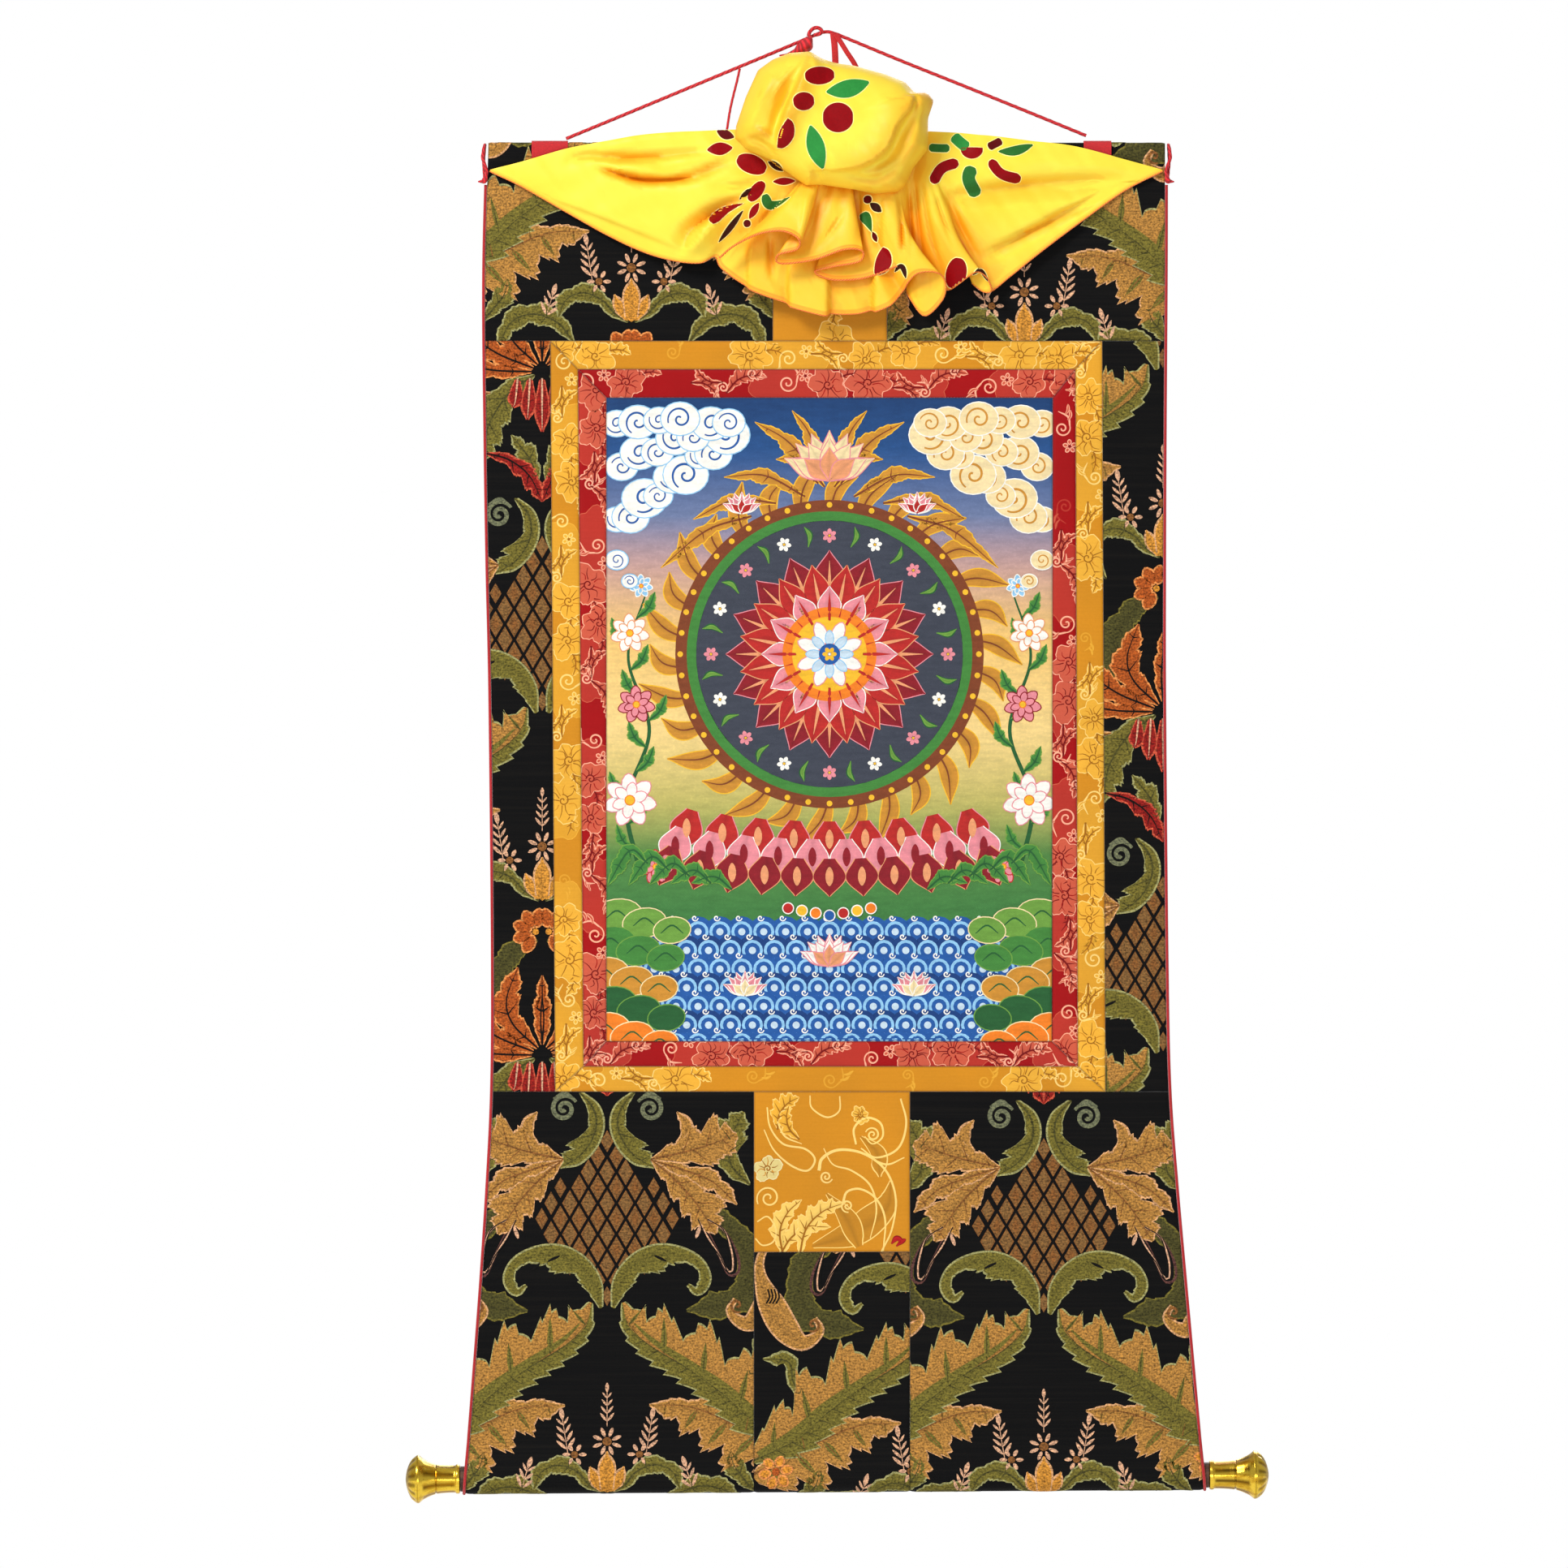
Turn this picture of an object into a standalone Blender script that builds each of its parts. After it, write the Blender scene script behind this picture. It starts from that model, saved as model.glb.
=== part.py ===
# Thangka scroll painting: brocade mount on a batten and a roller, with a bunched silk cover and its cord.
# Metres, +Z up. The front faces -Y, and the origin is the point where the cord hangs.

import math

import bpy
import bmesh
import numpy as np

MM = 0.001

# Driving sizes of the mount, in metres
CLOTH = 1.6 * MM
SILK = 1.4 * MM
GAP = 0.3 * MM
MOUNT_TOP = -88.0 * MM
FRAME_TOP = -244.5 * MM
FRAME_BOTTOM = -836.5 * MM
PIPING_RADIUS = 1.2 * MM
PIPING_DROP = 33.4 * MM
SEAM_UPPER_LEFT = -42.2 * MM
SEAM_UPPER_RIGHT = 48.0 * MM
SEAM_LOWER_LEFT = -57.0 * MM
SEAM_LOWER_RIGHT = 66.0 * MM
LOWER_SQUARE_BOTTOM = -963.0 * MM
RIPPLE = 1.8 * MM
RIPPLE_STILL = 40.0 * MM
RIPPLE_FULL_BELOW_TOP = 180.0 * MM
RIPPLE_FULL_ABOVE_ROLLER = 220.0 * MM

# Batten in the top hem
BATTEN_DEPTH = 5.0 * MM
BATTEN_HEIGHT = 16.0 * MM
BATTEN_EASE = 1.0 * MM
BATTEN_INSET = 0.5 * MM
HEM_CORNER = 2.4 * MM
HEM_STITCH_DROP = 25.0 * MM
HEM_TAIL_DROP = 34.0 * MM
HEM_RUN = 12.0 * MM

# Roller in the bottom hem, and its knobs
ROLLER_Z = -1140.4 * MM
ROLLER_TILT = 0.0054
ROLLER_RADIUS = 10.0 * MM
ROLLER_LEFT = -288.4 * MM
ROLLER_RIGHT = 301.6 * MM
ROLLER_HEM_FRONT = 28.0 * MM
ROLLER_HEM_BACK = 20.0 * MM
ROLLER_HEM_TAIL = 29.0 * MM
SPIGOT_RADIUS = 7.0 * MM
SPIGOT_LENGTH = 12.0 * MM
KNOB_LENGTHS = {"left": 43.0 * MM, "right": 47.0 * MM}
KNOB_RADIUS = 19.0 * MM

# Outer edges of the mount, piping and all: height, left edge, right edge
EDGES = np.array([
    (-80.0, -268.6, 269.6),
    (-193.0, -271.4, 269.4),
    (-321.0, -270.4, 268.6),
    (-424.0, -268.8, 268.2),
    (-526.0, -266.6, 268.2),
    (-731.0, -264.6, 270.0),
    (-833.0, -265.2, 272.2),
    (-910.0, -268.8, 277.8),
    (-987.0, -273.9, 284.6),
    (-1064.0, -279.8, 291.6),
    (-1160.0, -287.4, 300.4),
]) * MM

# Corners of the frame's three outlines: left and right at the top, left and right at the bottom, then heights
FRAME = {
    "gold": {"top": (-217.6, 217.6), "bottom": (-213.8, 220.2), "heights": (-244.5, -836.5)},
    "red": {"top": (-195.8, 196.5), "bottom": (-191.4, 198.4), "heights": (-266.9, -816.6)},
    "picture": {"top": (-173.4, 178.6), "bottom": (-173.4, 177.9), "heights": (-289.3, -796.8)},
}

# Turned outline of a knob: share of its length from the cloth outwards, share of its greatest radius
KNOB_OUTLINE = [
    (0.00, 0.56), (0.05, 0.60), (0.10, 0.565), (0.25, 0.57), (0.42, 0.61), (0.44, 0.585), (0.46, 0.63),
    (0.58, 0.73), (0.69, 0.87), (0.755, 1.00), (0.80, 0.985), (0.88, 0.84), (0.95, 0.56), (0.99, 0.24),
]

# Hanging cord, strand and ribbons
CORD_DIAMETER = 2.4 * MM
STRAND_DIAMETER = 2.0 * MM
CORD_ROUTE = [
    (-205.2, 1.0, -85.0), (-154.0, 0.6, -63.9), (-103.0, 0.3, -42.7), (-52.0, 0.0, -21.5),
    (-16.0, 0.0, -6.4), (-8.0, 0.0, -2.9), (-4.0, 0.0, -1.4), (0.0, 0.0, -0.7), (4.0, 0.0, -1.3),
    (9.0, 0.0, -3.0), (18.0, 0.0, -6.6), (60.0, 0.0, -24.0), (108.0, 0.3, -43.2), (157.0, 0.6, -63.0),
    (205.0, 1.0, -82.6),
]
STRAND_ROUTE = [
    (-68.2, -1.4, -30.0), (-70.4, -3.2, -40.0), (-73.4, -5.0, -52.0), (-76.0, -6.6, -64.0),
    (-78.2, -7.4, -78.1),
]

# Knot with its loop at the cord's top: place, and radius
KNOT = [
    (-37.0, -1.8, -19.6, 0.5), (-31.0, -2.2, -18.8, 1.1), (-24.5, -2.6, -17.4, 3.2), (-19.0, -3.4, -14.4, 4.8),
    (-15.6, -4.8, -11.2, 5.0), (-13.8, -5.2, -7.6, 3.7), (-14.0, -5.0, -5.0, 2.4),
]
LOOP_ROUTE = [
    (-14.0, -5.0, -4.5), (-12.8, -4.5, -0.8), (-9.8, -3.9, 1.7), (-6.4, -3.6, 2.2), (-3.8, -3.6, 0.2),
    (-5.0, -3.9, -2.6), (-9.8, -4.5, -3.6),
]
LOOP_RADIUS = 1.5 * MM

# Ribbons: width, then the route of the middle line
RIBBONS = {
    "ribbon_left": (4.8, [(5.4, -2.1, -1.4), (6.6, -2.3, -12.0), (7.2, -3.0, -26.0), (7.2, -5.6, -50.0),
                          (6.4, -7.4, -77.8)]),
    "ribbon_right": (3.6, [(7.4, -3.6, -2.6), (15.6, -3.8, -16.0), (24.0, -4.2, -30.0), (29.0, -6.0, -50.0),
                           (30.0, -7.4, -77.8)]),
}
RIBBON_THICK = 1.0 * MM

# Tabs over the top hem: left and right end, length in front
TABS = {
    "tab_left": (-232.3, -203.7, 13.0),
    "tab_right": (203.0, 224.8, 14.0),
}
TAB_THICK = 1.2 * MM

# Ties round the batten's ends: distance outwards from the hem's end, depth, height, radius
CORNER_TIE = [
    (5.6, -1.6, -119.0, 0.5), (2.8, -1.8, -118.8, 1.4), (0.6, -2.6, -118.2, 2.3), (-0.4, -3.6, -114.4, 1.5),
    (-1.0, -3.9, -110.6, 1.2), (0.4, -3.8, -106.0, 1.2), (2.4, -2.6, -100.5, 1.4), (1.9, 0.0, -93.0, 1.3),
    (1.2, 3.8, -89.6, 1.2), (1.6, 7.6, -93.0, 1.3), (2.0, 9.0, -101.5, 1.3), (1.4, 7.0, -110.0, 1.2),
    (0.8, 3.6, -116.0, 1.1),
]
TIE_CLEAR = 1.6

# Silk cover, back sheet. Each row is a column of the cloth, from tip to tip:
# lower hem (x, z, distance in front), gather line (x, z, distance), upper edge (x, z, distance)
COVER_COLUMNS = [
    ((-265.4, -110.9, 3.6), (-265.0, -110.2, 3.6), (-264.6, -109.6, 3.6)),
    ((-240.0, -123.0, 4.2), (-240.0, -114.0, 6.4), (-240.0, -103.4, 4.6)),
    ((-205.0, -143.0, 5.0), (-205.0, -122.0, 10.0), (-204.0, -93.0, 5.4)),
    ((-172.0, -161.5, 6.0), (-172.0, -130.0, 13.0), (-172.0, -87.0, 6.2)),
    ((-143.0, -175.0, 8.0), (-144.0, -136.0, 16.0), (-146.0, -82.6, 6.8)),
    ((-118.0, -182.0, 11.0), (-122.0, -138.0, 19.0), (-120.0, -80.4, 7.2)),
    ((-99.0, -183.4, 13.0), (-98.0, -137.0, 22.0), (-97.0, -79.4, 7.4)),
    ((-88.0, -178.4, 10.0), (-66.0, -134.0, 18.0), (-76.0, -78.4, 7.4)),
    ((-82.0, -188.0, 10.0), (-48.0, -134.0, 15.0), (-54.0, -78.2, 7.4)),
    ((-60.0, -203.0, 12.0), (-34.0, -135.0, 14.0), (-30.0, -78.2, 7.4)),
    ((-30.0, -213.6, 10.0), (-18.0, -136.0, 14.0), (-10.0, -78.2, 7.4)),
    ((0.0, -221.4, 12.0), (-6.0, -137.0, 14.0), (6.0, -78.2, 7.4)),
    ((22.0, -222.4, 11.0), (6.0, -138.0, 14.0), (16.0, -78.2, 7.4)),
    ((36.0, -219.0, 11.5), (14.0, -138.0, 14.0), (24.0, -78.2, 7.4)),
    ((50.0, -213.4, 14.0), (22.0, -138.0, 15.0), (32.0, -78.2, 7.4)),
    ((60.0, -206.0, 20.0), (29.0, -138.0, 18.0), (38.0, -78.4, 7.4)),
    ((65.0, -198.4, 28.0), (35.0, -138.0, 22.0), (43.0, -78.4, 7.4)),
    ((72.0, -192.4, 33.0), (41.0, -137.0, 26.0), (48.0, -78.4, 7.4)),
    ((83.0, -191.4, 34.0), (47.0, -136.0, 28.0), (53.0, -78.6, 7.6)),
    ((91.0, -194.6, 32.0), (52.0, -135.0, 28.0), (57.0, -78.6, 7.6)),
    ((94.0, -203.0, 27.4), (55.0, -134.0, 26.0), (61.0, -78.8, 7.6)),
    ((90.6, -214.0, 23.0), (58.0, -134.0, 23.2), (65.0, -79.0, 7.8)),
    ((77.6, -225.4, 20.0), (60.0, -134.0, 20.6), (69.0, -79.2, 8.0)),
    ((67.0, -213.4, 17.0), (62.0, -134.0, 18.4), (73.0, -79.4, 8.0)),
    ((63.6, -204.0, 12.6), (64.0, -134.0, 16.6), (77.0, -79.6, 8.2)),
    ((72.0, -201.0, 9.4), (66.0, -133.0, 15.6), (81.0, -79.8, 8.2)),
    ((86.0, -202.4, 9.6), (69.0, -132.0, 16.0), (85.0, -80.0, 8.2)),
    ((96.0, -204.8, 14.0), (72.0, -131.0, 17.6), (89.0, -80.2, 8.2)),
    ((105.0, -199.6, 20.0), (76.0, -130.0, 20.4), (93.0, -80.4, 8.0)),
    ((112.0, -194.4, 24.0), (80.0, -130.0, 22.4), (97.0, -80.6, 8.0)),
    ((119.0, -191.0, 25.4), (84.0, -130.0, 23.2), (101.0, -80.8, 8.0)),
    ((126.4, -196.0, 23.0), (88.0, -130.0, 22.6), (105.0, -81.0, 8.0)),
    ((130.0, -205.4, 18.4), (92.0, -130.0, 21.0), (109.0, -81.4, 7.8)),
    ((124.0, -206.4, 14.6), (95.0, -130.0, 19.4), (113.0, -81.8, 7.8)),
    ((115.4, -200.0, 11.4), (98.0, -130.0, 18.2), (117.0, -82.2, 7.8)),
    ((118.0, -201.0, 8.0), (102.0, -131.0, 17.6), (121.0, -82.6, 7.6)),
    ((128.0, -206.4, 8.0), (109.0, -131.0, 17.6), (127.0, -83.0, 7.6)),
    ((146.0, -193.0, 8.6), (126.0, -131.0, 17.0), (138.0, -84.2, 7.4)),
    ((171.0, -173.0, 8.0), (158.0, -126.0, 14.0), (160.0, -87.0, 6.8)),
    ((203.0, -149.0, 6.0), (196.0, -119.0, 10.0), (196.0, -91.4, 5.8)),
    ((236.0, -125.6, 4.6), (236.0, -113.0, 6.4), (234.0, -101.4, 4.8)),
    ((265.0, -110.9, 3.6), (264.8, -110.2, 3.6), (264.4, -109.6, 3.6)),
]
COVER_ACROSS = 104
COVER_DOWN = 9

# Folds of the swags: one end (x, z), other end (x, z), half width, how far they stand out
SWAG_FOLDS = [
    (-214.0, -108.0, -112.0, -108.0, 8.0, 5.0),
    (-184.0, -120.0, -104.0, -122.0, 8.0, -6.0),
    (-190.0, -138.0, -92.0, -140.0, 10.0, 4.0),
    (-114.0, -176.0, -74.0, -132.0, 8.0, -8.0),
    (-134.0, -168.0, -96.0, -136.0, 8.0, 5.0),
    (-98.0, -180.0, -72.0, -146.0, 6.0, 5.0),
    (104.0, -138.0, 216.0, -122.0, 9.0, 6.0),
    (122.0, -176.0, 208.0, -133.0, 8.0, -7.0),
    (134.0, -190.0, 222.0, -133.0, 8.0, 4.0),
    (102.0, -112.0, 178.0, -104.0, 10.0, 4.0),
]

# Front frill, its hem from the left: x, z, distance in front, and where that column meets the neck
FRILL_COLUMNS = [
    ((-84.0, -180.0, 24.0), (-18.0, 24.0)),
    ((-72.0, -170.6, 32.0), (-16.0, 30.0)),
    ((-52.0, -161.6, 40.0), (-14.0, 35.0)),
    ((-34.0, -160.0, 45.0), (-12.0, 38.0)),
    ((-22.0, -166.0, 46.0), (-7.0, 38.0)),
    ((-23.0, -174.0, 42.0), (-4.0, 35.4)),
    ((-38.0, -178.4, 39.4), (-3.0, 33.2)),
    ((-36.0, -185.0, 36.0), (0.0, 31.0)),
    ((-10.0, -182.0, 35.0), (8.0, 30.0)),
    ((14.0, -174.0, 36.0), (15.0, 30.0)),
    ((28.0, -175.0, 34.0), (19.0, 28.0)),
    ((26.0, -183.0, 30.6), (19.0, 25.6)),
    ((6.0, -187.0, 28.4), (15.0, 24.0)),
    ((-9.0, -191.0, 26.0), (12.0, 22.4)),
    ((4.0, -197.0, 23.0), (15.0, 20.6)),
    ((26.0, -196.4, 22.4), (22.0, 20.2)),
    ((42.0, -192.0, 25.0), (29.0, 21.4)),
    ((56.0, -186.8, 27.4), (35.0, 23.0)),
    ((62.6, -189.6, 25.6), (38.0, 22.4)),
    ((62.0, -198.0, 20.0), (37.0, 19.4)),
    ((55.0, -204.0, 15.6), (35.0, 17.0)),
]
FRILL_NECK_Z = -113.0
FRILL_NECK_EASE = 1.25
FRILL_ACROSS = 66
FRILL_DOWN = 5

# Bunch of silk, seen from the front: direction from its middle in degrees, reach
BUNCH_CENTRE = (6.0, -26.0, -74.0)
BUNCH_OUTLINE = [
    (2, 75.9), (13, 78.6), (21, 65.5), (42, 54.5), (65, 50.5), (81, 49.5), (97, 51.5), (106, 59.5),
    (117, 60.0), (131, 66.0), (145, 71.6), (156, 75.2), (169, 77.6), (183, 77.8), (197, 73.5), (208, 63.0),
    (223, 55.0), (239, 53.0), (261, 50.0), (285, 57.0), (303, 67.6), (316, 74.4), (333, 73.5), (347, 75.0),
]
BUNCH_FRONT = 33.0
BUNCH_BACK = 15.0
BUNCH_ROUND = 3.2
BUNCH_SEGMENTS = 44
BUNCH_FRONT_RINGS = 10
BUNCH_BACK_RINGS = 4
# Creases of the bunch: one end (x, z), other end (x, z), half width, how far they stand out
BUNCH_CREASES = [
    (-15.0, -19.0, -42.0, -112.0, 7.0, -13.0),
    (-34.0, -32.0, -56.0, -96.0, 9.0, 6.0),
    (-52.0, -46.0, -62.0, -92.0, 6.0, -6.0),
    (-8.0, -30.0, -24.0, -104.0, 9.0, 6.0),
    (8.0, -122.0, 60.0, -98.0, 7.0, -10.0),
    (60.0, -98.0, 78.0, -52.0, 6.0, -8.0),
    (34.0, -108.0, 62.0, -74.0, 8.0, 5.0),
    (2.0, -28.0, 48.0, -40.0, 10.0, 4.0),
    (48.0, -46.0, 66.0, -86.0, 8.0, -5.0),
]

COLOURS = {
    "brocade": ((0.018, 0.016, 0.014), 0.75, 0.0),
    "gold_damask": ((0.72, 0.42, 0.06), 0.45, 0.0),
    "red_damask": ((0.60, 0.02, 0.02), 0.50, 0.0),
    "canvas": ((0.12, 0.20, 0.42), 0.70, 0.0),
    "silk": ((0.95, 0.66, 0.05), 0.40, 0.0),
    "red_thread": ((0.58, 0.01, 0.02), 0.60, 0.0),
    "wood": ((0.35, 0.20, 0.10), 0.60, 0.0),
    "gold_metal": ((0.85, 0.62, 0.18), 0.20, 1.0),
}


def make_material(name):
    found = bpy.data.materials.get(name)
    if found:
        return found
    colour, roughness, metallic = COLOURS[name]
    material = bpy.data.materials.new(name)
    material.use_nodes = True
    shader = material.node_tree.nodes["Principled BSDF"]
    shader.inputs["Base Color"].default_value = (*colour, 1.0)
    shader.inputs["Roughness"].default_value = roughness
    shader.inputs["Metallic"].default_value = metallic
    return material


def add_object(name, data, material):
    data.materials.append(make_material(material))
    made = bpy.data.objects.new(name, data)
    bpy.context.scene.collection.objects.link(made)
    return made


def smooth_path(points, count):
    """Read a Catmull-Rom curve through rows of points at even steps along their first three columns."""
    points = np.asarray(points, dtype=float)
    ends = np.vstack([2 * points[0] - points[1], points, 2 * points[-1] - points[-2]])
    dense = []
    steps = np.linspace(0.0, 1.0, 24, endpoint=False)[:, None]
    for i in range(1, len(ends) - 2):
        a, b, c, d = ends[i - 1], ends[i], ends[i + 1], ends[i + 2]
        dense.append(0.5 * (2 * b + (c - a) * steps + (2 * a - 5 * b + 4 * c - d) * steps ** 2
                            + (3 * b - a - 3 * c + d) * steps ** 3))
    dense = np.vstack(dense + [points[-1:]])
    steps = np.linalg.norm(np.diff(dense[:, :3], axis=0), axis=1)
    along = np.concatenate([[0.0], np.cumsum(steps)])
    wanted = np.linspace(0.0, along[-1], count)
    return np.column_stack([np.interp(wanted, along, dense[:, k]) for k in range(dense.shape[1])])


def edge_at(height, side):
    """Give the outer edge of the mount at a height, smoothed between the table's rows."""
    path = smooth_path(EDGES, 120)
    return float(np.interp(height, path[::-1, 0], path[::-1, 1 if side == "left" else 2]))


def cloth_edge(height, side):
    """Give the brocade's own edge, inside the piping."""
    inward = 2 * PIPING_RADIUS + GAP
    if side == "left":
        return edge_at(height, side) + inward
    return edge_at(height, side) - inward


def smoothstep(low, high, value):
    share = np.clip((value - low) / (high - low), 0.0, 1.0)
    return share * share * (3.0 - 2.0 * share)


def hang_depth(x, z):
    """Give the soft ripple of the hanging mount, none at the batten and at the roller."""
    top_hold = smoothstep(MOUNT_TOP - RIPPLE_STILL, MOUNT_TOP - RIPPLE_FULL_BELOW_TOP, z)
    low_hold = smoothstep(ROLLER_Z + RIPPLE_STILL, ROLLER_Z + RIPPLE_FULL_ABOVE_ROLLER, z)
    wave = np.sin(9.0 * x + 5.2 * z + 0.8) + 0.7 * np.sin(6.0 * z - 14.0 * x + 2.0)
    return RIPPLE * top_hold * low_hold * wave


def tilt_drop(x, z):
    """Give how far the lower cloth hangs off level, full at the roller."""
    return ROLLER_TILT * x * smoothstep(FRAME_BOTTOM, ROLLER_Z + ROLLER_HEM_FRONT, z)


def top_hem_rows():
    """List depth and height of the cloth's middle, from the tail behind the batten over it to the front."""
    back = CLOTH / 2 + GAP + BATTEN_DEPTH + GAP + CLOTH / 2
    tail = CLOTH + GAP
    top = MOUNT_TOP - CLOTH / 2
    rows = [(tail, MOUNT_TOP - HEM_TAIL_DROP), (tail, MOUNT_TOP - HEM_STITCH_DROP)]
    rows.append((back, MOUNT_TOP - CLOTH - GAP - BATTEN_HEIGHT))
    for turn in (0.0, 30.0, 60.0, 90.0):
        angle = math.radians(turn)
        rows.append((back - HEM_CORNER * (1 - math.cos(angle)), top - HEM_CORNER * (1 - math.sin(angle))))
    for turn in (90.0, 60.0, 30.0, 0.0):
        angle = math.radians(turn)
        rows.append((HEM_CORNER * (1 - math.cos(angle)), top - HEM_CORNER * (1 - math.sin(angle))))
    return rows


def roller_hem_rows(half_thick=CLOTH / 2):
    """List depth and height of the cloth's middle, from the front round the roller to the tail."""
    wrap = ROLLER_RADIUS + GAP + half_thick
    tail = CLOTH + GAP
    front_turn = math.acos(wrap / ROLLER_HEM_FRONT)
    lean = math.atan2(tail, ROLLER_HEM_BACK)
    back_turn = math.acos(wrap / math.hypot(tail, ROLLER_HEM_BACK)) + lean
    rows = [(0.0, ROLLER_Z + ROLLER_HEM_FRONT)]
    steps = 11
    for i in range(steps + 1):
        angle = front_turn + (2 * math.pi - front_turn - back_turn) * i / steps
        rows.append((-wrap * math.sin(angle), ROLLER_Z + wrap * math.cos(angle)))
    rows.append((tail, ROLLER_Z + ROLLER_HEM_BACK))
    rows.append((tail, ROLLER_Z + ROLLER_HEM_TAIL))
    return rows


def straight_rows(high, low, count):
    return [(0.0, high + (low - high) * i / count) for i in range(count + 1)]


def add_sheet(name, middle, thickness, material):
    """Make one closed sheet of even thickness round a grid of middle points (rows, columns, xyz)."""
    across = np.gradient(middle, axis=1)
    down = np.gradient(middle, axis=0)
    normal = np.cross(across, down)
    normal /= np.maximum(np.linalg.norm(normal, axis=2, keepdims=True), 1e-12)
    rows, columns = middle.shape[:2]
    near = middle + normal * thickness / 2
    far = middle - normal * thickness / 2
    verts = np.vstack([near.reshape(-1, 3), far.reshape(-1, 3)])
    behind = rows * columns

    def at(row, column, layer=0):
        return layer * behind + row * columns + column

    faces = []
    for r in range(rows - 1):
        for c in range(columns - 1):
            faces.append((at(r, c), at(r, c + 1), at(r + 1, c + 1), at(r + 1, c)))
            faces.append((at(r, c, 1), at(r + 1, c, 1), at(r + 1, c + 1, 1), at(r, c + 1, 1)))
    rim = [(0, c) for c in range(columns)]
    rim += [(r, columns - 1) for r in range(1, rows)]
    rim += [(rows - 1, c) for c in range(columns - 2, -1, -1)]
    rim += [(r, 0) for r in range(rows - 2, 0, -1)]
    for i, first in enumerate(rim):
        second = rim[(i + 1) % len(rim)]
        faces.append((at(*second), at(*first), at(*first, 1), at(*second, 1)))
    mesh = bpy.data.meshes.new(name)
    mesh.from_pydata(verts.tolist(), [], faces)
    work = bmesh.new()
    work.from_mesh(mesh)
    bmesh.ops.recalc_face_normals(work, faces=work.faces)
    work.to_mesh(mesh)
    work.free()
    mesh.shade_smooth()
    mesh.set_sharp_from_angle(angle=math.radians(50))
    return add_object(name, mesh, material)


def hung_panel(name, rows, left, right, columns, material):
    """Make a panel of the mount from its rows of depth and height, and its two sides as functions of height."""
    middle = np.zeros((len(rows), columns + 1, 3))
    for r, (depth, height) in enumerate(rows):
        for c in range(columns + 1):
            x = left(height) + (right(height) - left(height)) * c / columns
            middle[r, c] = (x, depth + hang_depth(x, height), height + tilt_drop(x, height))
    return add_sheet(name, middle, CLOTH, material)


def brocade_side(side):
    return lambda height: cloth_edge(height, side)


def seam(place, side):
    """Give a straight seam's side of its panel, half a gap in from the seam."""
    inset = GAP / 2 if side == "right of seam" else -GAP / 2
    return lambda height: place + inset


def frame_corner(outline, end, side):
    row = FRAME[outline]
    x = row[end][0 if side == "left" else 1]
    z = row["heights"][0 if end == "top" else 1]
    return np.array((x, z)) * MM


def frame_side(side, inward=0.0):
    """Give the gold border's outer edge as a function of height."""
    top = frame_corner("gold", "top", side)
    bottom = frame_corner("gold", "bottom", side)

    def place(height):
        share = (height - top[1]) / (bottom[1] - top[1])
        return top[0] + (bottom[0] - top[0]) * share + inward
    return place


def inset_corners(corners, amount):
    """Move each side of a four-cornered outline inwards by an amount."""
    corners = np.asarray(corners)
    centre = corners.mean(axis=0)
    sides = []
    for i in range(4):
        start, end = corners[i], corners[(i + 1) % 4]
        along = (end - start) / np.linalg.norm(end - start)
        inward = np.array((-along[1], along[0]))
        if np.dot(centre - start, inward) < 0:
            inward = -inward
        sides.append((start + inward * amount, along))
    moved = []
    for i in range(4):
        (p, u), (q, v) = sides[i - 1], sides[i]
        cross = u[0] * v[1] - u[1] * v[0]
        step = ((q[0] - p[0]) * v[1] - (q[1] - p[1]) * v[0]) / cross
        moved.append(p + u * step)
    return moved


def flat_panel(name, corners, down, across, material):
    """Make a four-cornered panel of the frame; the corners run top left, top right, bottom right, bottom left."""
    top_left, top_right, low_right, low_left = inset_corners(corners, GAP / 2)
    middle = np.zeros((down + 1, across + 1, 3))
    for r in range(down + 1):
        for c in range(across + 1):
            u, v = c / across, r / down
            x, z = (1 - v) * ((1 - u) * top_left + u * top_right) + v * ((1 - u) * low_left + u * low_right)
            middle[r, c] = (x, hang_depth(x, z), z)
    return add_sheet(name, middle, CLOTH, material)


def add_frame():
    outlines = ["gold", "red", "picture"]
    for outer, inner in zip(outlines, outlines[1:]):
        corner = {}
        for level, outline in (("outer", outer), ("inner", inner)):
            for end in ("top", "bottom"):
                for side in ("left", "right"):
                    corner[level, end, side] = frame_corner(outline, end, side)
        material = outer + "_damask"
        for end, far_end in (("top", "inner"), ("bottom", "outer")):
            near = "outer" if end == "top" else "inner"
            flat_panel(f"{outer}_border_{end}", [
                corner[near, end, "left"], corner[near, end, "right"],
                corner[far_end, end, "right"], corner[far_end, end, "left"],
            ], 1, 8, material)
        for side, level_left, level_right in (("left", "outer", "inner"), ("right", "inner", "outer")):
            flat_panel(f"{outer}_border_{side}", [
                corner[level_left, "top", side], corner[level_right, "top", side],
                corner[level_right, "bottom", side], corner[level_left, "bottom", side],
            ], 12, 1, material)
    flat_panel("picture_panel", [
        frame_corner("picture", "top", "left"), frame_corner("picture", "top", "right"),
        frame_corner("picture", "bottom", "right"), frame_corner("picture", "bottom", "left"),
    ], 12, 8, "canvas")


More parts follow.
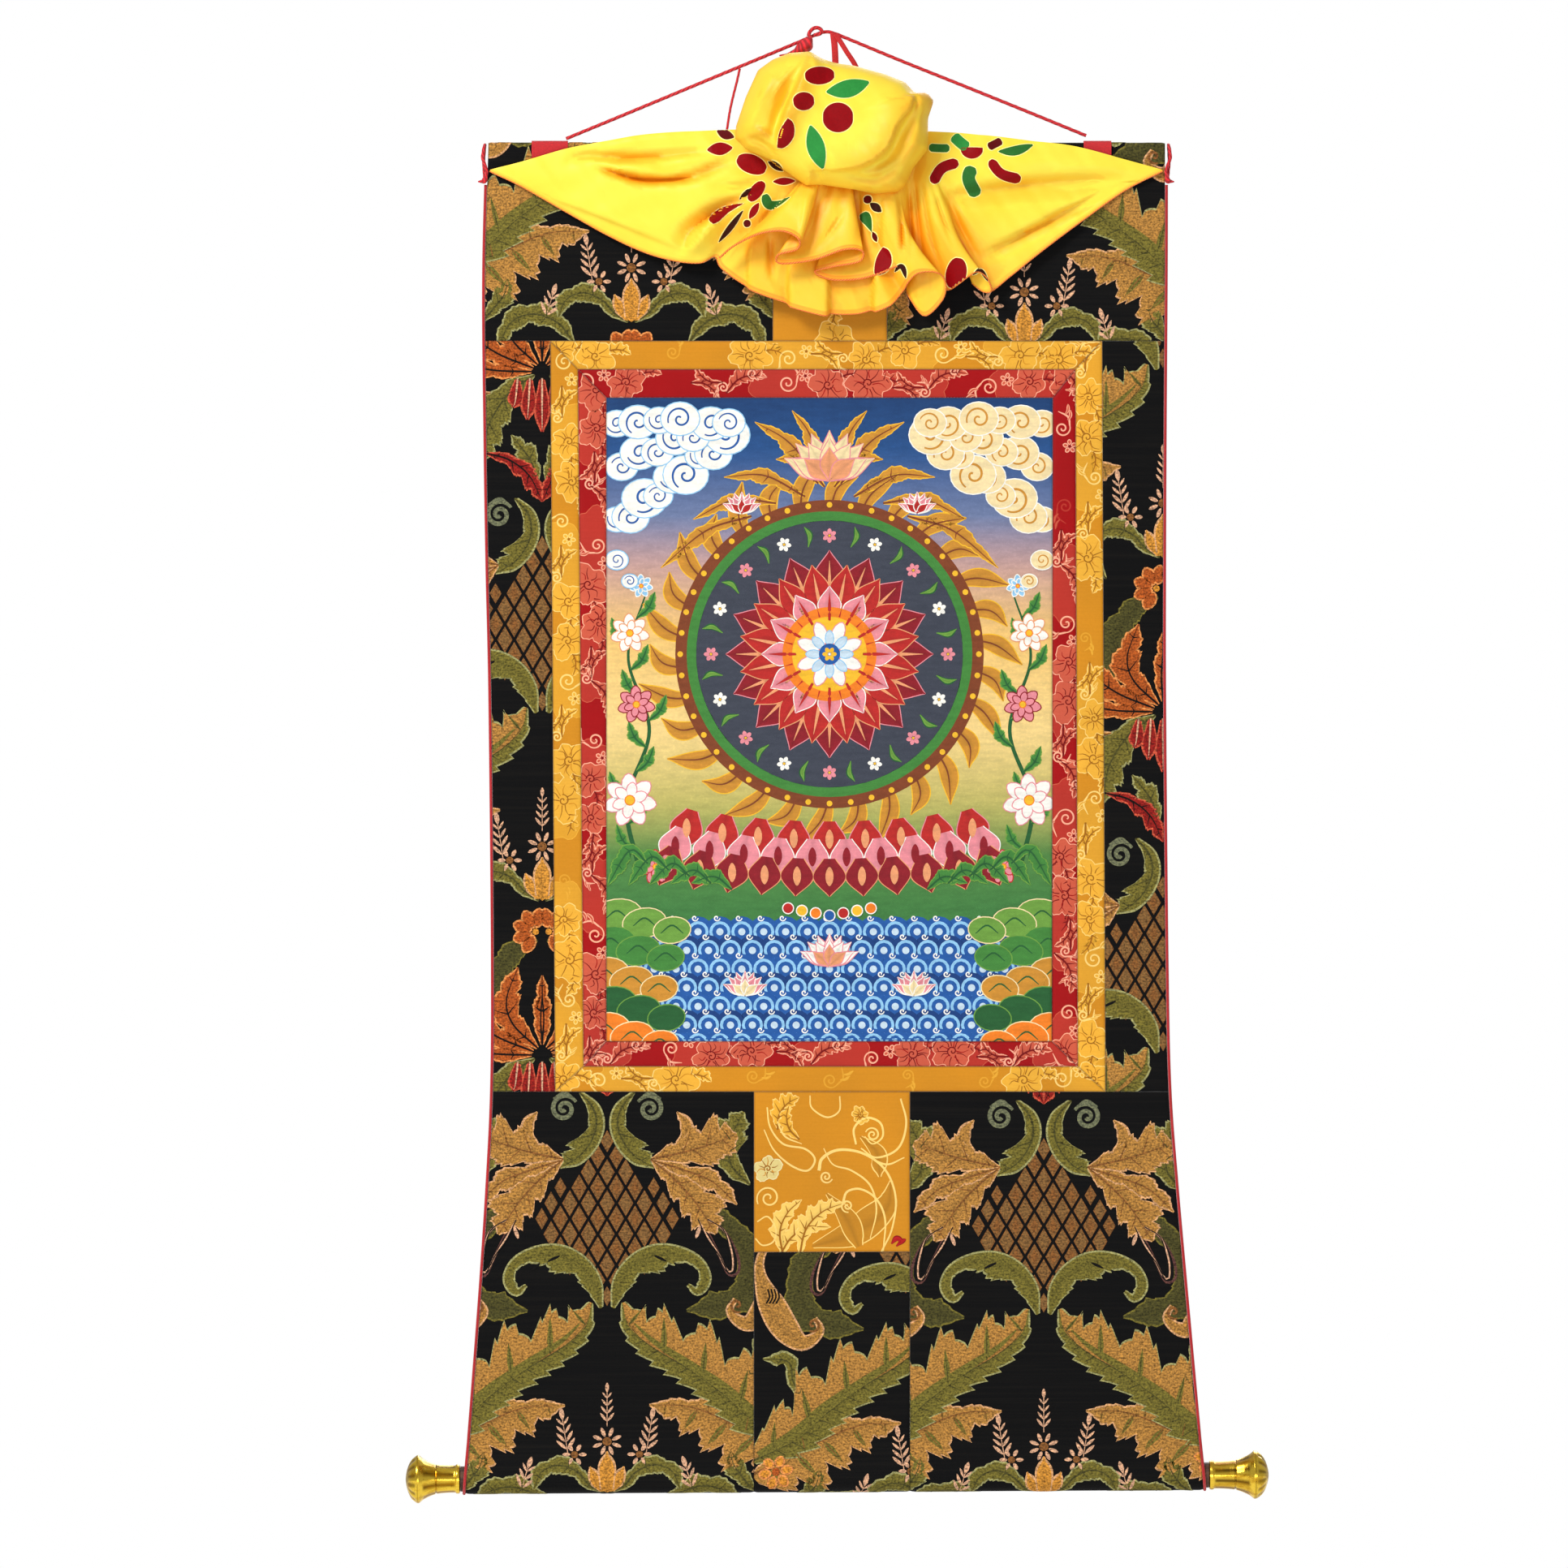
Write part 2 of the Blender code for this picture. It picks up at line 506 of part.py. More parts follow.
def add_brocade():
    left_edge = brocade_side("left")
    right_edge = brocade_side("right")
    upper = top_hem_rows() + straight_rows(MOUNT_TOP - HEM_RUN, FRAME_TOP + GAP / 2, 4)
    hung_panel("brocade_upper_left", upper, left_edge, seam(SEAM_UPPER_LEFT, "left of seam"), 4, "brocade")
    hung_panel("gold_strip_upper", upper, seam(SEAM_UPPER_LEFT, "right of seam"),
               seam(SEAM_UPPER_RIGHT, "left of seam"), 2, "gold_damask")
    hung_panel("brocade_upper_right", upper, seam(SEAM_UPPER_RIGHT, "right of seam"), right_edge, 4, "brocade")

    side_rows = straight_rows(FRAME_TOP - GAP / 2, FRAME_BOTTOM + GAP / 2, 14)
    hung_panel("brocade_side_left", side_rows, left_edge, frame_side("left", -GAP / 2), 1, "brocade")
    hung_panel("brocade_side_right", side_rows, frame_side("right", GAP / 2), right_edge, 1, "brocade")

    hem = roller_hem_rows()
    lower = straight_rows(FRAME_BOTTOM - GAP / 2, hem[0][1] + HEM_RUN, 7) + hem
    hung_panel("brocade_lower_left", lower, left_edge, seam(SEAM_LOWER_LEFT, "left of seam"), 4, "brocade")
    hung_panel("brocade_lower_right", lower, seam(SEAM_LOWER_RIGHT, "right of seam"), right_edge, 4, "brocade")
    square = straight_rows(FRAME_BOTTOM - GAP / 2, LOWER_SQUARE_BOTTOM + GAP / 2, 3)
    hung_panel("gold_square_lower", square, seam(SEAM_LOWER_LEFT, "right of seam"),
               seam(SEAM_LOWER_RIGHT, "left of seam"), 2, "gold_damask")
    middle = straight_rows(LOWER_SQUARE_BOTTOM - GAP / 2, hem[0][1] + HEM_RUN, 4) + hem
    hung_panel("brocade_lower_middle", middle, seam(SEAM_LOWER_LEFT, "right of seam"),
               seam(SEAM_LOWER_RIGHT, "left of seam"), 2, "brocade")


def add_tube(name, points, diameter, material, radii=None, sides=2):
    """Make a round cord as a bevelled polyline with filled ends; radii scale its half diameter."""
    data = bpy.data.curves.new(name, "CURVE")
    data.dimensions = "3D"
    data.bevel_depth = diameter / 2
    data.bevel_resolution = sides
    data.use_fill_caps = True
    spline = data.splines.new("POLY")
    spline.points.add(len(points) - 1)
    for i, place in enumerate(points):
        spline.points[i].co = (*place, 1.0)
        spline.points[i].radius = 1.0 if radii is None else radii[i]
    return add_object(name, data, material)


def add_piping():
    hem = roller_hem_rows(PIPING_RADIUS)
    steps = 20
    start = MOUNT_TOP - PIPING_DROP
    rows = [(0.0, start + (hem[0][1] - start) * i / steps) for i in range(steps)] + hem[:-3]
    for side, out in (("left", -1), ("right", 1)):
        points = []
        for depth, height in rows:
            x = edge_at(height, side) - out * PIPING_RADIUS
            points.append((x, depth + hang_depth(x, height), height + tilt_drop(x, height)))
        add_tube("piping_" + side, points, 2 * PIPING_RADIUS, "red_thread")


def add_batten():
    half = BATTEN_HEIGHT / 2
    height = MOUNT_TOP - CLOTH - GAP - half
    left = cloth_edge(height, "left") + BATTEN_INSET
    right = cloth_edge(height, "right") - BATTEN_INSET
    mesh = bpy.data.meshes.new("batten")
    work = bmesh.new()
    bmesh.ops.create_cube(work, size=1.0)
    bmesh.ops.scale(work, vec=(right - left, BATTEN_DEPTH, BATTEN_HEIGHT), verts=work.verts)
    work.to_mesh(mesh)
    work.free()
    batten = add_object("batten", mesh, "wood")
    batten.location = ((left + right) / 2, CLOTH / 2 + GAP + BATTEN_DEPTH / 2, height)
    ease = batten.modifiers.new("eased edges", "BEVEL")
    ease.width = BATTEN_EASE
    ease.segments = 1


def turn_solid(name, outline, segments, material):
    """Turn an outline of (along, radius) rows about the X axis; the first and last radius are 0."""
    mesh = bpy.data.meshes.new(name)
    work = bmesh.new()
    rings = []
    for along, radius in outline:
        if radius == 0:
            rings.append([work.verts.new((along, 0.0, 0.0))])
            continue
        ring = []
        for i in range(segments):
            angle = 2 * math.pi * i / segments
            ring.append(work.verts.new((along, radius * math.cos(angle), radius * math.sin(angle))))
        rings.append(ring)
    for first, second in zip(rings, rings[1:]):
        for i in range(segments):
            j = (i + 1) % segments
            if len(first) == 1:
                work.faces.new((first[0], second[i], second[j]))
            elif len(second) == 1:
                work.faces.new((first[j], first[i], second[0]))
            else:
                work.faces.new((first[j], first[i], second[i], second[j]))
    bmesh.ops.recalc_face_normals(work, faces=work.faces)
    work.to_mesh(mesh)
    work.free()
    mesh.shade_smooth()
    mesh.set_sharp_from_angle(angle=math.radians(40))
    return add_object(name, mesh, material)


def add_roller_and_knobs():
    length = ROLLER_RIGHT - ROLLER_LEFT
    middle = (ROLLER_LEFT + ROLLER_RIGHT) / 2
    centre = (middle, 0.0, ROLLER_Z + ROLLER_TILT * middle)
    lean = -math.atan(ROLLER_TILT)
    roller = turn_solid("roller", [
        (-length / 2 - SPIGOT_LENGTH, 0), (-length / 2 - SPIGOT_LENGTH, SPIGOT_RADIUS),
        (-length / 2, SPIGOT_RADIUS), (-length / 2, ROLLER_RADIUS), (length / 2, ROLLER_RADIUS),
        (length / 2, SPIGOT_RADIUS), (length / 2 + SPIGOT_LENGTH, SPIGOT_RADIUS),
        (length / 2 + SPIGOT_LENGTH, 0),
    ], 28, "wood")
    roller.location = centre
    roller.rotation_euler = (0.0, lean, 0.0)
    for side, out in (("left", -1), ("right", 1)):
        start = length / 2 + GAP
        bottom = start + SPIGOT_LENGTH + GAP
        outline = [(out * bottom, 0), (out * bottom, SPIGOT_RADIUS + GAP), (out * start, SPIGOT_RADIUS + GAP)]
        for along, radius in KNOB_OUTLINE:
            outline.append((out * (start + along * KNOB_LENGTHS[side]), radius * KNOB_RADIUS))
        outline.append((out * (start + KNOB_LENGTHS[side]), 0))
        knob = turn_solid("knob_" + side, outline, 28, "gold_metal")
        knob.location = centre
        knob.rotation_euler = (0.0, lean, 0.0)


def add_tabs():
    clear = CLOTH / 2 + GAP + TAB_THICK / 2
    back = CLOTH + 2 * GAP + BATTEN_DEPTH + clear
    top = MOUNT_TOP + GAP + TAB_THICK / 2
    corner = HEM_CORNER + clear
    for name, (left, right, drop) in TABS.items():
        rows = [(back, MOUNT_TOP - drop * MM)]
        for turn in (0, 30, 60, 90):
            angle = math.radians(turn)
            rows.append((back - corner * (1 - math.cos(angle)), top - corner * (1 - math.sin(angle))))
        for turn in (60, 30, 0):
            angle = math.radians(turn)
            rows.append((-clear + corner * (1 - math.cos(angle)), top - corner * (1 - math.sin(angle))))
        rows.append((-clear, MOUNT_TOP - drop * MM))
        middle = np.array([[(x * MM, depth, height) for x in (left, (left + right) / 2, right)]
                           for depth, height in rows])
        add_sheet(name, middle, TAB_THICK, "red_thread")


def add_corner_ties():
    for side, out in (("left", -1), ("right", 1)):
        rows = []
        for outward, depth, height, radius in CORNER_TIE:
            x = cloth_edge(height * MM, side) / MM + out * (outward + TIE_CLEAR)
            rows.append((x, depth, height, radius))
        path = smooth_path(rows, 30)
        add_tube("corner_tie_" + side, path[:, :3] * MM, 2 * MM, "red_thread", radii=path[:, 3], sides=1)


def add_cords():
    route = np.array(CORD_ROUTE) * MM
    add_tube("hanging_cord", smooth_path(route, 76), CORD_DIAMETER, "red_thread")
    strand = smooth_path(np.array(STRAND_ROUTE) * MM, 10)
    add_tube("cover_strand", strand, STRAND_DIAMETER, "red_thread")
    knot = smooth_path(KNOT, 14)
    add_tube("knot", knot[:, :3] * MM, 2 * MM, "red_thread", radii=knot[:, 3], sides=3)
    loop = smooth_path(np.array(LOOP_ROUTE) * MM, 14)
    add_tube("top_loop", loop, 2 * LOOP_RADIUS, "red_thread")


def add_ribbons():
    for name, (width, route) in RIBBONS.items():
        path = smooth_path(np.array(route) * MM, 9)
        along = np.gradient(path, axis=0)
        across = np.column_stack([-along[:, 2], np.zeros(len(path)), along[:, 0]])
        across /= np.linalg.norm(across, axis=1, keepdims=True)
        half = width / 2 * MM
        middle = np.stack([path + across * half, path, path - across * half], axis=1)
        add_sheet(name, middle, RIBBON_THICK, "red_thread")


def quadratic(start, control, end, share):
    """Run from start to end by way of the point that the curve passes at its middle."""
    pull = 2 * control - (start + end) / 2
    return (1 - share) ** 2 * start + 2 * share * (1 - share) * pull + share ** 2 * end


def fold_height(folds, x, z):
    """Add up the folds at a place; each one fades aside and past its two ends."""
    height = 0.0
    for first_x, first_z, second_x, second_z, width, reach in folds:
        length = math.hypot(second_x - first_x, second_z - first_z)
        along_x, along_z = (second_x - first_x) / length, (second_z - first_z) / length
        along = (x - (first_x + second_x) / 2) * along_x + (z - (first_z + second_z) / 2) * along_z
        aside = (z - first_z) * along_x - (x - first_x) * along_z
        height += reach * math.exp(-(2 * along / length) ** 2 - (aside / width) ** 2)
    return height


def add_cover():
    flat = np.array([hem + gather + upper for hem, gather, upper in COVER_COLUMNS])
    columns = smooth_path(flat, COVER_ACROSS)
    middle = np.zeros((COVER_DOWN + 1, COVER_ACROSS, 3))
    for c, row in enumerate(columns):
        hem, gather, upper = row[0:3], row[3:6], row[6:9]
        for r in range(COVER_DOWN + 1):
            share = r / COVER_DOWN
            x, z, out = quadratic(upper, gather, hem, share)
            out += fold_height(SWAG_FOLDS, x, z)
            middle[r, c] = (x, -out, z)
    cover = add_sheet("silk_cover", middle * MM, SILK, "silk")

    rows = np.array([hem + (neck_x, FRILL_NECK_Z, neck_out) for hem, (neck_x, neck_out) in FRILL_COLUMNS])
    columns = smooth_path(rows, FRILL_ACROSS)
    middle = np.zeros((FRILL_DOWN + 1, FRILL_ACROSS, 3))
    for c, row in enumerate(columns):
        for r in range(FRILL_DOWN + 1):
            share = r / FRILL_DOWN
            x = row[3] + (row[0] - row[3]) * share ** FRILL_NECK_EASE
            z = row[4] + (row[1] - row[4]) * share
            out = row[5] + (row[2] - row[5]) * share
            middle[r, c] = (x, -out, z)
    frill = add_sheet("frill_guide", middle * MM, SILK, "silk")
    bunch = add_bunch()
    for guide in (bunch, frill):
        guide.hide_render = True
        guide.display_type = "WIRE"
        join = cover.modifiers.new("join " + guide.name, "BOOLEAN")
        join.operation = "UNION"
        join.object = guide


def bunch_rings():
    """List share of the reach and depth of the bunch's rings, from the front's middle to the back's."""
    rings = []
    for r in range(BUNCH_FRONT_RINGS + 1):
        share = r / BUNCH_FRONT_RINGS
        rings.append((share, -BUNCH_FRONT * (1 - share ** BUNCH_ROUND) ** (1 / 2)))
    for r in range(1, BUNCH_BACK_RINGS + 1):
        lean = math.pi / 2 * r / BUNCH_BACK_RINGS
        rings.append((math.cos(lean), BUNCH_BACK * math.sin(lean)))
    return rings


def add_bunch():
    angles = np.radians([row[0] for row in BUNCH_OUTLINE])
    reaches = np.array([row[1] for row in BUNCH_OUTLINE])
    cx, cy, cz = BUNCH_CENTRE
    work = bmesh.new()
    rings = []
    profile = bunch_rings()
    for r, (share, depth) in enumerate(profile):
        if r in (0, len(profile) - 1):
            sink = fold_height(BUNCH_CREASES, cx, cz) if r == 0 else 0.0
            rings.append([work.verts.new((cx * MM, (cy + depth - sink) * MM, cz * MM))])
            continue
        ring = []
        for i in range(BUNCH_SEGMENTS):
            angle = 2 * math.pi * i / BUNCH_SEGMENTS
            reach = np.interp(angle, angles, reaches, period=2 * math.pi) * share
            x = cx + reach * math.cos(angle)
            z = cz + reach * math.sin(angle)
            stand = fold_height(BUNCH_CREASES, x, z) if r < BUNCH_FRONT_RINGS else 0.0
            ring.append(work.verts.new((x * MM, (cy + depth - stand) * MM, z * MM)))
        rings.append(ring)
    for first, second in zip(rings, rings[1:]):
        for i in range(BUNCH_SEGMENTS):
            j = (i + 1) % BUNCH_SEGMENTS
            if len(first) == 1:
                work.faces.new((first[0], second[i], second[j]))
            elif len(second) == 1:
                work.faces.new((first[j], first[i], second[0]))
            else:
                work.faces.new((first[j], first[i], second[i], second[j]))
    bmesh.ops.recalc_face_normals(work, faces=work.faces)
    mesh = bpy.data.meshes.new("bunch_guide")
    work.to_mesh(mesh)
    work.free()
    mesh.shade_smooth()
    return add_object("bunch_guide", mesh, "silk")


def main():
    for old in list(bpy.data.objects):
        bpy.data.objects.remove(old, do_unlink=True)
    add_frame()
    add_brocade()
    add_piping()
    add_batten()
    add_roller_and_knobs()
    add_tabs()
    add_corner_ties()
    add_cords()
    add_ribbons()
    add_cover()


main()
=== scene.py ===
# Thangka scroll painting: the looks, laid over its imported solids
import math
import random

import bpy
import numpy as np
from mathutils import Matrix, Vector, geometry, noise
from mathutils.bvhtree import BVHTree


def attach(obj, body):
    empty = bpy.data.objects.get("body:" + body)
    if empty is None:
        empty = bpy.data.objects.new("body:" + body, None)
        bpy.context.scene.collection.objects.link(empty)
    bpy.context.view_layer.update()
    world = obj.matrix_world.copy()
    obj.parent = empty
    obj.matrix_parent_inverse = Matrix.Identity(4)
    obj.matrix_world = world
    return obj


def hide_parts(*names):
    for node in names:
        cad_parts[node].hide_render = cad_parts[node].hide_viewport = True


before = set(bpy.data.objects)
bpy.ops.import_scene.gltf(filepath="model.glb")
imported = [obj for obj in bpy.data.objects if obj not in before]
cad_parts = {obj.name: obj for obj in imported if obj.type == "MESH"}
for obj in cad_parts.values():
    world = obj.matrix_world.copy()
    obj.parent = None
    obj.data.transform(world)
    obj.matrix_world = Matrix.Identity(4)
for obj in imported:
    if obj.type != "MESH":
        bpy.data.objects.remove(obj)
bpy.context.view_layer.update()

mm = 0.001
pixel = 0.64  # millimetres that one pixel of the photograph stands for


def fromPhoto(x, y):
    return (x - 1018) * pixel, -(y - 38) * pixel


def srgb(code, alpha=1.0):
    # "#rrggbb" to scene linear
    parts = [int(code[i:i + 2], 16) / 255 for i in (1, 3, 5)]
    linear = [p / 12.92 if p <= 0.04045 else ((p + 0.055) / 1.055) ** 2.4 for p in parts]
    return (*linear, alpha)


def blendTone(first, second, share):
    return tuple(a + (b - a) * share for a, b in zip(first, second))


# Camera, square on to the mount and far off, as a catalogue photograph is taken

cameraPlan = {"centre": (-33.3, -593.9), "width": 1236.5, "distance": 9.0, "sensor": 36.0}


def addCamera(plan):
    data = bpy.data.cameras.new("camera")
    data.sensor_width = plan["sensor"]
    data.lens = plan["sensor"] * plan["distance"] / (plan["width"] * mm)
    data.clip_start, data.clip_end = 0.1, 100
    camera = bpy.data.objects.new("camera", data)
    bpy.context.scene.collection.objects.link(camera)
    camera.location = (plan["centre"][0] * mm, -plan["distance"], plan["centre"][1] * mm)
    camera.rotation_euler = (math.radians(90), 0, 0)
    bpy.context.scene.camera = camera
    bpy.context.scene.view_settings.view_transform = "Standard"


addCamera(cameraPlan)
print("camera placed")


# Materials

class Wire:
    # a socket that takes part in written-out shader maths
    def __init__(self, tree, socket=None):
        self.tree = tree
        self.socket = socket

    def node(self, kind, settings=None, inputs=None, out=0):
        made = self.tree.nodes.new(kind)
        for name, value in (settings or {}).items():
            if name == "stops":
                elements = made.color_ramp.elements
                for place, colour in value[2:]:
                    elements.new(place)
                for element, (place, colour) in zip(elements, value):
                    element.position = place
                    element.color = colour
            else:
                setattr(made, name, value)
        for name, value in (inputs or {}).items():
            if isinstance(value, Wire):
                self.tree.links.new(value.socket, made.inputs[name])
            else:
                made.inputs[name].default_value = value
        return Wire(self.tree, made.outputs[out])

    def maths(self, operation, other=0.0):
        return self.node("ShaderNodeMath", {"operation": operation}, {0: self, 1: other})

    def __add__(self, other):
        return self.maths("ADD", other)

    def __radd__(self, other):
        return self.maths("ADD", other)

    def __sub__(self, other):
        return self.maths("SUBTRACT", other)

    def __rsub__(self, other):
        return self.node("ShaderNodeMath", {"operation": "SUBTRACT"}, {0: other, 1: self})

    def __mul__(self, other):
        return self.maths("MULTIPLY", other)

    def __rmul__(self, other):
        return self.maths("MULTIPLY", other)

    def __truediv__(self, other):
        return self.maths("DIVIDE", other)

    def sine(self):
        return self.maths("SINE")

    def size(self):
        return self.maths("ABSOLUTE")

    def above(self, edge):
        return self.maths("GREATER_THAN", edge)

    def between(self, low, high):
        # 0 to 1 as the value goes from low to high
        return self.node("ShaderNodeMapRange", {"clamp": True}, {0: self, 1: low, 2: high})

    def blend(self, first, second, kind="MIX"):
        # this value is the share of the second colour
        settings = {"data_type": "RGBA", "blend_type": kind}
        return self.node("ShaderNodeMix", settings, {0: self, 6: first, 7: second}, 2)

    def axis(self, index):
        return self.node("ShaderNodeSeparateXYZ", None, {0: self}, index)

    def stretched(self, scale):
        return self.node("ShaderNodeVectorMath", {"operation": "MULTIPLY"}, {0: self, 1: scale})

    def grain(self, scale, detail=2.0, roughness=0.5):
        inputs = {"Vector": self, "Scale": scale, "Detail": detail, "Roughness": roughness}
        return self.node("ShaderNodeTexNoise", None, inputs)

    def bump(self, distance, strength=1.0, normal=None):
        inputs = {"Height": self, "Distance": distance, "Strength": strength}
        if normal:
            inputs["Normal"] = normal
        return self.node("ShaderNodeBump", None, inputs)


def objectPlace(board):
    return board.node("ShaderNodeTexCoord", None, None, 3)


def clothPlace(board):
    # place on the cloth in metres: across, along
    return board.node("ShaderNodeAttribute", {"attribute_name": "lay"}, None, 1)


def tint(board):
    return board.node("ShaderNodeAttribute", {"attribute_name": "tint"}, None, 0)


def newMaterial(name, fixed, varied):
    material = bpy.data.materials.new(name)
    material.use_nodes = True
    tree = material.node_tree
    shader = tree.nodes["Principled BSDF"]
    for socket, value in fixed.items():
        shader.inputs[socket].default_value = value
    for socket, wire in varied(Wire(tree)).items():
        tree.links.new(wire.socket, shader.inputs[socket])
    return material


def weave(place, warp, weft):
    # over and under of a plain weave, threads to the metre
    across = (place.axis(0) * (2 * math.pi * warp)).sine()
    along = (place.axis(1) * (2 * math.pi * weft)).sine()
    return across * along


def satinGround(board):
    # black satin with faint weft bars
    place = clothPlace(board)
    bars = place.stretched((6, 420, 1)).grain(1.0, 3.0, 0.6)
    dust = place.stretched((900, 900, 1)).grain(1.0, 2.0)
    colour = bars.between(0.45, 0.75).blend(srgb("#050506"), srgb("#100e0c"))
    height = weave(place, 900, 1300) * 0.5 + dust * 0.5
    return {"Base Color": colour, "Roughness": dust * 0.2 + 0.65, "Normal": height.bump(0.00015, 0.5)}


def chenilleFigure(board):
    # tufted figure: grains of lighter and darker yarn over the tint
    place = clothPlace(board)
    grains = place.grain(620, 4.0, 0.65)
    streaks = place.stretched((260, 700, 1)).grain(1.0, 3.0, 0.6)
    tone = grains * 0.62 + streaks * 0.38
    dark = tone.between(0.52, 0.36).blend(tint(board), (0.22, 0.2, 0.16, 1), "MULTIPLY")
    colour = tone.between(0.5, 0.68).blend(dark, (1.9, 1.75, 1.35, 1), "MULTIPLY")
    return {"Base Color": colour, "Roughness": grains * 0.2 + 0.6, "Normal": tone.bump(0.0006, 0.7)}


def damaskFace(board):
    # satin and twill damask, tinted by its figure
    place = clothPlace(board)
    slub = place.stretched((14, 700, 1)).grain(1.0, 3.0, 0.6)
    grains = place.grain(520, 3.0, 0.6)
    cloud = place.grain(16, 2.0)
    shade = (slub * 0.5 + grains * 0.5).between(0.36, 0.64)
    dim = shade.blend(tint(board), (0.93, 0.9, 0.86, 1), "MULTIPLY")
    colour = cloud.between(0.35, 0.7).blend(dim, (1.12, 1.1, 1.0, 1), "MULTIPLY")
    height = weave(place, 1100, 1100) * 0.4 + slub * 0.6
    return {"Base Color": colour, "Roughness": grains * 0.25 + 0.3, "Normal": height.bump(0.0002, 0.5)}


def clothReverse(board):
    # loose weft floats on the wrong side
    place = clothPlace(board)
    floats = place.stretched((40, 900, 1)).grain(1.0, 4.0, 0.6)
    patches = place.grain(28, 3.0)
    base = patches.between(0.42, 0.58).blend(srgb("#26221a"), srgb("#5a4a2a"))
    colour = floats.between(0.45, 0.65).blend(base, srgb("#7c5a34"))
    return {"Base Color": colour, "Roughness": floats * 0.2 + 0.65, "Normal": floats.bump(0.0005, 0.6)}


def rawCanvas(board):
    place = clothPlace(board)
    threads = weave(place, 700, 700)
    stains = place.grain(9, 4.0)
    colour = stains.between(0.35, 0.7).blend(srgb("#d8c9a8"), srgb("#c2ad85"))
    return {"Base Color": colour, "Roughness": stains * 0.1 + 0.8, "Normal": threads.bump(0.0003, 0.6)}


def paintFace(board):
    # ground pigment on fine canvas, brushed a little unevenly
    place = clothPlace(board)
    brushed = place.stretched((60, 220, 1)).grain(1.0, 4.0, 0.6)
    grains = place.grain(420, 3.0)
    dim = brushed.between(0.4, 0.65).blend(tint(board), (0.84, 0.85, 0.86, 1), "MULTIPLY")
    colour = grains.between(0.5, 0.7).blend(dim, (1.12, 1.12, 1.1, 1), "MULTIPLY")
    height = weave(place, 800, 800) * 0.4 + brushed
    return {"Base Color": colour, "Roughness": brushed * 0.2 + 0.5, "Normal": height.bump(0.00025, 0.5)}


def silkFace(board):
    place = objectPlace(board)
    threads = place.stretched((500, 500, 700)).grain(1.0, 2.0)
    soft = place.grain(24, 3.0, 0.55)
    crush = place.grain(110, 4.0, 0.6)
    colour = soft.between(0.3, 0.7).blend(tint(board), (1.0, 0.94, 0.7, 1), "MULTIPLY")
    height = crush * 0.8 + threads * 0.2
    return {"Base Color": colour, "Roughness": threads * 0.15 + 0.4, "Normal": height.bump(0.0006, 0.3)}


def printedSilk(board):
    place = objectPlace(board)
    grains = place.grain(500, 3.0)
    colour = grains.between(0.4, 0.7).blend(tint(board), (1.15, 1.12, 1.1, 1), "MULTIPLY")
    return {"Base Color": colour, "Roughness": grains * 0.2 + 0.45, "Normal": grains.bump(0.0002, 0.4)}


def braid(dark, light, pitch=1500.0):
    # twisted yarn: slanting bars along the cord
    def face(board):
        place = clothPlace(board)
        bars = ((place.axis(0) * 3.0 + place.axis(1) * pitch)).sine()
        fluff = objectPlace(board).grain(1600, 3.0)
        mask = (bars * 0.35 + fluff).between(0.3, 0.85)
        colour = mask.blend(dark, light)
        return {"Base Color": colour, "Roughness": fluff * 0.2 + 0.55, "Normal": (bars * 0.5 + fluff).bump(0.0004, 0.7)}
    return face


def wovenTape(dark, light):
    def face(board):
        place = clothPlace(board)
        threads = weave(place, 1000, 700)
        fluff = place.grain(900, 3.0)
        colour = (threads * 0.25 + fluff).between(0.3, 0.8).blend(dark, light)
        return {"Base Color": colour, "Roughness": fluff * 0.2 + 0.55, "Normal": (threads * 0.5 + fluff).bump(0.0004, 0.6)}
    return face


def woodFace(board):
    place = objectPlace(board)
    rings = place.stretched((6, 260, 260)).grain(1.0, 4.0, 0.6)
    pores = place.stretched((90, 1500, 1500)).grain(1.0, 2.0)
    colour = rings.between(0.35, 0.65).blend(srgb("#2e1a10"), srgb("#5c3a22"))
    return {"Base Color": colour, "Roughness": pores * 0.2 + 0.5, "Normal": pores.bump(0.0003, 0.5)}


def goldMetal(board):
    # bright lacquered brass, stained and speckled, over a tint with painted shade and painted dark reflection in its
    # hollows
    place = objectPlace(board)
    stain = place.stretched((30, 160, 160)).grain(1.0, 4.0, 0.65)
    specks = place.grain(520, 3.0, 0.7)
    bright = stain.between(0.3, 0.55).blend(srgb("#b8800f"), tint(board))
    colour = specks.between(0.62, 0.75).blend(bright, srgb("#7a4a10"))
    rough = stain.between(0.6, 0.3) * 0.2 + 0.14
    return {"Base Color": colour, "Roughness": rough, "Normal": specks.bump(0.0003, 0.25)}


def plainFloor(board):
    place = objectPlace(board)
    dust = place.grain(3, 2.0)
    return {"Base Color": dust.blend(srgb("#f3f2f0"), srgb("#f6f5f3")), "Roughness": dust * 0.05 + 0.85}


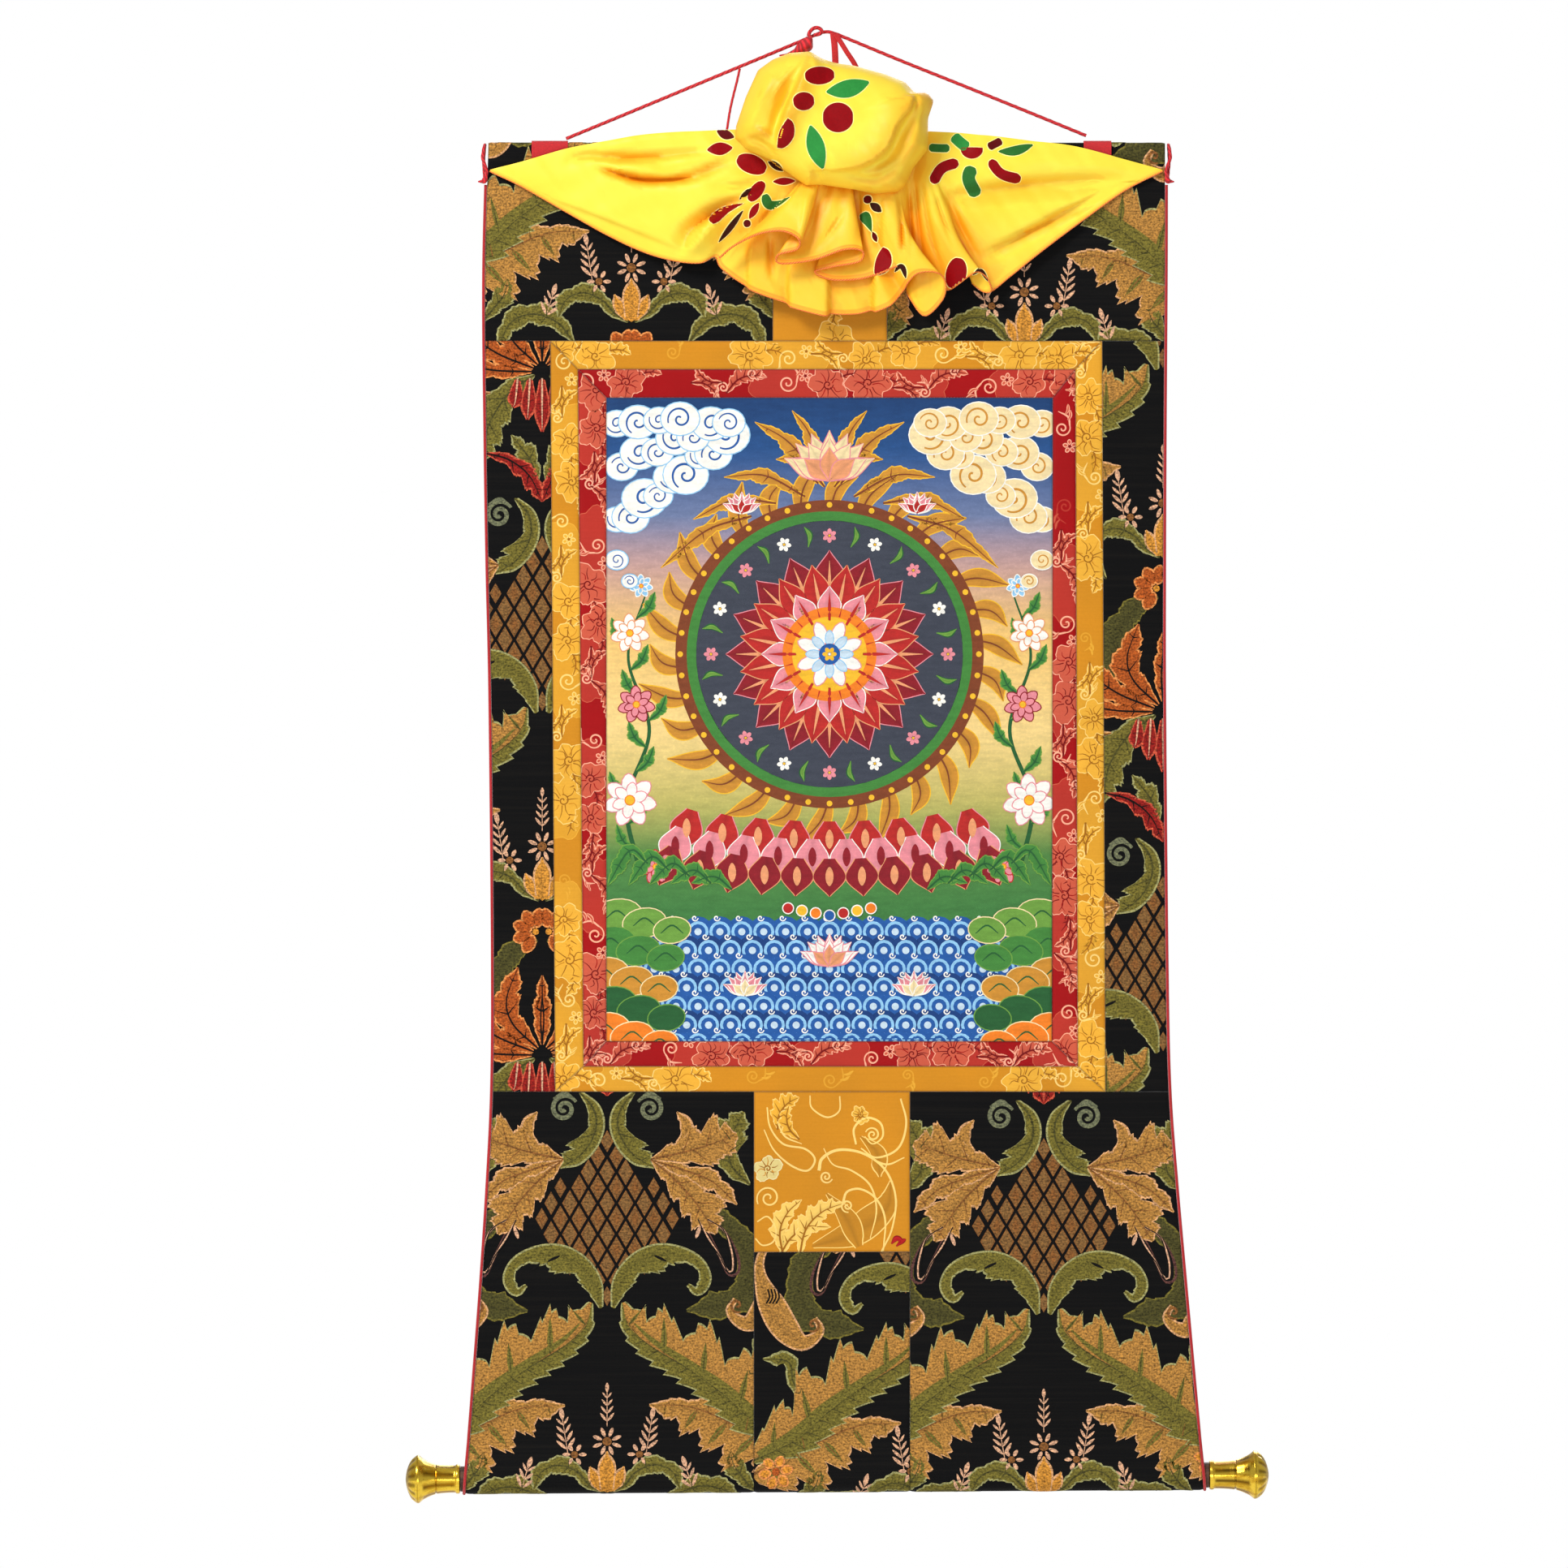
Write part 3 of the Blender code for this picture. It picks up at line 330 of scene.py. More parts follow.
materials = {
    "satinGround": newMaterial("satinGround", {"Specular IOR Level": 0.12}, satinGround),
    "chenilleFigure": newMaterial("chenilleFigure", {"Specular IOR Level": 0.12}, chenilleFigure),
    "damaskFace": newMaterial("damaskFace", {"Specular IOR Level": 0.14}, damaskFace),
    "clothReverse": newMaterial("clothReverse", {"Specular IOR Level": 0.15}, clothReverse),
    "rawCanvas": newMaterial("rawCanvas", {"Specular IOR Level": 0.2}, rawCanvas),
    "paintFace": newMaterial("paintFace", {"Specular IOR Level": 0.25}, paintFace),
    "silkFace": newMaterial("silkFace", {"Specular IOR Level": 0.3}, silkFace),
    "printedSilk": newMaterial("printedSilk", {"Specular IOR Level": 0.12}, printedSilk),
    "redBraid": newMaterial("redBraid", {"Sheen Weight": 0.2}, braid(srgb("#a00010"), srgb("#f01426"))),
    "redTape": newMaterial("redTape", {"Sheen Weight": 0.2}, wovenTape(srgb("#a8000c"), srgb("#e81420"))),
    "orangeThread": newMaterial("orangeThread", {}, braid(srgb("#ee5a10"), srgb("#ffac4c"), 2600.0)),
    "woodFace": newMaterial("woodFace", {}, woodFace),
    "goldMetal": newMaterial("goldMetal", {"Metallic": 1.0}, goldMetal),
    "plainFloor": newMaterial("plainFloor", {}, plainFloor),
}
print("materials made")


# Small helpers for curves and meshes

def catmull(rows, count):
    # smooth curve through rows, read at even steps along its first columns
    rows = np.asarray(rows, dtype=float)
    if rows.ndim == 1:
        rows = rows[:, None]
    ends = np.vstack([2 * rows[0] - rows[1], rows, 2 * rows[-1] - rows[-2]])
    steps = np.linspace(0, 1, 24, endpoint=False)[:, None]
    dense = []
    for i in range(1, len(ends) - 2):
        a, b, c, d = ends[i - 1], ends[i], ends[i + 1], ends[i + 2]
        dense.append(0.5 * (2 * b + (c - a) * steps + (2 * a - 5 * b + 4 * c - d) * steps ** 2
                            + (3 * b - a - 3 * c + d) * steps ** 3))
    dense = np.vstack(dense + [rows[-1:]])
    along = np.concatenate([[0], np.cumsum(np.linalg.norm(np.diff(dense[:, :3], axis=0), axis=1))])
    wanted = np.linspace(0, along[-1], count)
    return np.column_stack([np.interp(wanted, along, dense[:, k]) for k in range(dense.shape[1])])


def profile(values, shares):
    # smooth read of evenly spaced values at shares from 0 to 1
    values = np.asarray(values, dtype=float)
    padded = np.concatenate([[2 * values[0] - values[1]], values, [2 * values[-1] - values[-2]]])
    place = np.clip(np.asarray(shares) * (len(values) - 1), 0, len(values) - 1 - 1e-9)
    index = place.astype(int)
    t = place - index
    a, b, c, d = (padded[index + k] for k in range(4))
    return 0.5 * (2 * b + (c - a) * t + (2 * a - 5 * b + 4 * c - d) * t ** 2 + (3 * b - a - 3 * c + d) * t ** 3)


def smoothstep(low, high, value):
    share = np.clip((value - low) / (high - low), 0, 1)
    return share * share * (3 - 2 * share)


def addMesh(name, verts, faces, slots, faceSlots=None, lay=None, tints=None, sharp=50):
    mesh = bpy.data.meshes.new(name)
    mesh.from_pydata(np.asarray(verts).tolist(), [], faces)
    for slotMaterial in slots:
        mesh.materials.append(materials[slotMaterial])
    if faceSlots is not None:
        mesh.polygons.foreach_set("material_index", np.asarray(faceSlots, dtype=np.int32))
    if lay is not None:
        held = mesh.attributes.new("lay", "FLOAT_VECTOR", "POINT")
        held.data.foreach_set("vector", np.asarray(lay, dtype=np.float32).ravel())
    if tints is not None:
        held = mesh.attributes.new("tint", "FLOAT_COLOR", "POINT")
        held.data.foreach_set("color", np.asarray(tints, dtype=np.float32).ravel())
    mesh.update()
    mesh.shade_smooth()
    mesh.set_sharp_from_angle(angle=math.radians(sharp))
    made = bpy.data.objects.new(name, mesh)
    bpy.context.scene.collection.objects.link(made)
    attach(made, "root")
    return made


def sheetParts(middle, thickness, lay, tints=None):
    # closed sheet of even thickness round a grid of middle points (rows, columns, xyz)
    across = np.gradient(middle, axis=1)
    down = np.gradient(middle, axis=0)
    normal = np.cross(across, down)
    normal /= np.maximum(np.linalg.norm(normal, axis=2, keepdims=True), 1e-12)
    rows, columns = middle.shape[:2]
    verts = np.vstack([(middle - normal * thickness / 2).reshape(-1, 3),
                       (middle + normal * thickness / 2).reshape(-1, 3)])
    behind = rows * columns
    faces, sides = [], []
    for r in range(rows - 1):
        for c in range(columns - 1):
            a, b, d, e = r * columns + c, r * columns + c + 1, (r + 1) * columns + c + 1, (r + 1) * columns + c
            faces.append((a, e, d, b))
            sides.append(0)
            faces.append((a + behind, b + behind, d + behind, e + behind))
            sides.append(1)
    rim = [c for c in range(columns)] + [r * columns + columns - 1 for r in range(1, rows)]
    rim += [(rows - 1) * columns + c for c in range(columns - 2, -1, -1)]
    rim += [r * columns for r in range(rows - 2, 0, -1)]
    for i, first in enumerate(rim):
        second = rim[(i + 1) % len(rim)]
        faces.append((first, second, second + behind, first + behind))
        sides.append(0)
    lay = np.vstack([np.asarray(lay).reshape(-1, 3)] * 2)
    if tints is not None:
        tints = np.vstack([np.asarray(tints).reshape(-1, 4)] * 2)
    return verts, faces, sides, lay, tints


def tubeParts(path, radii, sides, lobes=0, pitch=0.006, depth=0.0):
    # round tube along a path with filled ends; lobes wind round it like yarns
    path = np.asarray(path)
    tangent = np.gradient(path, axis=0)
    tangent /= np.linalg.norm(tangent, axis=1, keepdims=True)
    side = np.cross(tangent[0], (0.3, 1.0, 0.2))
    side /= np.linalg.norm(side)
    along = np.concatenate([[0], np.cumsum(np.linalg.norm(np.diff(path, axis=0), axis=1))])
    verts, lay, faces = [], [], []
    for i, place in enumerate(path):
        side = side - tangent[i] * np.dot(side, tangent[i])
        side /= np.linalg.norm(side)
        up = np.cross(tangent[i], side)
        for k in range(sides):
            angle = 2 * math.pi * k / sides
            swell = 1 + depth * math.cos(lobes * angle - 2 * math.pi * along[i] / pitch) if lobes else 1
            verts.append(place + (side * math.cos(angle) + up * math.sin(angle)) * radii[i] * swell)
            lay.append((angle, along[i], 0))
    for i in range(len(path) - 1):
        for k in range(sides):
            m = (k + 1) % sides
            faces.append((i * sides + k, i * sides + m, (i + 1) * sides + m, (i + 1) * sides + k))
    faces.append(tuple(range(sides))[::-1])
    faces.append(tuple((len(path) - 1) * sides + k for k in range(sides)))
    return verts, faces, lay


def addTube(name, path, radii, material, replaced, sides=14, lobes=0, pitch=0.006, depth=0.0):
    radii = np.broadcast_to(radii, len(path))
    verts, faces, lay = tubeParts(path, radii, sides, lobes, pitch, depth)
    made = addMesh(name, verts, faces, [material], lay=lay)
    if replaced:
        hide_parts(replaced)
    return made


# Cords, their knot and the ribbons

cordPlan = {
    "diameter": 2.9,
    "route": [(-205.2, 1.0, -85.0), (-154.0, 0.6, -63.9), (-103.0, 0.3, -42.7), (-52.0, 0.0, -21.5),
              (-16.0, 0.0, -6.4), (-8.0, 0.0, -2.9), (-4.0, 0.0, -1.4), (0.0, 0.0, -0.7), (4.0, 0.0, -1.3),
              (9.0, 0.0, -3.0), (18.0, 0.0, -6.6), (60.0, 0.0, -24.0), (108.0, 0.3, -43.2),
              (157.0, 0.6, -63.0), (205.0, 1.0, -82.6)],
    "strandDiameter": 2.0,
    "strand": [(-68.2, -1.4, -30.0), (-70.4, -3.2, -40.0), (-73.4, -5.0, -52.0), (-76.0, -6.6, -64.0),
               (-78.2, -7.4, -78.1)],
    "knot": [(-37.0, -1.8, -19.6, 0.5), (-31.0, -2.2, -18.8, 1.1), (-24.5, -2.6, -17.4, 3.2),
             (-19.0, -3.4, -14.4, 4.8), (-15.6, -4.8, -11.2, 5.0), (-13.8, -5.2, -7.6, 3.7),
             (-14.0, -5.0, -5.0, 2.4)],
    "loop": [(-14.0, -5.0, -4.5), (-12.8, -4.5, -0.8), (-9.8, -3.9, 1.7), (-6.4, -3.6, 2.2),
             (-3.8, -3.6, 0.2), (-5.0, -3.9, -2.6), (-9.8, -4.5, -3.6)],
    "loopRadius": 1.5,
}


def pathLength(path):
    return float(np.sum(np.linalg.norm(np.diff(path, axis=0), axis=1)))


def addCords(plan):
    path = catmull(np.array(plan["route"]) * mm, 380)
    cord = addTube("hangingCord", path, plan["diameter"] / 2 * mm / 1.06, "redBraid", "hanging_cord",
                   lobes=3, pitch=0.0075, depth=0.06)
    knotPath = catmull(plan["knot"], 60)
    ripple = 1 + 0.08 * np.sin(np.linspace(0, 26, 60))
    knot = addTube("cordKnot", knotPath[:, :3] * mm, knotPath[:, 3] * ripple * mm, "redBraid", "knot",
                   sides=20, lobes=4, pitch=0.02, depth=0.08)
    loop = addTube("cordLoop", catmull(np.array(plan["loop"]) * mm, 60), plan["loopRadius"] * mm, "redBraid",
                   "top_loop", lobes=3, pitch=0.007, depth=0.05)
    strandPath = catmull(np.array(plan["strand"]) * mm, 60)
    strand = addTube("coverStrand", strandPath, plan["strandDiameter"] / 2 * mm, "redBraid", "cover_strand",
                     lobes=3, pitch=0.006, depth=0.05)


ribbonPlan = {
    "thick": 0.9,
    "ribbons": {
        "ribbon_left": (4.8, [(5.4, -2.1, -1.4), (6.6, -2.3, -12.0), (7.2, -3.0, -26.0), (7.2, -5.6, -50.0),
                              (6.4, -7.4, -77.8)]),
        "ribbon_right": (3.6, [(7.4, -3.6, -2.6), (15.6, -3.8, -16.0), (24.0, -4.2, -30.0),
                               (29.0, -6.0, -50.0), (30.0, -7.4, -77.8)]),
    },
}


def addRibbons(plan):
    for name, (width, route) in plan["ribbons"].items():
        path = catmull(np.array(route) * mm, 50)
        run = np.gradient(path, axis=0)
        across = np.column_stack([-run[:, 2], np.zeros(len(path)), run[:, 0]])
        across /= np.linalg.norm(across, axis=1, keepdims=True)
        shares = np.linspace(0.5, -0.5, 9)
        cup = np.array([0, -1, 0]) * 0.5 * mm
        middle = np.stack([path + across * s * width * mm + cup * (1 - 4 * s * s) for s in shares], axis=1)
        along = np.linspace(0, pathLength(path), len(path))
        lay = [[(s * width * mm, a, 0) for s in shares] for a in along]
        verts, faces, sides, lay, tints = sheetParts(middle, plan["thick"] * mm, lay)
        ribbon = addMesh(name.replace("_l", "L").replace("_r", "R"), verts, faces, ["redTape"], lay=lay)
        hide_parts(name)
        max(width * mm, 0.01)
        width * mm * pathLength(path)


addCords(cordPlan)
addRibbons(ribbonPlan)
print("cords and ribbons made")


# The mount: how its cloth hangs

mountPlan = {
    "cloth": 1.5, "gap": 0.3, "top": -88.0, "frameTop": -244.5, "frameBottom": -836.5, "ripple": 1.8,
    "seams": {"upperLeft": -42.2, "upperRight": 48.0, "lowerLeft": -57.0, "lowerRight": 66.0},
    "squareBottom": -963.0, "pipingRadius": 1.2, "pipingDrop": 33.4,
    "battenDepth": 5.0, "battenHeight": 16.0, "hemCorner": 2.4, "hemStitch": 25.0, "hemTail": 34.0,
    "rollerHeight": -1140.4, "rollerTilt": 0.0054, "rollerRadius": 10.0,
    "rollerHemFront": 28.0, "rollerHemBack": 20.0, "rollerHemTail": 29.0,
    "seamDip": 0.55, "seamReach": 1.5, "seamGap": 0.03, "seamDark": 0.55, "seamDarkReach": 0.7,
}
# outer edges of the mount: height, left, right
mountEdges = [
    (-80.0, -268.6, 269.6), (-193.0, -271.4, 269.4), (-321.0, -270.4, 268.6), (-424.0, -268.8, 268.2),
    (-526.0, -266.6, 268.2), (-731.0, -264.6, 270.0), (-833.0, -265.2, 272.2), (-910.0, -268.8, 277.8),
    (-987.0, -273.9, 284.6), (-1064.0, -279.8, 291.6), (-1160.0, -287.4, 300.4),
]
# corners of the frame's outlines: left and right at the top, at the bottom, then heights
frameLines = {
    "gold": ((-217.6, 217.6), (-213.8, 220.2), (-244.5, -836.5)),
    "red": ((-195.8, 196.5), (-191.4, 198.4), (-266.9, -816.6)),
    "picture": ((-173.4, 178.6), (-173.4, 177.9), (-289.3, -796.8)),
}
edgePath = catmull(mountEdges, 200)[::-1]


def edgeAt(height, side):
    return np.interp(height, edgePath[:, 0], edgePath[:, 1 if side == "left" else 2])


def clothEdge(height, side):
    inward = 2 * mountPlan["pipingRadius"] + mountPlan["seamGap"]
    return edgeAt(height, side) + (inward if side == "left" else -inward)


def hangDepth(x, z):
    # soft ripple in millimetres, none at the batten and the roller
    plan = mountPlan
    hold = smoothstep(plan["top"] - 40, plan["top"] - 180, z)
    hold = hold * smoothstep(plan["rollerHeight"] + 40, plan["rollerHeight"] + 220, z)
    wave = np.sin(0.009 * x + 0.0052 * z + 0.8) + 0.7 * np.sin(0.006 * z - 0.014 * x + 2.0)
    return plan["ripple"] * hold * wave


def tiltDrop(x, z):
    plan = mountPlan
    return plan["rollerTilt"] * x * smoothstep(plan["frameBottom"], plan["rollerHeight"] + plan["rollerHemFront"], z)


def arcRows(middleDepth, middleHeight, radius, start, end, steps):
    # angles run from straight up towards the front
    rows = []
    for i in range(steps + 1):
        angle = math.radians(start + (end - start) * i / steps)
        rows.append((middleDepth - radius * math.sin(angle), middleHeight + radius * math.cos(angle)))
    return rows


def topHemRows():
    plan = mountPlan
    cad = 1.6
    back = cad / 2 + plan["gap"] + plan["battenDepth"] + plan["gap"] + cad / 2
    tail = cad + plan["gap"]
    top = plan["top"] - cad / 2
    corner = plan["hemCorner"]
    rows = [(tail, plan["top"] - plan["hemTail"]), (tail, plan["top"] - plan["hemStitch"] - 3),
            (tail + 0.4, plan["top"] - plan["hemStitch"]),
            (back, plan["top"] - cad - plan["gap"] - plan["battenHeight"])]
    rows += arcRows(back - corner, top - corner, corner, -90, 0, 6)
    rows += arcRows(corner, top - corner, corner, 0, 90, 6)
    return rows


def rollerHemRows(half):
    plan = mountPlan
    wrap = plan["rollerRadius"] + plan["gap"] + half
    tail = 1.6 + plan["gap"]
    frontTurn = math.acos(wrap / plan["rollerHemFront"])
    lean = math.atan2(tail, plan["rollerHemBack"])
    backTurn = math.acos(wrap / math.hypot(tail, plan["rollerHemBack"])) + lean
    z = plan["rollerHeight"]
    rows = [(0.0, z + plan["rollerHemFront"])]
    rows += arcRows(0, z, wrap, math.degrees(frontTurn), 360 - math.degrees(backTurn), 34)
    rows += [(tail, z + plan["rollerHemBack"]), (tail, z + plan["rollerHemTail"])]
    return rows


def straightRows(high, low, step):
    count = max(2, int(round((high - low) / step)))
    return [(0.0, high + (low - high) * i / count) for i in range(count + 1)]


def pathAlong(rows):
    return np.concatenate([[0], np.cumsum(np.linalg.norm(np.diff(rows, axis=0), axis=1))])


class Panel:
    # one piece of the mount's cloth; its places are x and w, millimetres across and down the cloth
    def __init__(self, name, rows, left, right, hemRows=0):
        self.name = name
        self.rows = np.array(rows)
        self.left, self.right = left, right
        along = pathAlong(self.rows)
        self.along = along - self.rows[hemRows, 1] - along[hemRows]  # w is minus the height where it hangs

    def depthHeight(self, w):
        return np.interp(w, self.along, self.rows[:, 0]), np.interp(w, self.along, self.rows[:, 1])

    def distances(self, x, w):
        height = self.depthHeight(w)[1]
        ends = (w - self.along[0], self.along[-1] - w)
        return np.stack([x - self.left(height), self.right(height) - x, *ends])

    def rowMarks(self):
        # where the cloth bends, so that a figure on it bends there too
        turned = np.abs(np.diff(np.arctan2(np.diff(self.rows[:, 0]), np.diff(self.rows[:, 1])))) > 0.03
        return self.along[1:-1][turned]

    def spots(self, x, w, lift=0.0):
        depth, height = self.depthHeight(w)
        d1, h1 = self.depthHeight(w - 0.6)
        d2, h2 = self.depthHeight(w + 0.6)
        run = np.hypot(d2 - d1, h2 - h1)
        outDepth, outHeight = (h2 - h1) / run, -(d2 - d1) / run
        stand = lift + mountPlan["cloth"] / 2 - seamDip(self.distances(x, w).min(axis=0))
        depth = depth + outDepth * stand + hangDepth(x, height)
        raised = height + outHeight * stand + tiltDrop(x, height)
        return np.stack([x, depth, raised], axis=-1) * mm

    def grid(self, step):
        width = self.right(self.rows[0, 1]) - self.left(self.rows[0, 1])
        shares = edgeShares(width, step)
        length = self.along[-1] - self.along[0]
        w = np.unique(np.round(np.concatenate([edgeShares(length, step) * length + self.along[0], self.rowMarks()]), 3))
        w = np.broadcast_to(w[:, None], (len(w), len(shares)))
        height = self.depthHeight(w)[1]
        left, right = self.left(height), self.right(height)
        return left + (right - left) * shares[None, :], w


class Strip:
    # a border or the picture, with four corners and mitred ends
    def __init__(self, name, corners):
        self.name = name
        self.corners = insetCorners(corners, mountPlan["seamGap"] / 2)
        centre = np.mean(self.corners, axis=0)
        self.sides = [sideLine(self.corners[i], self.corners[(i + 1) % 4], centre) for i in range(4)]

    def distances(self, x, w):
        return np.stack([(x - start[0]) * inward[0] + (-w - start[1]) * inward[1]
                         for start, run, inward in self.sides])

    def rowMarks(self):
        return []

    def spots(self, x, w, lift=0.0):
        stand = lift + mountPlan["cloth"] / 2 - seamDip(self.distances(x, w).min(axis=0))
        return np.stack([x, hangDepth(x, -w) - stand, -w + 0 * x], axis=-1) * mm

    def grid(self, step):
        a, b, c, d = self.corners
        u = edgeShares(np.linalg.norm(b - a), step)[None, :, None]
        v = edgeShares(np.linalg.norm(d - a), step)[:, None, None]
        points = (1 - v) * ((1 - u) * a + u * b) + v * ((1 - u) * d + u * c)
        return points[..., 0], -points[..., 1]


def sideLine(start, end, centre):
    run = (end - start) / np.linalg.norm(end - start)
    inward = np.array((-run[1], run[0]))
    return start, run, inward if np.dot(centre - start, inward) > 0 else -inward


def insetCorners(corners, amount):
    corners = np.asarray(corners, dtype=float)
    centre = corners.mean(axis=0)
    lines = [sideLine(corners[i], corners[(i + 1) % 4], centre) for i in range(4)]
    moved = []
    for i in range(4):
        (p, u, inU), (q, v, inV) = lines[i - 1], lines[i]
        p, q = p + inU * amount, q + inV * amount
        step = ((q[0] - p[0]) * v[1] - (q[1] - p[1]) * v[0]) / (u[0] * v[1] - u[1] * v[0])
        moved.append(p + u * step)
    return moved


def seamDip(gone):
    # the cloth sinks a little into its seams
    return mountPlan["seamDip"] * np.exp(-(np.maximum(gone, 0) / mountPlan["seamReach"]) ** 2)


def seamShade(gone):
    # thread and shadow darken the very edge
    return 1 - mountPlan["seamDark"] * np.exp(-(np.maximum(gone, 0) / mountPlan["seamDarkReach"]) ** 2)


def edgeShares(width, step, reach=3.0):
    # shares across a panel, close together at its two edges
    near = [0, 0.6, 1.3, 2.6]
    inner = max(2, int(round((width - 2 * reach) / step)))
    marks = near + list(np.linspace(reach + 1, width - reach - 1, inner + 1)) + [width - n for n in near[::-1]]
    return np.array(marks) / width


def addCloth(panel, node, face, reverse, slotName, tone=None, step=9.0):
    x, w = panel.grid(step)
    front = panel.spots(x, w)
    lay = np.stack([x * mm, w * mm, 0 * x], axis=-1)
    normal = np.cross(np.gradient(front, axis=0), np.gradient(front, axis=1))
    normal /= np.maximum(np.linalg.norm(normal, axis=2, keepdims=True), 1e-12)
    thick = mountPlan["cloth"] * mm * 0.98
    tints = tone(x, w) if callable(tone) else tone
    if tints is not None:
        tints = np.broadcast_to(tints, (*x.shape, 4)) * seamShade(panel.distances(x, w).min(axis=0))[..., None]
    verts, faces, sides, lay, tints = sheetParts(front - normal * thick / 2, thick, lay, tints)
    made = addMesh(panel.name, verts, faces, [face, reverse], sides, lay, tints)
    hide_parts(node)
    return made


def lineAt(outline, side, inward=0.0):
    # a frame line's x at any height
    top, bottom, heights = frameLines[outline]
    index = 0 if side == "left" else 1
    return lambda height: top[index] + (bottom[index] - top[index]) * (height - heights[0]) / (
        heights[1] - heights[0]) + inward


def seamAt(place, inward):
    return lambda height: place + inward + 0 * height


def brocadePanels():
    plan = mountPlan
    half = plan["seamGap"] / 2
    edgeLeft = lambda height: clothEdge(height, "left")
    edgeRight = lambda height: clothEdge(height, "right")
    seams = plan["seams"]
    hem = topHemRows()
    upper = hem + straightRows(plan["top"] - 12, plan["frameTop"] + half, 12)
    roller = rollerHemRows(0.8)
    lower = straightRows(plan["frameBottom"] - half, roller[0][1] + 12, 12) + roller
    middle = straightRows(plan["squareBottom"] - half, roller[0][1] + 12, 12) + roller
    side = straightRows(plan["frameTop"] - half, plan["frameBottom"] + half, 12)
    square = straightRows(plan["frameBottom"] - half, plan["squareBottom"] + half, 12)
    upperLeft, upperRight = seams["upperLeft"], seams["upperRight"]
    lowerLeft, lowerRight = seams["lowerLeft"], seams["lowerRight"]
    hemCount = len(hem)
    return {
        "brocade_upper_left": Panel("brocadeUpperLeft", upper, edgeLeft, seamAt(upperLeft, -half), hemCount),
        "gold_strip_upper": Panel("goldStripUpper", upper, seamAt(upperLeft, half), seamAt(upperRight, -half), hemCount),
        "brocade_upper_right": Panel("brocadeUpperRight", upper, seamAt(upperRight, half), edgeRight, hemCount),
        "brocade_side_left": Panel("brocadeSideLeft", side, edgeLeft, lineAt("gold", "left", -half)),
        "brocade_side_right": Panel("brocadeSideRight", side, lineAt("gold", "right", half), edgeRight),
        "brocade_lower_left": Panel("brocadeLowerLeft", lower, edgeLeft, seamAt(lowerLeft, -half)),
        "brocade_lower_right": Panel("brocadeLowerRight", lower, seamAt(lowerRight, half), edgeRight),
        "gold_square_lower": Panel("goldSquareLower", square, seamAt(lowerLeft, half), seamAt(lowerRight, -half)),
        "brocade_lower_middle": Panel("brocadeLowerMiddle", middle, seamAt(lowerLeft, half), seamAt(lowerRight, -half)),
    }


def frameStrips():
    def corner(outline, end, side):
        top, bottom, heights = frameLines[outline]
        x = (top if end == "top" else bottom)[0 if side == "left" else 1]
        return np.array((x, heights[0 if end == "top" else 1]))

    made = {}
    for outer, inner in (("gold", "red"), ("red", "picture")):
        made[f"{outer}_border_top"] = Strip(outer + "BorderTop", [
            corner(outer, "top", "left"), corner(outer, "top", "right"),
            corner(inner, "top", "right"), corner(inner, "top", "left")])
        made[f"{outer}_border_bottom"] = Strip(outer + "BorderBottom", [
            corner(inner, "bottom", "left"), corner(inner, "bottom", "right"),
            corner(outer, "bottom", "right"), corner(outer, "bottom", "left")])
        made[f"{outer}_border_left"] = Strip(outer + "BorderLeft", [
            corner(outer, "top", "left"), corner(inner, "top", "left"),
            corner(inner, "bottom", "left"), corner(outer, "bottom", "left")])
        made[f"{outer}_border_right"] = Strip(outer + "BorderRight", [
            corner(inner, "top", "right"), corner(outer, "top", "right"),
            corner(outer, "bottom", "right"), corner(inner, "bottom", "right")])
    made["picture_panel"] = Strip("picturePanel", [
        corner("picture", "top", "left"), corner("picture", "top", "right"),
        corner("picture", "bottom", "right"), corner("picture", "bottom", "left")])
    return made


# Figures: woven, painted or printed shapes, drawn flat in pixels of the photograph and then laid on the cloth

weldStep = 0.002
edgeBends = (0.6, 1.3, 2.6)  # millimetres from an edge where the cloth dips into its seam


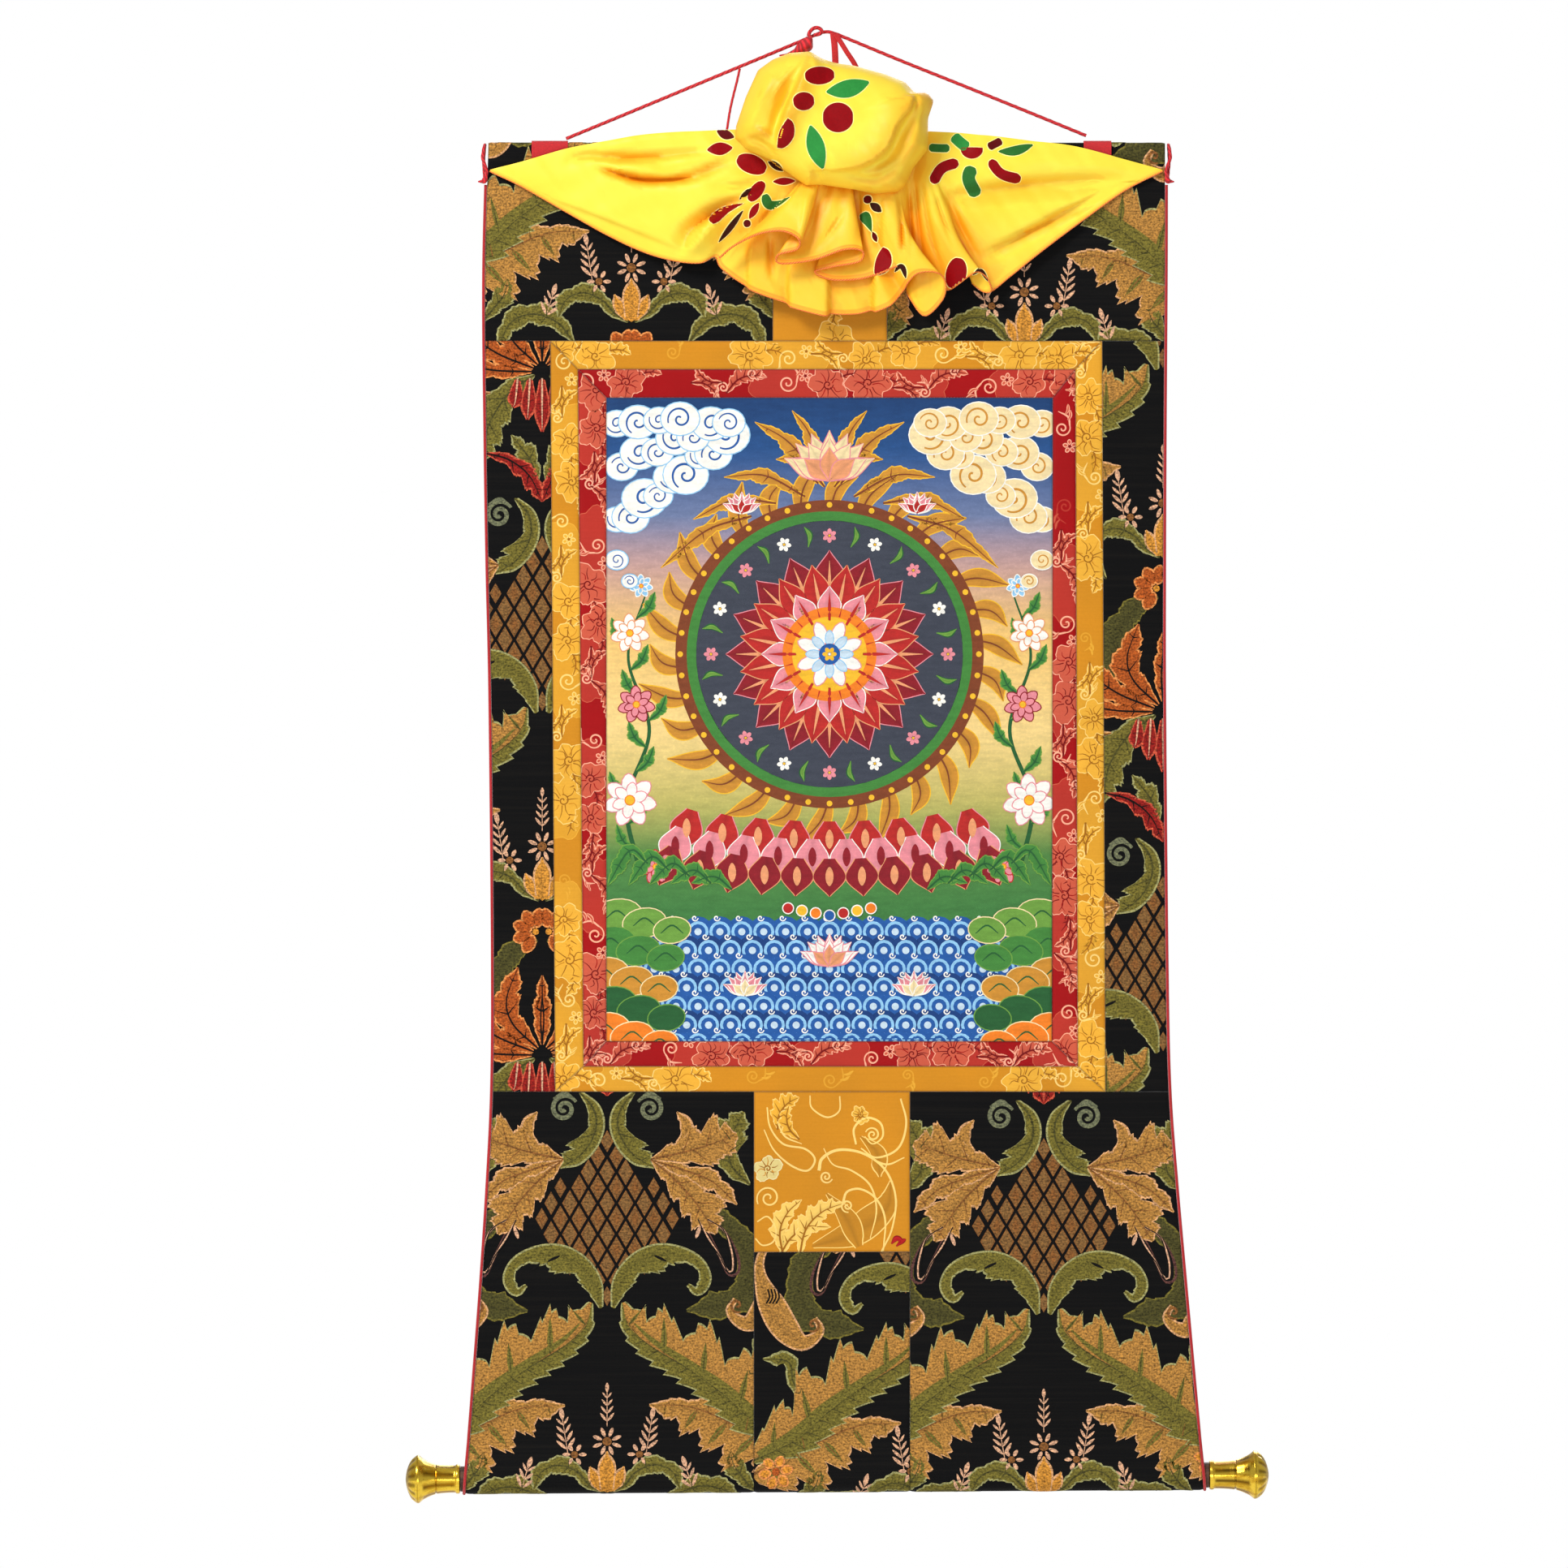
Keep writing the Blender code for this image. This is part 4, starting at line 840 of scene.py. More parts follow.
class Figures:
    # quads of u, v, lift in millimetres and tint; v runs down
    def __init__(self, level=0.1, rise=0.14, edge=0.02, rim=2.2):
        self.quads = []
        self.level, self.rise, self.edge, self.rim = level, rise, edge, rim

    def grid(self, points, lifts, tints):
        # points (rows, columns, 2), lifts and tints for each row or the whole
        points = np.asarray(points, dtype=float)
        lifts = np.broadcast_to(lifts, points.shape[:2])[..., None]
        tints = np.broadcast_to(tints, (*points.shape[:2], 3))
        held = np.concatenate([points, lifts, tints], axis=2)
        quads = np.stack([held[:-1, :-1], held[:-1, 1:], held[1:, 1:], held[1:, :-1]], axis=2)
        self.quads.append(quads.reshape(-1, 4, 6))

    def stroke(self, points, widths, tone, level=1, count=None):
        # a cord of stitches along a curve, wide in places
        points = np.asarray(points, dtype=float)
        count = count or max(4, int(4 * len(points)))
        path = catmull(points, count)
        shares = np.linspace(0, 1, count)
        half = (profile(widths, shares) if np.ndim(widths) else np.full(count, float(widths))) / 2
        run = np.gradient(path, axis=0)
        run /= np.maximum(np.linalg.norm(run, axis=1, keepdims=True), 1e-9)
        aside = np.stack([run[:, 1], -run[:, 0]], axis=1) * np.maximum(half, 0)[:, None]
        base = level * self.level
        lifts = [base + self.edge, base + self.rise * 0.8, base + self.edge]
        self.grid(np.stack([path - aside, path, path + aside], axis=1), lifts, tone)

    def blob(self, outline, tone, rim=None, level=1, rimWidth=None, heart=None):
        # filled outline round its middle, with a raised top and a thin rim
        outline = np.asarray(outline, dtype=float)
        centre = outline.mean(axis=0)
        reach = np.linalg.norm(outline - centre, axis=1, keepdims=True)
        inner = np.maximum(0.5, 1 - (rimWidth or self.rim) / np.maximum(reach, 1e-6))
        closed = lambda ring: np.vstack([ring, ring[:1]])
        base = level * self.level
        top = base + self.rise
        edge = closed(outline)
        rimIn = closed(centre + (outline - centre) * inner)
        middle = closed(centre + (outline - centre) * inner * 0.5)
        start = np.broadcast_to(centre, edge.shape)
        heart = tone if heart is None else heart
        self.grid(np.stack([start, middle]), top, heart)
        self.grid(np.stack([middle, rimIn]), top, np.stack([np.broadcast_to(heart, (len(edge), 3)),
                                                            np.broadcast_to(tone, (len(edge), 3))]))
        lifts = np.array([[top], [base + self.edge]])
        self.grid(np.stack([rimIn, edge]), lifts, rim if rim is not None else tone)

    def oval(self, centre, radii, turn, tone, rim=None, level=1, points=20, point=0.0, rimWidth=None, heart=None):
        # ellipse; point sharpens its two far ends
        angles = np.linspace(0, 2 * math.pi, points, endpoint=False)
        narrow = 1 - point * np.abs(np.cos(angles)) ** 3
        flat = np.stack([np.cos(angles) * radii[0], np.sin(angles) * radii[1] * narrow], axis=1)
        c, s = math.cos(math.radians(turn)), math.sin(math.radians(turn))
        self.blob(flat @ np.array(((c, s), (-s, c))) + centre, tone, rim, level, rimWidth, heart)

    def leaf(self, spine, leftWidths, rightWidths, tone, rim, vein=None, left=(0, 0.0, "lobe"),
             right=(0, 0.0, "lobe"), slant=38, level=1, heart=None, heartTone=None, count=None, rightTone=None,
             veins=None):
        # leftWidths lie to the left of the spine as one goes along it
        teeth = max(left[0], right[0])
        count = count or int(min(110, max(26, 8 * teeth + 10)))
        path = catmull(spine, count)
        run = np.gradient(path, axis=0)
        run /= np.maximum(np.linalg.norm(run, axis=1, keepdims=True), 1e-9)
        shares = np.linspace(0, 1, count)
        base = level * self.level
        lean = math.tan(math.radians(slant))
        for sign, widths, cut in ((1, leftWidths, left), (-1, rightWidths, right)):
            width = np.maximum(profile(widths, shares), 0) * toothShape(shares, *cut)
            aside = np.stack([run[:, 1], -run[:, 0]], axis=1) * sign
            forward = lean * np.minimum(1, (1 - shares) * 4 + 0.15)
            face = tone if sign > 0 or rightTone is None else rightTone
            rimShare = np.maximum(0.5, 1 - self.rim / np.maximum(width, 1e-6))

            def rail(share):
                reach = (width * share)[:, None]
                return path + aside * reach + run * reach * forward[:, None]

            rails = [rail(0.0), rail(rimShare * 0.5), rail(rimShare), rail(1.0)]
            tones = [tuple(c * 0.8 for c in face), face, face]
            top = base + self.rise
            self.grid(np.stack(rails[:3], axis=1), [base + self.rise * 0.5, top, top],
                      np.array(tones)[None])
            self.grid(np.stack(rails[2:], axis=1), [top, base + self.edge], rim)
            marks = []
            if cut[0] and cut[2] == "lobe":
                marks = (np.arange(cut[0]) + 0.5) / cut[0]
            elif veins:
                marks = (np.arange(veins) + 0.5) / veins
            for mark in marks:
                k = int(round(mark * (count - 1)))
                if width[k] < 5:
                    continue
                line = [rail(t)[k] for t in (0.03, 0.3, 0.5, 0.72)]
                if heart and cut[2] == "lobe":
                    self.stroke(line, [1.0, width[k] * heart, width[k] * heart * 0.9, 0.6], heartTone, level + 1, 10)
                if vein:
                    self.stroke(line, [1.6, 1.3, 0.9, 0.3], vein, level + 2, 7)
        if vein:
            self.stroke(path[::max(1, count // 12)], [2.4, 2.2, 1.6, 0.6], vein, level + 1, 20)

    def spiral(self, centre, radius, turns, start, width, tone, level=2, way=1):
        count = 44 if radius > 8 else 26
        angles = np.radians(start) + way * np.linspace(0, 2 * math.pi * turns, count)
        reach = radius * np.linspace(1, 0.1, count)
        points = np.stack([centre[0] + reach * np.cos(angles), centre[1] + reach * np.sin(angles)], axis=1)
        self.stroke(points, [width * 0.7, width, width, width * 0.9], tone, level, count)

    def sprig(self, base, tip, pairs, size, tone, level=1):
        base, tip = np.array(base, dtype=float), np.array(tip, dtype=float)
        run = tip - base
        turn = math.degrees(math.atan2(run[1], run[0]))
        self.stroke([base, (base + tip) / 2, tip], 1.0, tone, level, 6)
        for i in range(pairs):
            place = base + run * (0.12 + 0.8 * i / pairs)
            long = size * (1 - 0.45 * i / pairs)
            for way in (-38, 38):
                angle = math.radians(turn + way)
                centre = place + np.array((math.cos(angle), math.sin(angle))) * long * 0.62
                self.oval(centre, (long * 0.55, long * 0.14), turn + way, tone, None, level, 10, 0.5)
        self.oval(tip, (size * 0.5, size * 0.2), turn, tone, None, level, 10, 0.5)

    def petals(self, centre, radius, count, tone, width=0.3, start=0, inner=0.3, middle=None, level=1, rim=None,
               arc=360):
        for i in range(count):
            turn = start + arc * i / count
            angle = math.radians(turn)
            reach = radius * (1 + inner) / 2
            spot = (centre[0] + math.cos(angle) * reach, centre[1] + math.sin(angle) * reach)
            self.oval(spot, (radius * (1 - inner) / 2, radius * width), turn, tone, rim, level, 12, 0.25)
        if middle is not None:
            self.oval(centre, (radius * inner * 0.9,) * 2, 0, middle, None, level, 10)

    def ring(self, centre, radii, outer, inner, tone, level=1, points=72, rim=None):
        # flat ring, radii times the outer and inner shares
        angles = np.linspace(0, 2 * math.pi, points + 1)
        round1 = np.stack([np.cos(angles) * radii[0], np.sin(angles) * radii[1]], axis=1)
        base = level * self.level
        rows = np.stack([centre + round1 * outer, centre + round1 * (outer * 0.5 + inner * 0.5), centre + round1 * inner])
        lifts = np.array([[base], [base + self.rise], [base]])
        self.grid(rows, lifts, tone)

    def array(self):
        return np.concatenate(self.quads)


def toothShape(shares, teeth=0, depth=0.0, kind="lobe"):
    if not teeth:
        return np.ones_like(shares)
    phase = (shares * teeth) % 1
    if kind == "saw":
        return 1 - depth * (1 - phase) ** 0.8
    small = (shares * teeth * 4) % 1
    return (1 - depth * np.abs(2 * phase - 1) ** 1.5) * (1 - 0.2 * (1 - small))


def placed(quads, axisX, zeroY, mirror, scale=1.0):
    # from pattern pixels to millimetres across and down the cloth
    out = quads.copy()
    sign = -1 if mirror else 1
    out[..., 0] = (axisX + sign * quads[..., 0] * scale - 1018) * pixel
    out[..., 1] = (zeroY + quads[..., 1] * scale - 38) * pixel
    x, w = out[..., 0], out[..., 1]
    area = ((x[:, 2] - x[:, 0]) * (w[:, 3] - w[:, 1]) - (x[:, 3] - x[:, 1]) * (w[:, 2] - w[:, 0]))
    flip = area > 0
    out[flip] = out[flip][:, ::-1]
    return out[np.abs(area) > 1e-4]


def cutPolygon(polygon, column, level):
    # the parts of a polygon where a column's value is above and below the level
    above, below = [], []
    for i, a in enumerate(polygon):
        b = polygon[i + 1 - len(polygon)]
        va, vb = a[column] - level, b[column] - level
        if va >= 0:
            above.append(a)
        if va <= 0:
            below.append(a)
        if va * vb < 0:
            share = va / (va - vb)
            crossing = [p + (q - p) * share for p, q in zip(a, b)]
            above.append(crossing)
            below.append(crossing)
    return above, below


def cutAll(pieces, column, level, keepBelow):
    kept = []
    for piece in pieces:
        values = [corner[column] for corner in piece]
        if min(values) >= level:
            kept.append(piece)
        elif max(values) <= level:
            if keepBelow:
                kept.append(piece)
        else:
            above, below = cutPolygon(piece, column, level)
            kept.append(above)
            if keepBelow:
                kept.append(below)
    return [piece for piece in kept if len(piece) > 2]


def layFigures(panel, quads):
    # clip the quads to the panel, and cut them where its cloth bends
    gone = np.moveaxis(panel.distances(quads[..., 0], quads[..., 1]), 0, -1)
    quads = np.concatenate([quads, gone], axis=2)
    quads = quads[(gone.max(axis=1) > 0).all(axis=1)]
    inside = (quads[..., 6:].min(axis=1) > edgeBends[-1]).all(axis=1)
    marks = np.asarray(panel.rowMarks())
    low, high = quads[..., 1].min(axis=1), quads[..., 1].max(axis=1)
    inside &= np.searchsorted(marks, low) == np.searchsorted(marks, high)
    polygons = [corners[:, :6] for corners in quads[inside]]
    for polygon in quads[~inside].tolist():
        pieces = [polygon]
        for column in range(6, 10):
            for level in (0.0, *edgeBends):
                pieces = cutAll(pieces, column, level, level > 0)
        heights = [corner[1] for corner in polygon]
        for mark in marks[np.searchsorted(marks, min(heights)):np.searchsorted(marks, max(heights))]:
            pieces = cutAll(pieces, 1, mark, True)
        polygons += [np.array(piece)[:, :6] for piece in pieces]
    return polygons


def addFigures(name, panel, quads, material):
    polygons = layFigures(panel, quads)
    flat = np.concatenate(polygons)
    weld = np.round(flat / weldStep).astype(np.int64)
    _, first, index = np.unique(weld, axis=0, return_index=True, return_inverse=True)
    index = index.ravel()
    verts = flat[first]
    places = panel.spots(verts[:, 0], verts[:, 1], verts[:, 2])
    lay = np.column_stack([verts[:, 0] * mm, verts[:, 1] * mm, 0 * verts[:, 0]])
    dark = seamShade(panel.distances(verts[:, 0], verts[:, 1]).min(axis=0))[:, None]
    tints = np.column_stack([verts[:, 3:6] * dark, np.ones(len(verts))])
    faces, seen, start = [], set(), 0
    for polygon in polygons:
        ids = index[start:start + len(polygon)].tolist()
        start += len(polygon)
        ids = [v for i, v in enumerate(ids) if v != ids[i - 1]]
        key = frozenset(ids)
        if len(ids) > 2 and len(key) == len(ids) and key not in seen:
            seen.add(key)
            faces.append(ids)
    made = addMesh(name, places, faces, [material], lay=lay, tints=tints)
    return made


def shade(code):
    return srgb(code)[:3]


# Brocade: one half of its repeat, u out from the mirror line and v down from its pair of spirals

brocadePlan = {
    "repeat": 842,
    "tones": {
        "olive": "#6f672b", "oliveDark": "#4a4722", "oliveLine": "#989663", "tan": "#ac7c3c", "tanLine": "#cf9d70",
        "tanDeep": "#80532a", "rust": "#a9521f", "rustLine": "#d98a4c", "red": "#8c1c18", "redLine": "#c0503a",
        "pink": "#cfa183", "gold": "#c98a35", "lattice": "#7c5a33", "grey": "#6b6f55", "black": "#0b0a09",
        "plum": "#5c3a36", "orange": "#d08a30",
    },
    # mirror line and spiral level of the repeat in each piece of cloth
    "places": {
        "brocade_upper_left": (778, -77), "brocade_upper_right": (1262, -47), "brocade_side_left": (668, 636),
        "brocade_side_right": (1433, 1055), "brocade_lower_left": (748, 1368), "brocade_lower_right": (1286, 1378),
        "brocade_lower_middle": (1162, 1392),
    },
    "lattice": [(34, 0), (54, 14), (69, 28), (80, 46), (109, 70), (139, 86), (157, 82), (176, 61), (198, 35),
                (222, 0)],
    "latticeStep": (11.5, 19.0),
}


def drawBrocade(plan):
    fig = Figures()
    t = {name: shade(code) for name, code in plan["tones"].items()}
    vein, line = t["black"], t["plum"]

    # lattice of lozenges, cut off along its bud-shaped edge
    stepU, stepV = plan["latticeStep"]
    edge = np.array(plan["lattice"], dtype=float)
    for i in range(0, 9):
        for j in range(1, 13):
            if (i + j) % 2:
                continue
            u, v = i * stepU, j * stepV
            room = np.interp(v, edge[:, 0], edge[:, 1], left=-1, right=-1) - u
            if room < -6:
                continue
            size = min(0.93, 0.7 + max(room, 0) / 30)
            fig.blob([(u - 10 * size, v), (u, v - 17.2 * size), (u + 10 * size, v), (u, v + 17.2 * size)],
                     t["lattice"], t["tanDeep"], 0, 1.6, t["tanDeep"] if i % 2 else t["lattice"])

    # pair of spirals with their leaves
    fig.leaf([(34, -22), (18, -4), (13, 17), (20, 39), (36, 58), (58, 70)], [3, 12, 26, 30, 20, 2],
             [4, 9, 10, 10, 8, 2], t["olive"], t["oliveLine"], t["oliveDark"], (3, 0.45, "lobe"), level=2)
    fig.spiral((53, -2), 17, 1.8, -150, 5.5, t["grey"], 3)
    fig.stroke([(40, -12), (52, -21), (66, -14)], [3, 5, 3], t["grey"], 3)

    # outer leaf behind the fans
    fig.leaf([(176, 92), (152, 66), (153, 34), (168, 2)], [4, 20, 26, 5], [5, 22, 22, 4], t["olive"],
             t["oliveLine"], t["oliveDark"], (4, 0.4, "lobe"), (3, 0.35, "lobe"), level=1)
    # fan of the tan leaf: horn, upper and lower lobes
    fig.leaf([(86, 46), (96, 34), (98, 16), (86, 2)], [6, 10, 8, 1], [7, 8, 6, 1], t["tan"], t["tanLine"], None,
             level=2)
    fig.leaf([(54, 60), (84, 54), (118, 45), (160, 30)], [4, 30, 38, 6], [4, 22, 30, 8], t["tan"], t["tanLine"],
             t["tanDeep"], (4, 0.5, "lobe"), (3, 0.3, "lobe"), 34, 2)
    fig.leaf([(54, 60), (82, 84), (108, 112), (134, 152)], [4, 26, 34, 5], [4, 24, 26, 4], t["tan"], t["tanLine"],
             t["tanDeep"], (4, 0.45, "lobe"), (5, 0.45, "lobe"), 36, 3)
    fig.leaf([(58, 62), (96, 74), (130, 88), (160, 116)], [3, 12, 16, 2], [3, 14, 15, 2], t["tan"], t["tanLine"],
             t["tanDeep"], (3, 0.4, "lobe"), (3, 0.4, "lobe"), 36, 4)

    # dark mass between fan and hook, with its nested loops
    fig.leaf([(100, 118), (136, 136), (166, 166), (176, 206), (150, 238), (98, 246)], [4, 22, 24, 26, 20, 3],
             [3, 12, 18, 22, 24, 3], t["oliveDark"], t["olive"], None, (4, 0.3, "lobe"), (3, 0.3, "lobe"), 20, 0,
             veins=0)
    for k, tone in ((0, "plum"), (1, "black"), (2, "pink"), (3, "black")):
        grow = 1 - 0.2 * k
        fig.stroke([(112, 134), (124, 150 + 3 * k), (138, 178), (150 - 2 * k, 202 - 4 * k), (162 - 4 * k, 198),
                    (160 - 3 * k, 176), (144, 148), (124, 134)], 3.4 * grow, t[tone], 2 + k, 40)
    fig.oval((112, 150), (2.4, 8), 20, t["pink"], None, 3, 10)

    # hooked olive leaf
    fig.leaf([(8, 243), (14, 213), (31, 191), (57, 178), (86, 178), (110, 188), (120, 206), (112, 222), (100, 214)],
             [4, 8, 11, 13, 13, 11, 9, 8, 3], [5, 20, 24, 28, 24, 8, 9, 8, 3], t["olive"], t["oliveLine"],
             None, right=(4, 0.4, "lobe"), slant=26, level=3, count=70)
    fig.oval((66, 182), (9, 1.8), 25, vein, None, 4, 10)
    fig.oval((88, 192), (8, 1.8), 40, vein, None, 4, 10)

    # tan scroll with its curled end
    fig.leaf([(196, 116), (226, 158), (222, 200), (202, 240), (174, 262), (152, 248), (158, 232)],
             [2, 4, 6, 12, 14, 9, 3], [2, 5, 10, 22, 20, 8, 3], t["tan"], t["tanLine"], None, slant=8, level=2,
             count=60)
    fig.spiral((160, 240), 9, 1.2, 60, 3.2, t["tanDeep"], 4)
    for k in range(4):
        fig.stroke([(204 + 4 * k, 196), (202 + 4 * k, 206), (206 + 4 * k, 214)], 2.0, t["black"], 4, 8)
    fig.leaf([(162, 343), (184, 312), (190, 286), (222, 282)], [2, 9, 12, 2], [2, 8, 12, 2], t["olive"],
             t["oliveLine"], t["oliveDark"], (2, 0.3, "lobe"), (2, 0.3, "lobe"), level=2)

    # great curled leaf: teeth below, broad lobes above
    fig.leaf([(236, 410), (182, 382), (145, 350), (101, 318), (57, 292), (27, 265), (19, 236)],
             [10, 26, 28, 25, 22, 16, 2], [36, 66, 70, 66, 58, 44, 10], t["olive"], t["oliveLine"], t["oliveDark"],
             (13, 0.34, "saw"), (5, 0.5, "lobe"), 30, 3, 0.13, t["olive"], 120, t["tan"], 13)
    fig.stroke([(228, 402), (182, 374), (145, 342), (101, 312), (58, 284), (34, 262)], [8, 14, 13, 11, 8, 2],
               t["olive"], 5, 40)
    # lower leaf under it
    fig.leaf([(236, 428), (186, 402), (145, 381), (101, 364), (52, 362)], [30, 64, 52, 36, 3], [6, 20, 22, 14, 3],
             t["tan"], t["tanLine"], t["tanDeep"], (5, 0.45, "lobe"), (4, 0.4, "lobe"), 16, 2, 0.16, t["olive"], 90)
    fig.petals((206, 424), 22, 6, t["orange"], 0.3, 10, 0.25, t["rust"], 5, t["rustLine"])
    fig.leaf([(184, 474), (158, 442), (152, 420)], [3, 16, 3], [3, 18, 3], t["olive"], t["oliveLine"], t["oliveDark"],
             (3, 0.3, "lobe"), (3, 0.3, "lobe"), level=2)

    # sprigs and little flowers
    fig.sprig((48, 424), (56, 372), 4, 16, t["pink"], 2)
    fig.petals((40, 424), 15, 6, t["pink"], 0.17, 0, 0.34, t["tanDeep"], 3)
    fig.petals((0, 407), 19, 8, t["pink"], 0.13, 22.5, 0.34, t["tanDeep"], 2)
    fig.sprig((0, 388), (0, 340), 4, 12, t["pink"], 2)
    fig.sprig((106, 470), (95, 434), 3, 16, t["pink"], 2)

    # crest on the mirror line
    fig.leaf([(0, 474), (0, 448), (0, 420)], [9, 11, 1], [9, 11, 1], t["gold"], t["tanLine"], None, level=4)
    fig.leaf([(4, 472), (14, 458), (21, 440)], [5, 8, 1], [5, 7, 1], t["gold"], t["tanLine"], None, level=3)
    fig.leaf([(4, 474), (22, 462), (36, 447), (58, 438), (80, 446), (90, 468)], [2, 8, 13, 15, 13, 3],
             [2, 8, 12, 14, 10, 2], t["olive"], t["oliveLine"], t["oliveDark"], (3, 0.3, "lobe"), (3, 0.2, "lobe"),
             20, 2)
    fig.leaf([(70, 500), (92, 474), (122, 464), (150, 476), (164, 508)], [3, 16, 18, 14, 3], [2, 14, 16, 14, 3],
             t["olive"], t["oliveLine"], t["oliveDark"], (4, 0.35, "lobe"), (4, 0.3, "lobe"), 20, 1)
    fig.petals((8, 512), 30, 5, t["rust"], 0.3, -100, 0.15, t["orange"], 3, t["rustLine"], 200)
    fig.leaf([(6, 522), (38, 540), (60, 582), (50, 628)], [4, 22, 26, 4], [4, 22, 24, 5], t["oliveDark"], t["olive"],
             None, (3, 0.3, "lobe"), (3, 0.3, "lobe"), 20, 1)
    # gourd leaves
    for spine, wide in (([(5, 656), (36, 626), (44, 596), (30, 556)], 22), ([(10, 660), (58, 640), (88, 614), (94, 578)], 19),
                        ([(12, 664), (62, 662), (98, 652), (128, 628)], 14), ([(0, 652), (2, 620), (0, 590), (0, 566)], 12)):
        fig.leaf(spine, [4, wide, wide * 0.9, 2], [4, wide, wide * 0.8, 2], t["rust"], t["rustLine"], vein,
                 (3, 0.32, "lobe"), (3, 0.32, "lobe"), 34, 3)
    fig.leaf([(9, 668), (40, 690), (66, 730), (74, 776)], [4, 26, 30, 4], [4, 24, 26, 4], t["olive"], t["oliveLine"],
             t["oliveDark"], (4, 0.35, "lobe"), (4, 0.35, "lobe"), 36, 2)
    fig.leaf([(60, 690), (104, 700), (138, 726), (160, 766)], [3, 18, 22, 3], [3, 16, 20, 3], t["tan"], t["tanLine"],
             t["tanDeep"], (4, 0.45, "lobe"), (4, 0.45, "lobe"), 36, 1)
    for u in (0, 15, 30):
        fig.leaf([(u, 672), (u * 1.1, 700), (u * 1.2, 738 - u)], [4, 10, 2], [4, 10, 2], t["red"], t["redLine"], t["pink"],
                 level=3)
    fig.leaf([(5, 806), (14, 774), (38, 742)], [3, 16, 2], [3, 15, 2], t["olive"], t["oliveLine"], t["oliveDark"],
             (3, 0.4, "lobe"), (3, 0.4, "lobe"), level=2)
    fig.leaf([(72, 764), (42, 772), (16, 792), (0, 824)], [2, 14, 16, 2], [2, 10, 12, 2], t["red"], t["redLine"], t["black"],
             (4, 0.45, "lobe"), (3, 0.3, "lobe"), level=3)
    return fig.array()


def addBrocade():
    quads = drawBrocade(brocadePlan)
    made = {}
    for node, (axisX, zeroY) in brocadePlan["places"].items():
        panel = panels[node]
        low, high = panel.along[0], panel.along[-1]
        copies = []
        for turn in (-1, 0, 1):
            for mirror in (False, True):
                copy = placed(quads, axisX, zeroY + turn * brocadePlan["repeat"], mirror)
                w = copy[..., 1]
                copies.append(copy[(w.max(axis=1) > low) & (w.min(axis=1) < high)])
        made[node] = addFigures(panel.name + "Figures", panel, np.concatenate(copies), "chenilleFigure")
    return made


# Damask borders and their two gold squares, charted in pixels of the photograph

damaskPlan = {
    "gold": {"ground": "#cb871a", "figure": "#e6ab38", "line": "#f6d17a", "dark": "#9c6312", "patch": "#d99c2b"},
    "red": {"ground": "#9c0107", "figure": "#c85842", "line": "#f2aa90", "dark": "#74050a", "patch": "#b23026"},
    "relief": (0.05, 0.05, 0.01, 1.3),
    "spacing": 47,
    "plain": {"gold_border_bottom": (860, 1250), "gold_border_top": (780, 880), "gold_border_left": (1010, 1090),
              "gold_border_right": (700, 790), "red_border_top": (820, 870), "red_border_right": (560, 640)},
    "strips": {
        "gold_border_top": ((686, 437), (1352, 437), 3), "gold_border_bottom": ((690, 1331), (1356, 1331), 8),
        "gold_border_left": ((697, 446), (700, 1330), 5), "gold_border_right": ((1341, 440), (1346, 1330), 6),
        "red_border_top": ((722, 472), (1318, 472), 11), "red_border_bottom": ((728, 1299), (1322, 1299), 12),
        "red_border_left": ((730, 480), (733, 1296), 13), "red_border_right": ((1311, 480), (1313, 1296), 14),
        "gold_strip_upper": ((1022, 150), (1024, 420), 15),
    },
}


def peony(fig, centre, radius, t, chance, level):
    # flower head: scalloped patch with fine lines
    angles = np.linspace(0, 2 * math.pi, 48, endpoint=False)
    lobes = chance.choice((5, 6, 7))
    turn = chance.uniform(0, 6)
    reach = radius * (0.74 + 0.26 * np.abs(np.sin(angles * lobes / 2 + turn))) * (1 + 0.12 * np.sin(2 * angles + turn))
    reach *= 1 - 0.05 * ((angles * 24 / math.pi) % 1)
    fig.blob(np.stack([centre[0] + reach * np.cos(angles), centre[1] + reach * np.sin(angles)], axis=1), t["figure"],
             t["line"], level, 1.2)
    for k in range(2 * lobes):
        angle = turn + math.pi * (k + 0.5) / lobes + chance.uniform(-0.1, 0.1)
        c, s = math.cos(angle), math.sin(angle)
        a, b = radius * chance.uniform(0.15, 0.3), radius * chance.uniform(0.6, 0.85)
        bend = chance.uniform(-0.16, 0.16) * radius
        fig.stroke([(centre[0] + a * c, centre[1] + a * s), (centre[0] + (a + b) / 2 * c - bend * s,
                   centre[1] + (a + b) / 2 * s + bend * c), (centre[0] + b * c, centre[1] + b * s)],
                   [1.3, 1.0, 0.4], t["dark"] if k % 3 else t["ground"], level + 2, 6)
    fig.spiral(centre, radius * 0.26, 1.3, math.degrees(turn), 1.5, t["dark"], level + 3)


def feather(fig, base, tip, width, t, level, teeth=6):
    base, tip = np.array(base, dtype=float), np.array(tip, dtype=float)
    run = tip - base
    bow = np.array((run[1], -run[0])) * 0.18
    fig.leaf([base, base + run * 0.35 + bow, base + run * 0.7 + bow * 0.9, tip], [2, width, width * 0.9, 1],
             [2, width * 0.7, width * 0.6, 1], t["figure"], t["line"], t["dark"], (teeth, 0.4, "lobe"),
             (teeth - 1, 0.4, "lobe"), 34, level, count=7 * teeth + 3)


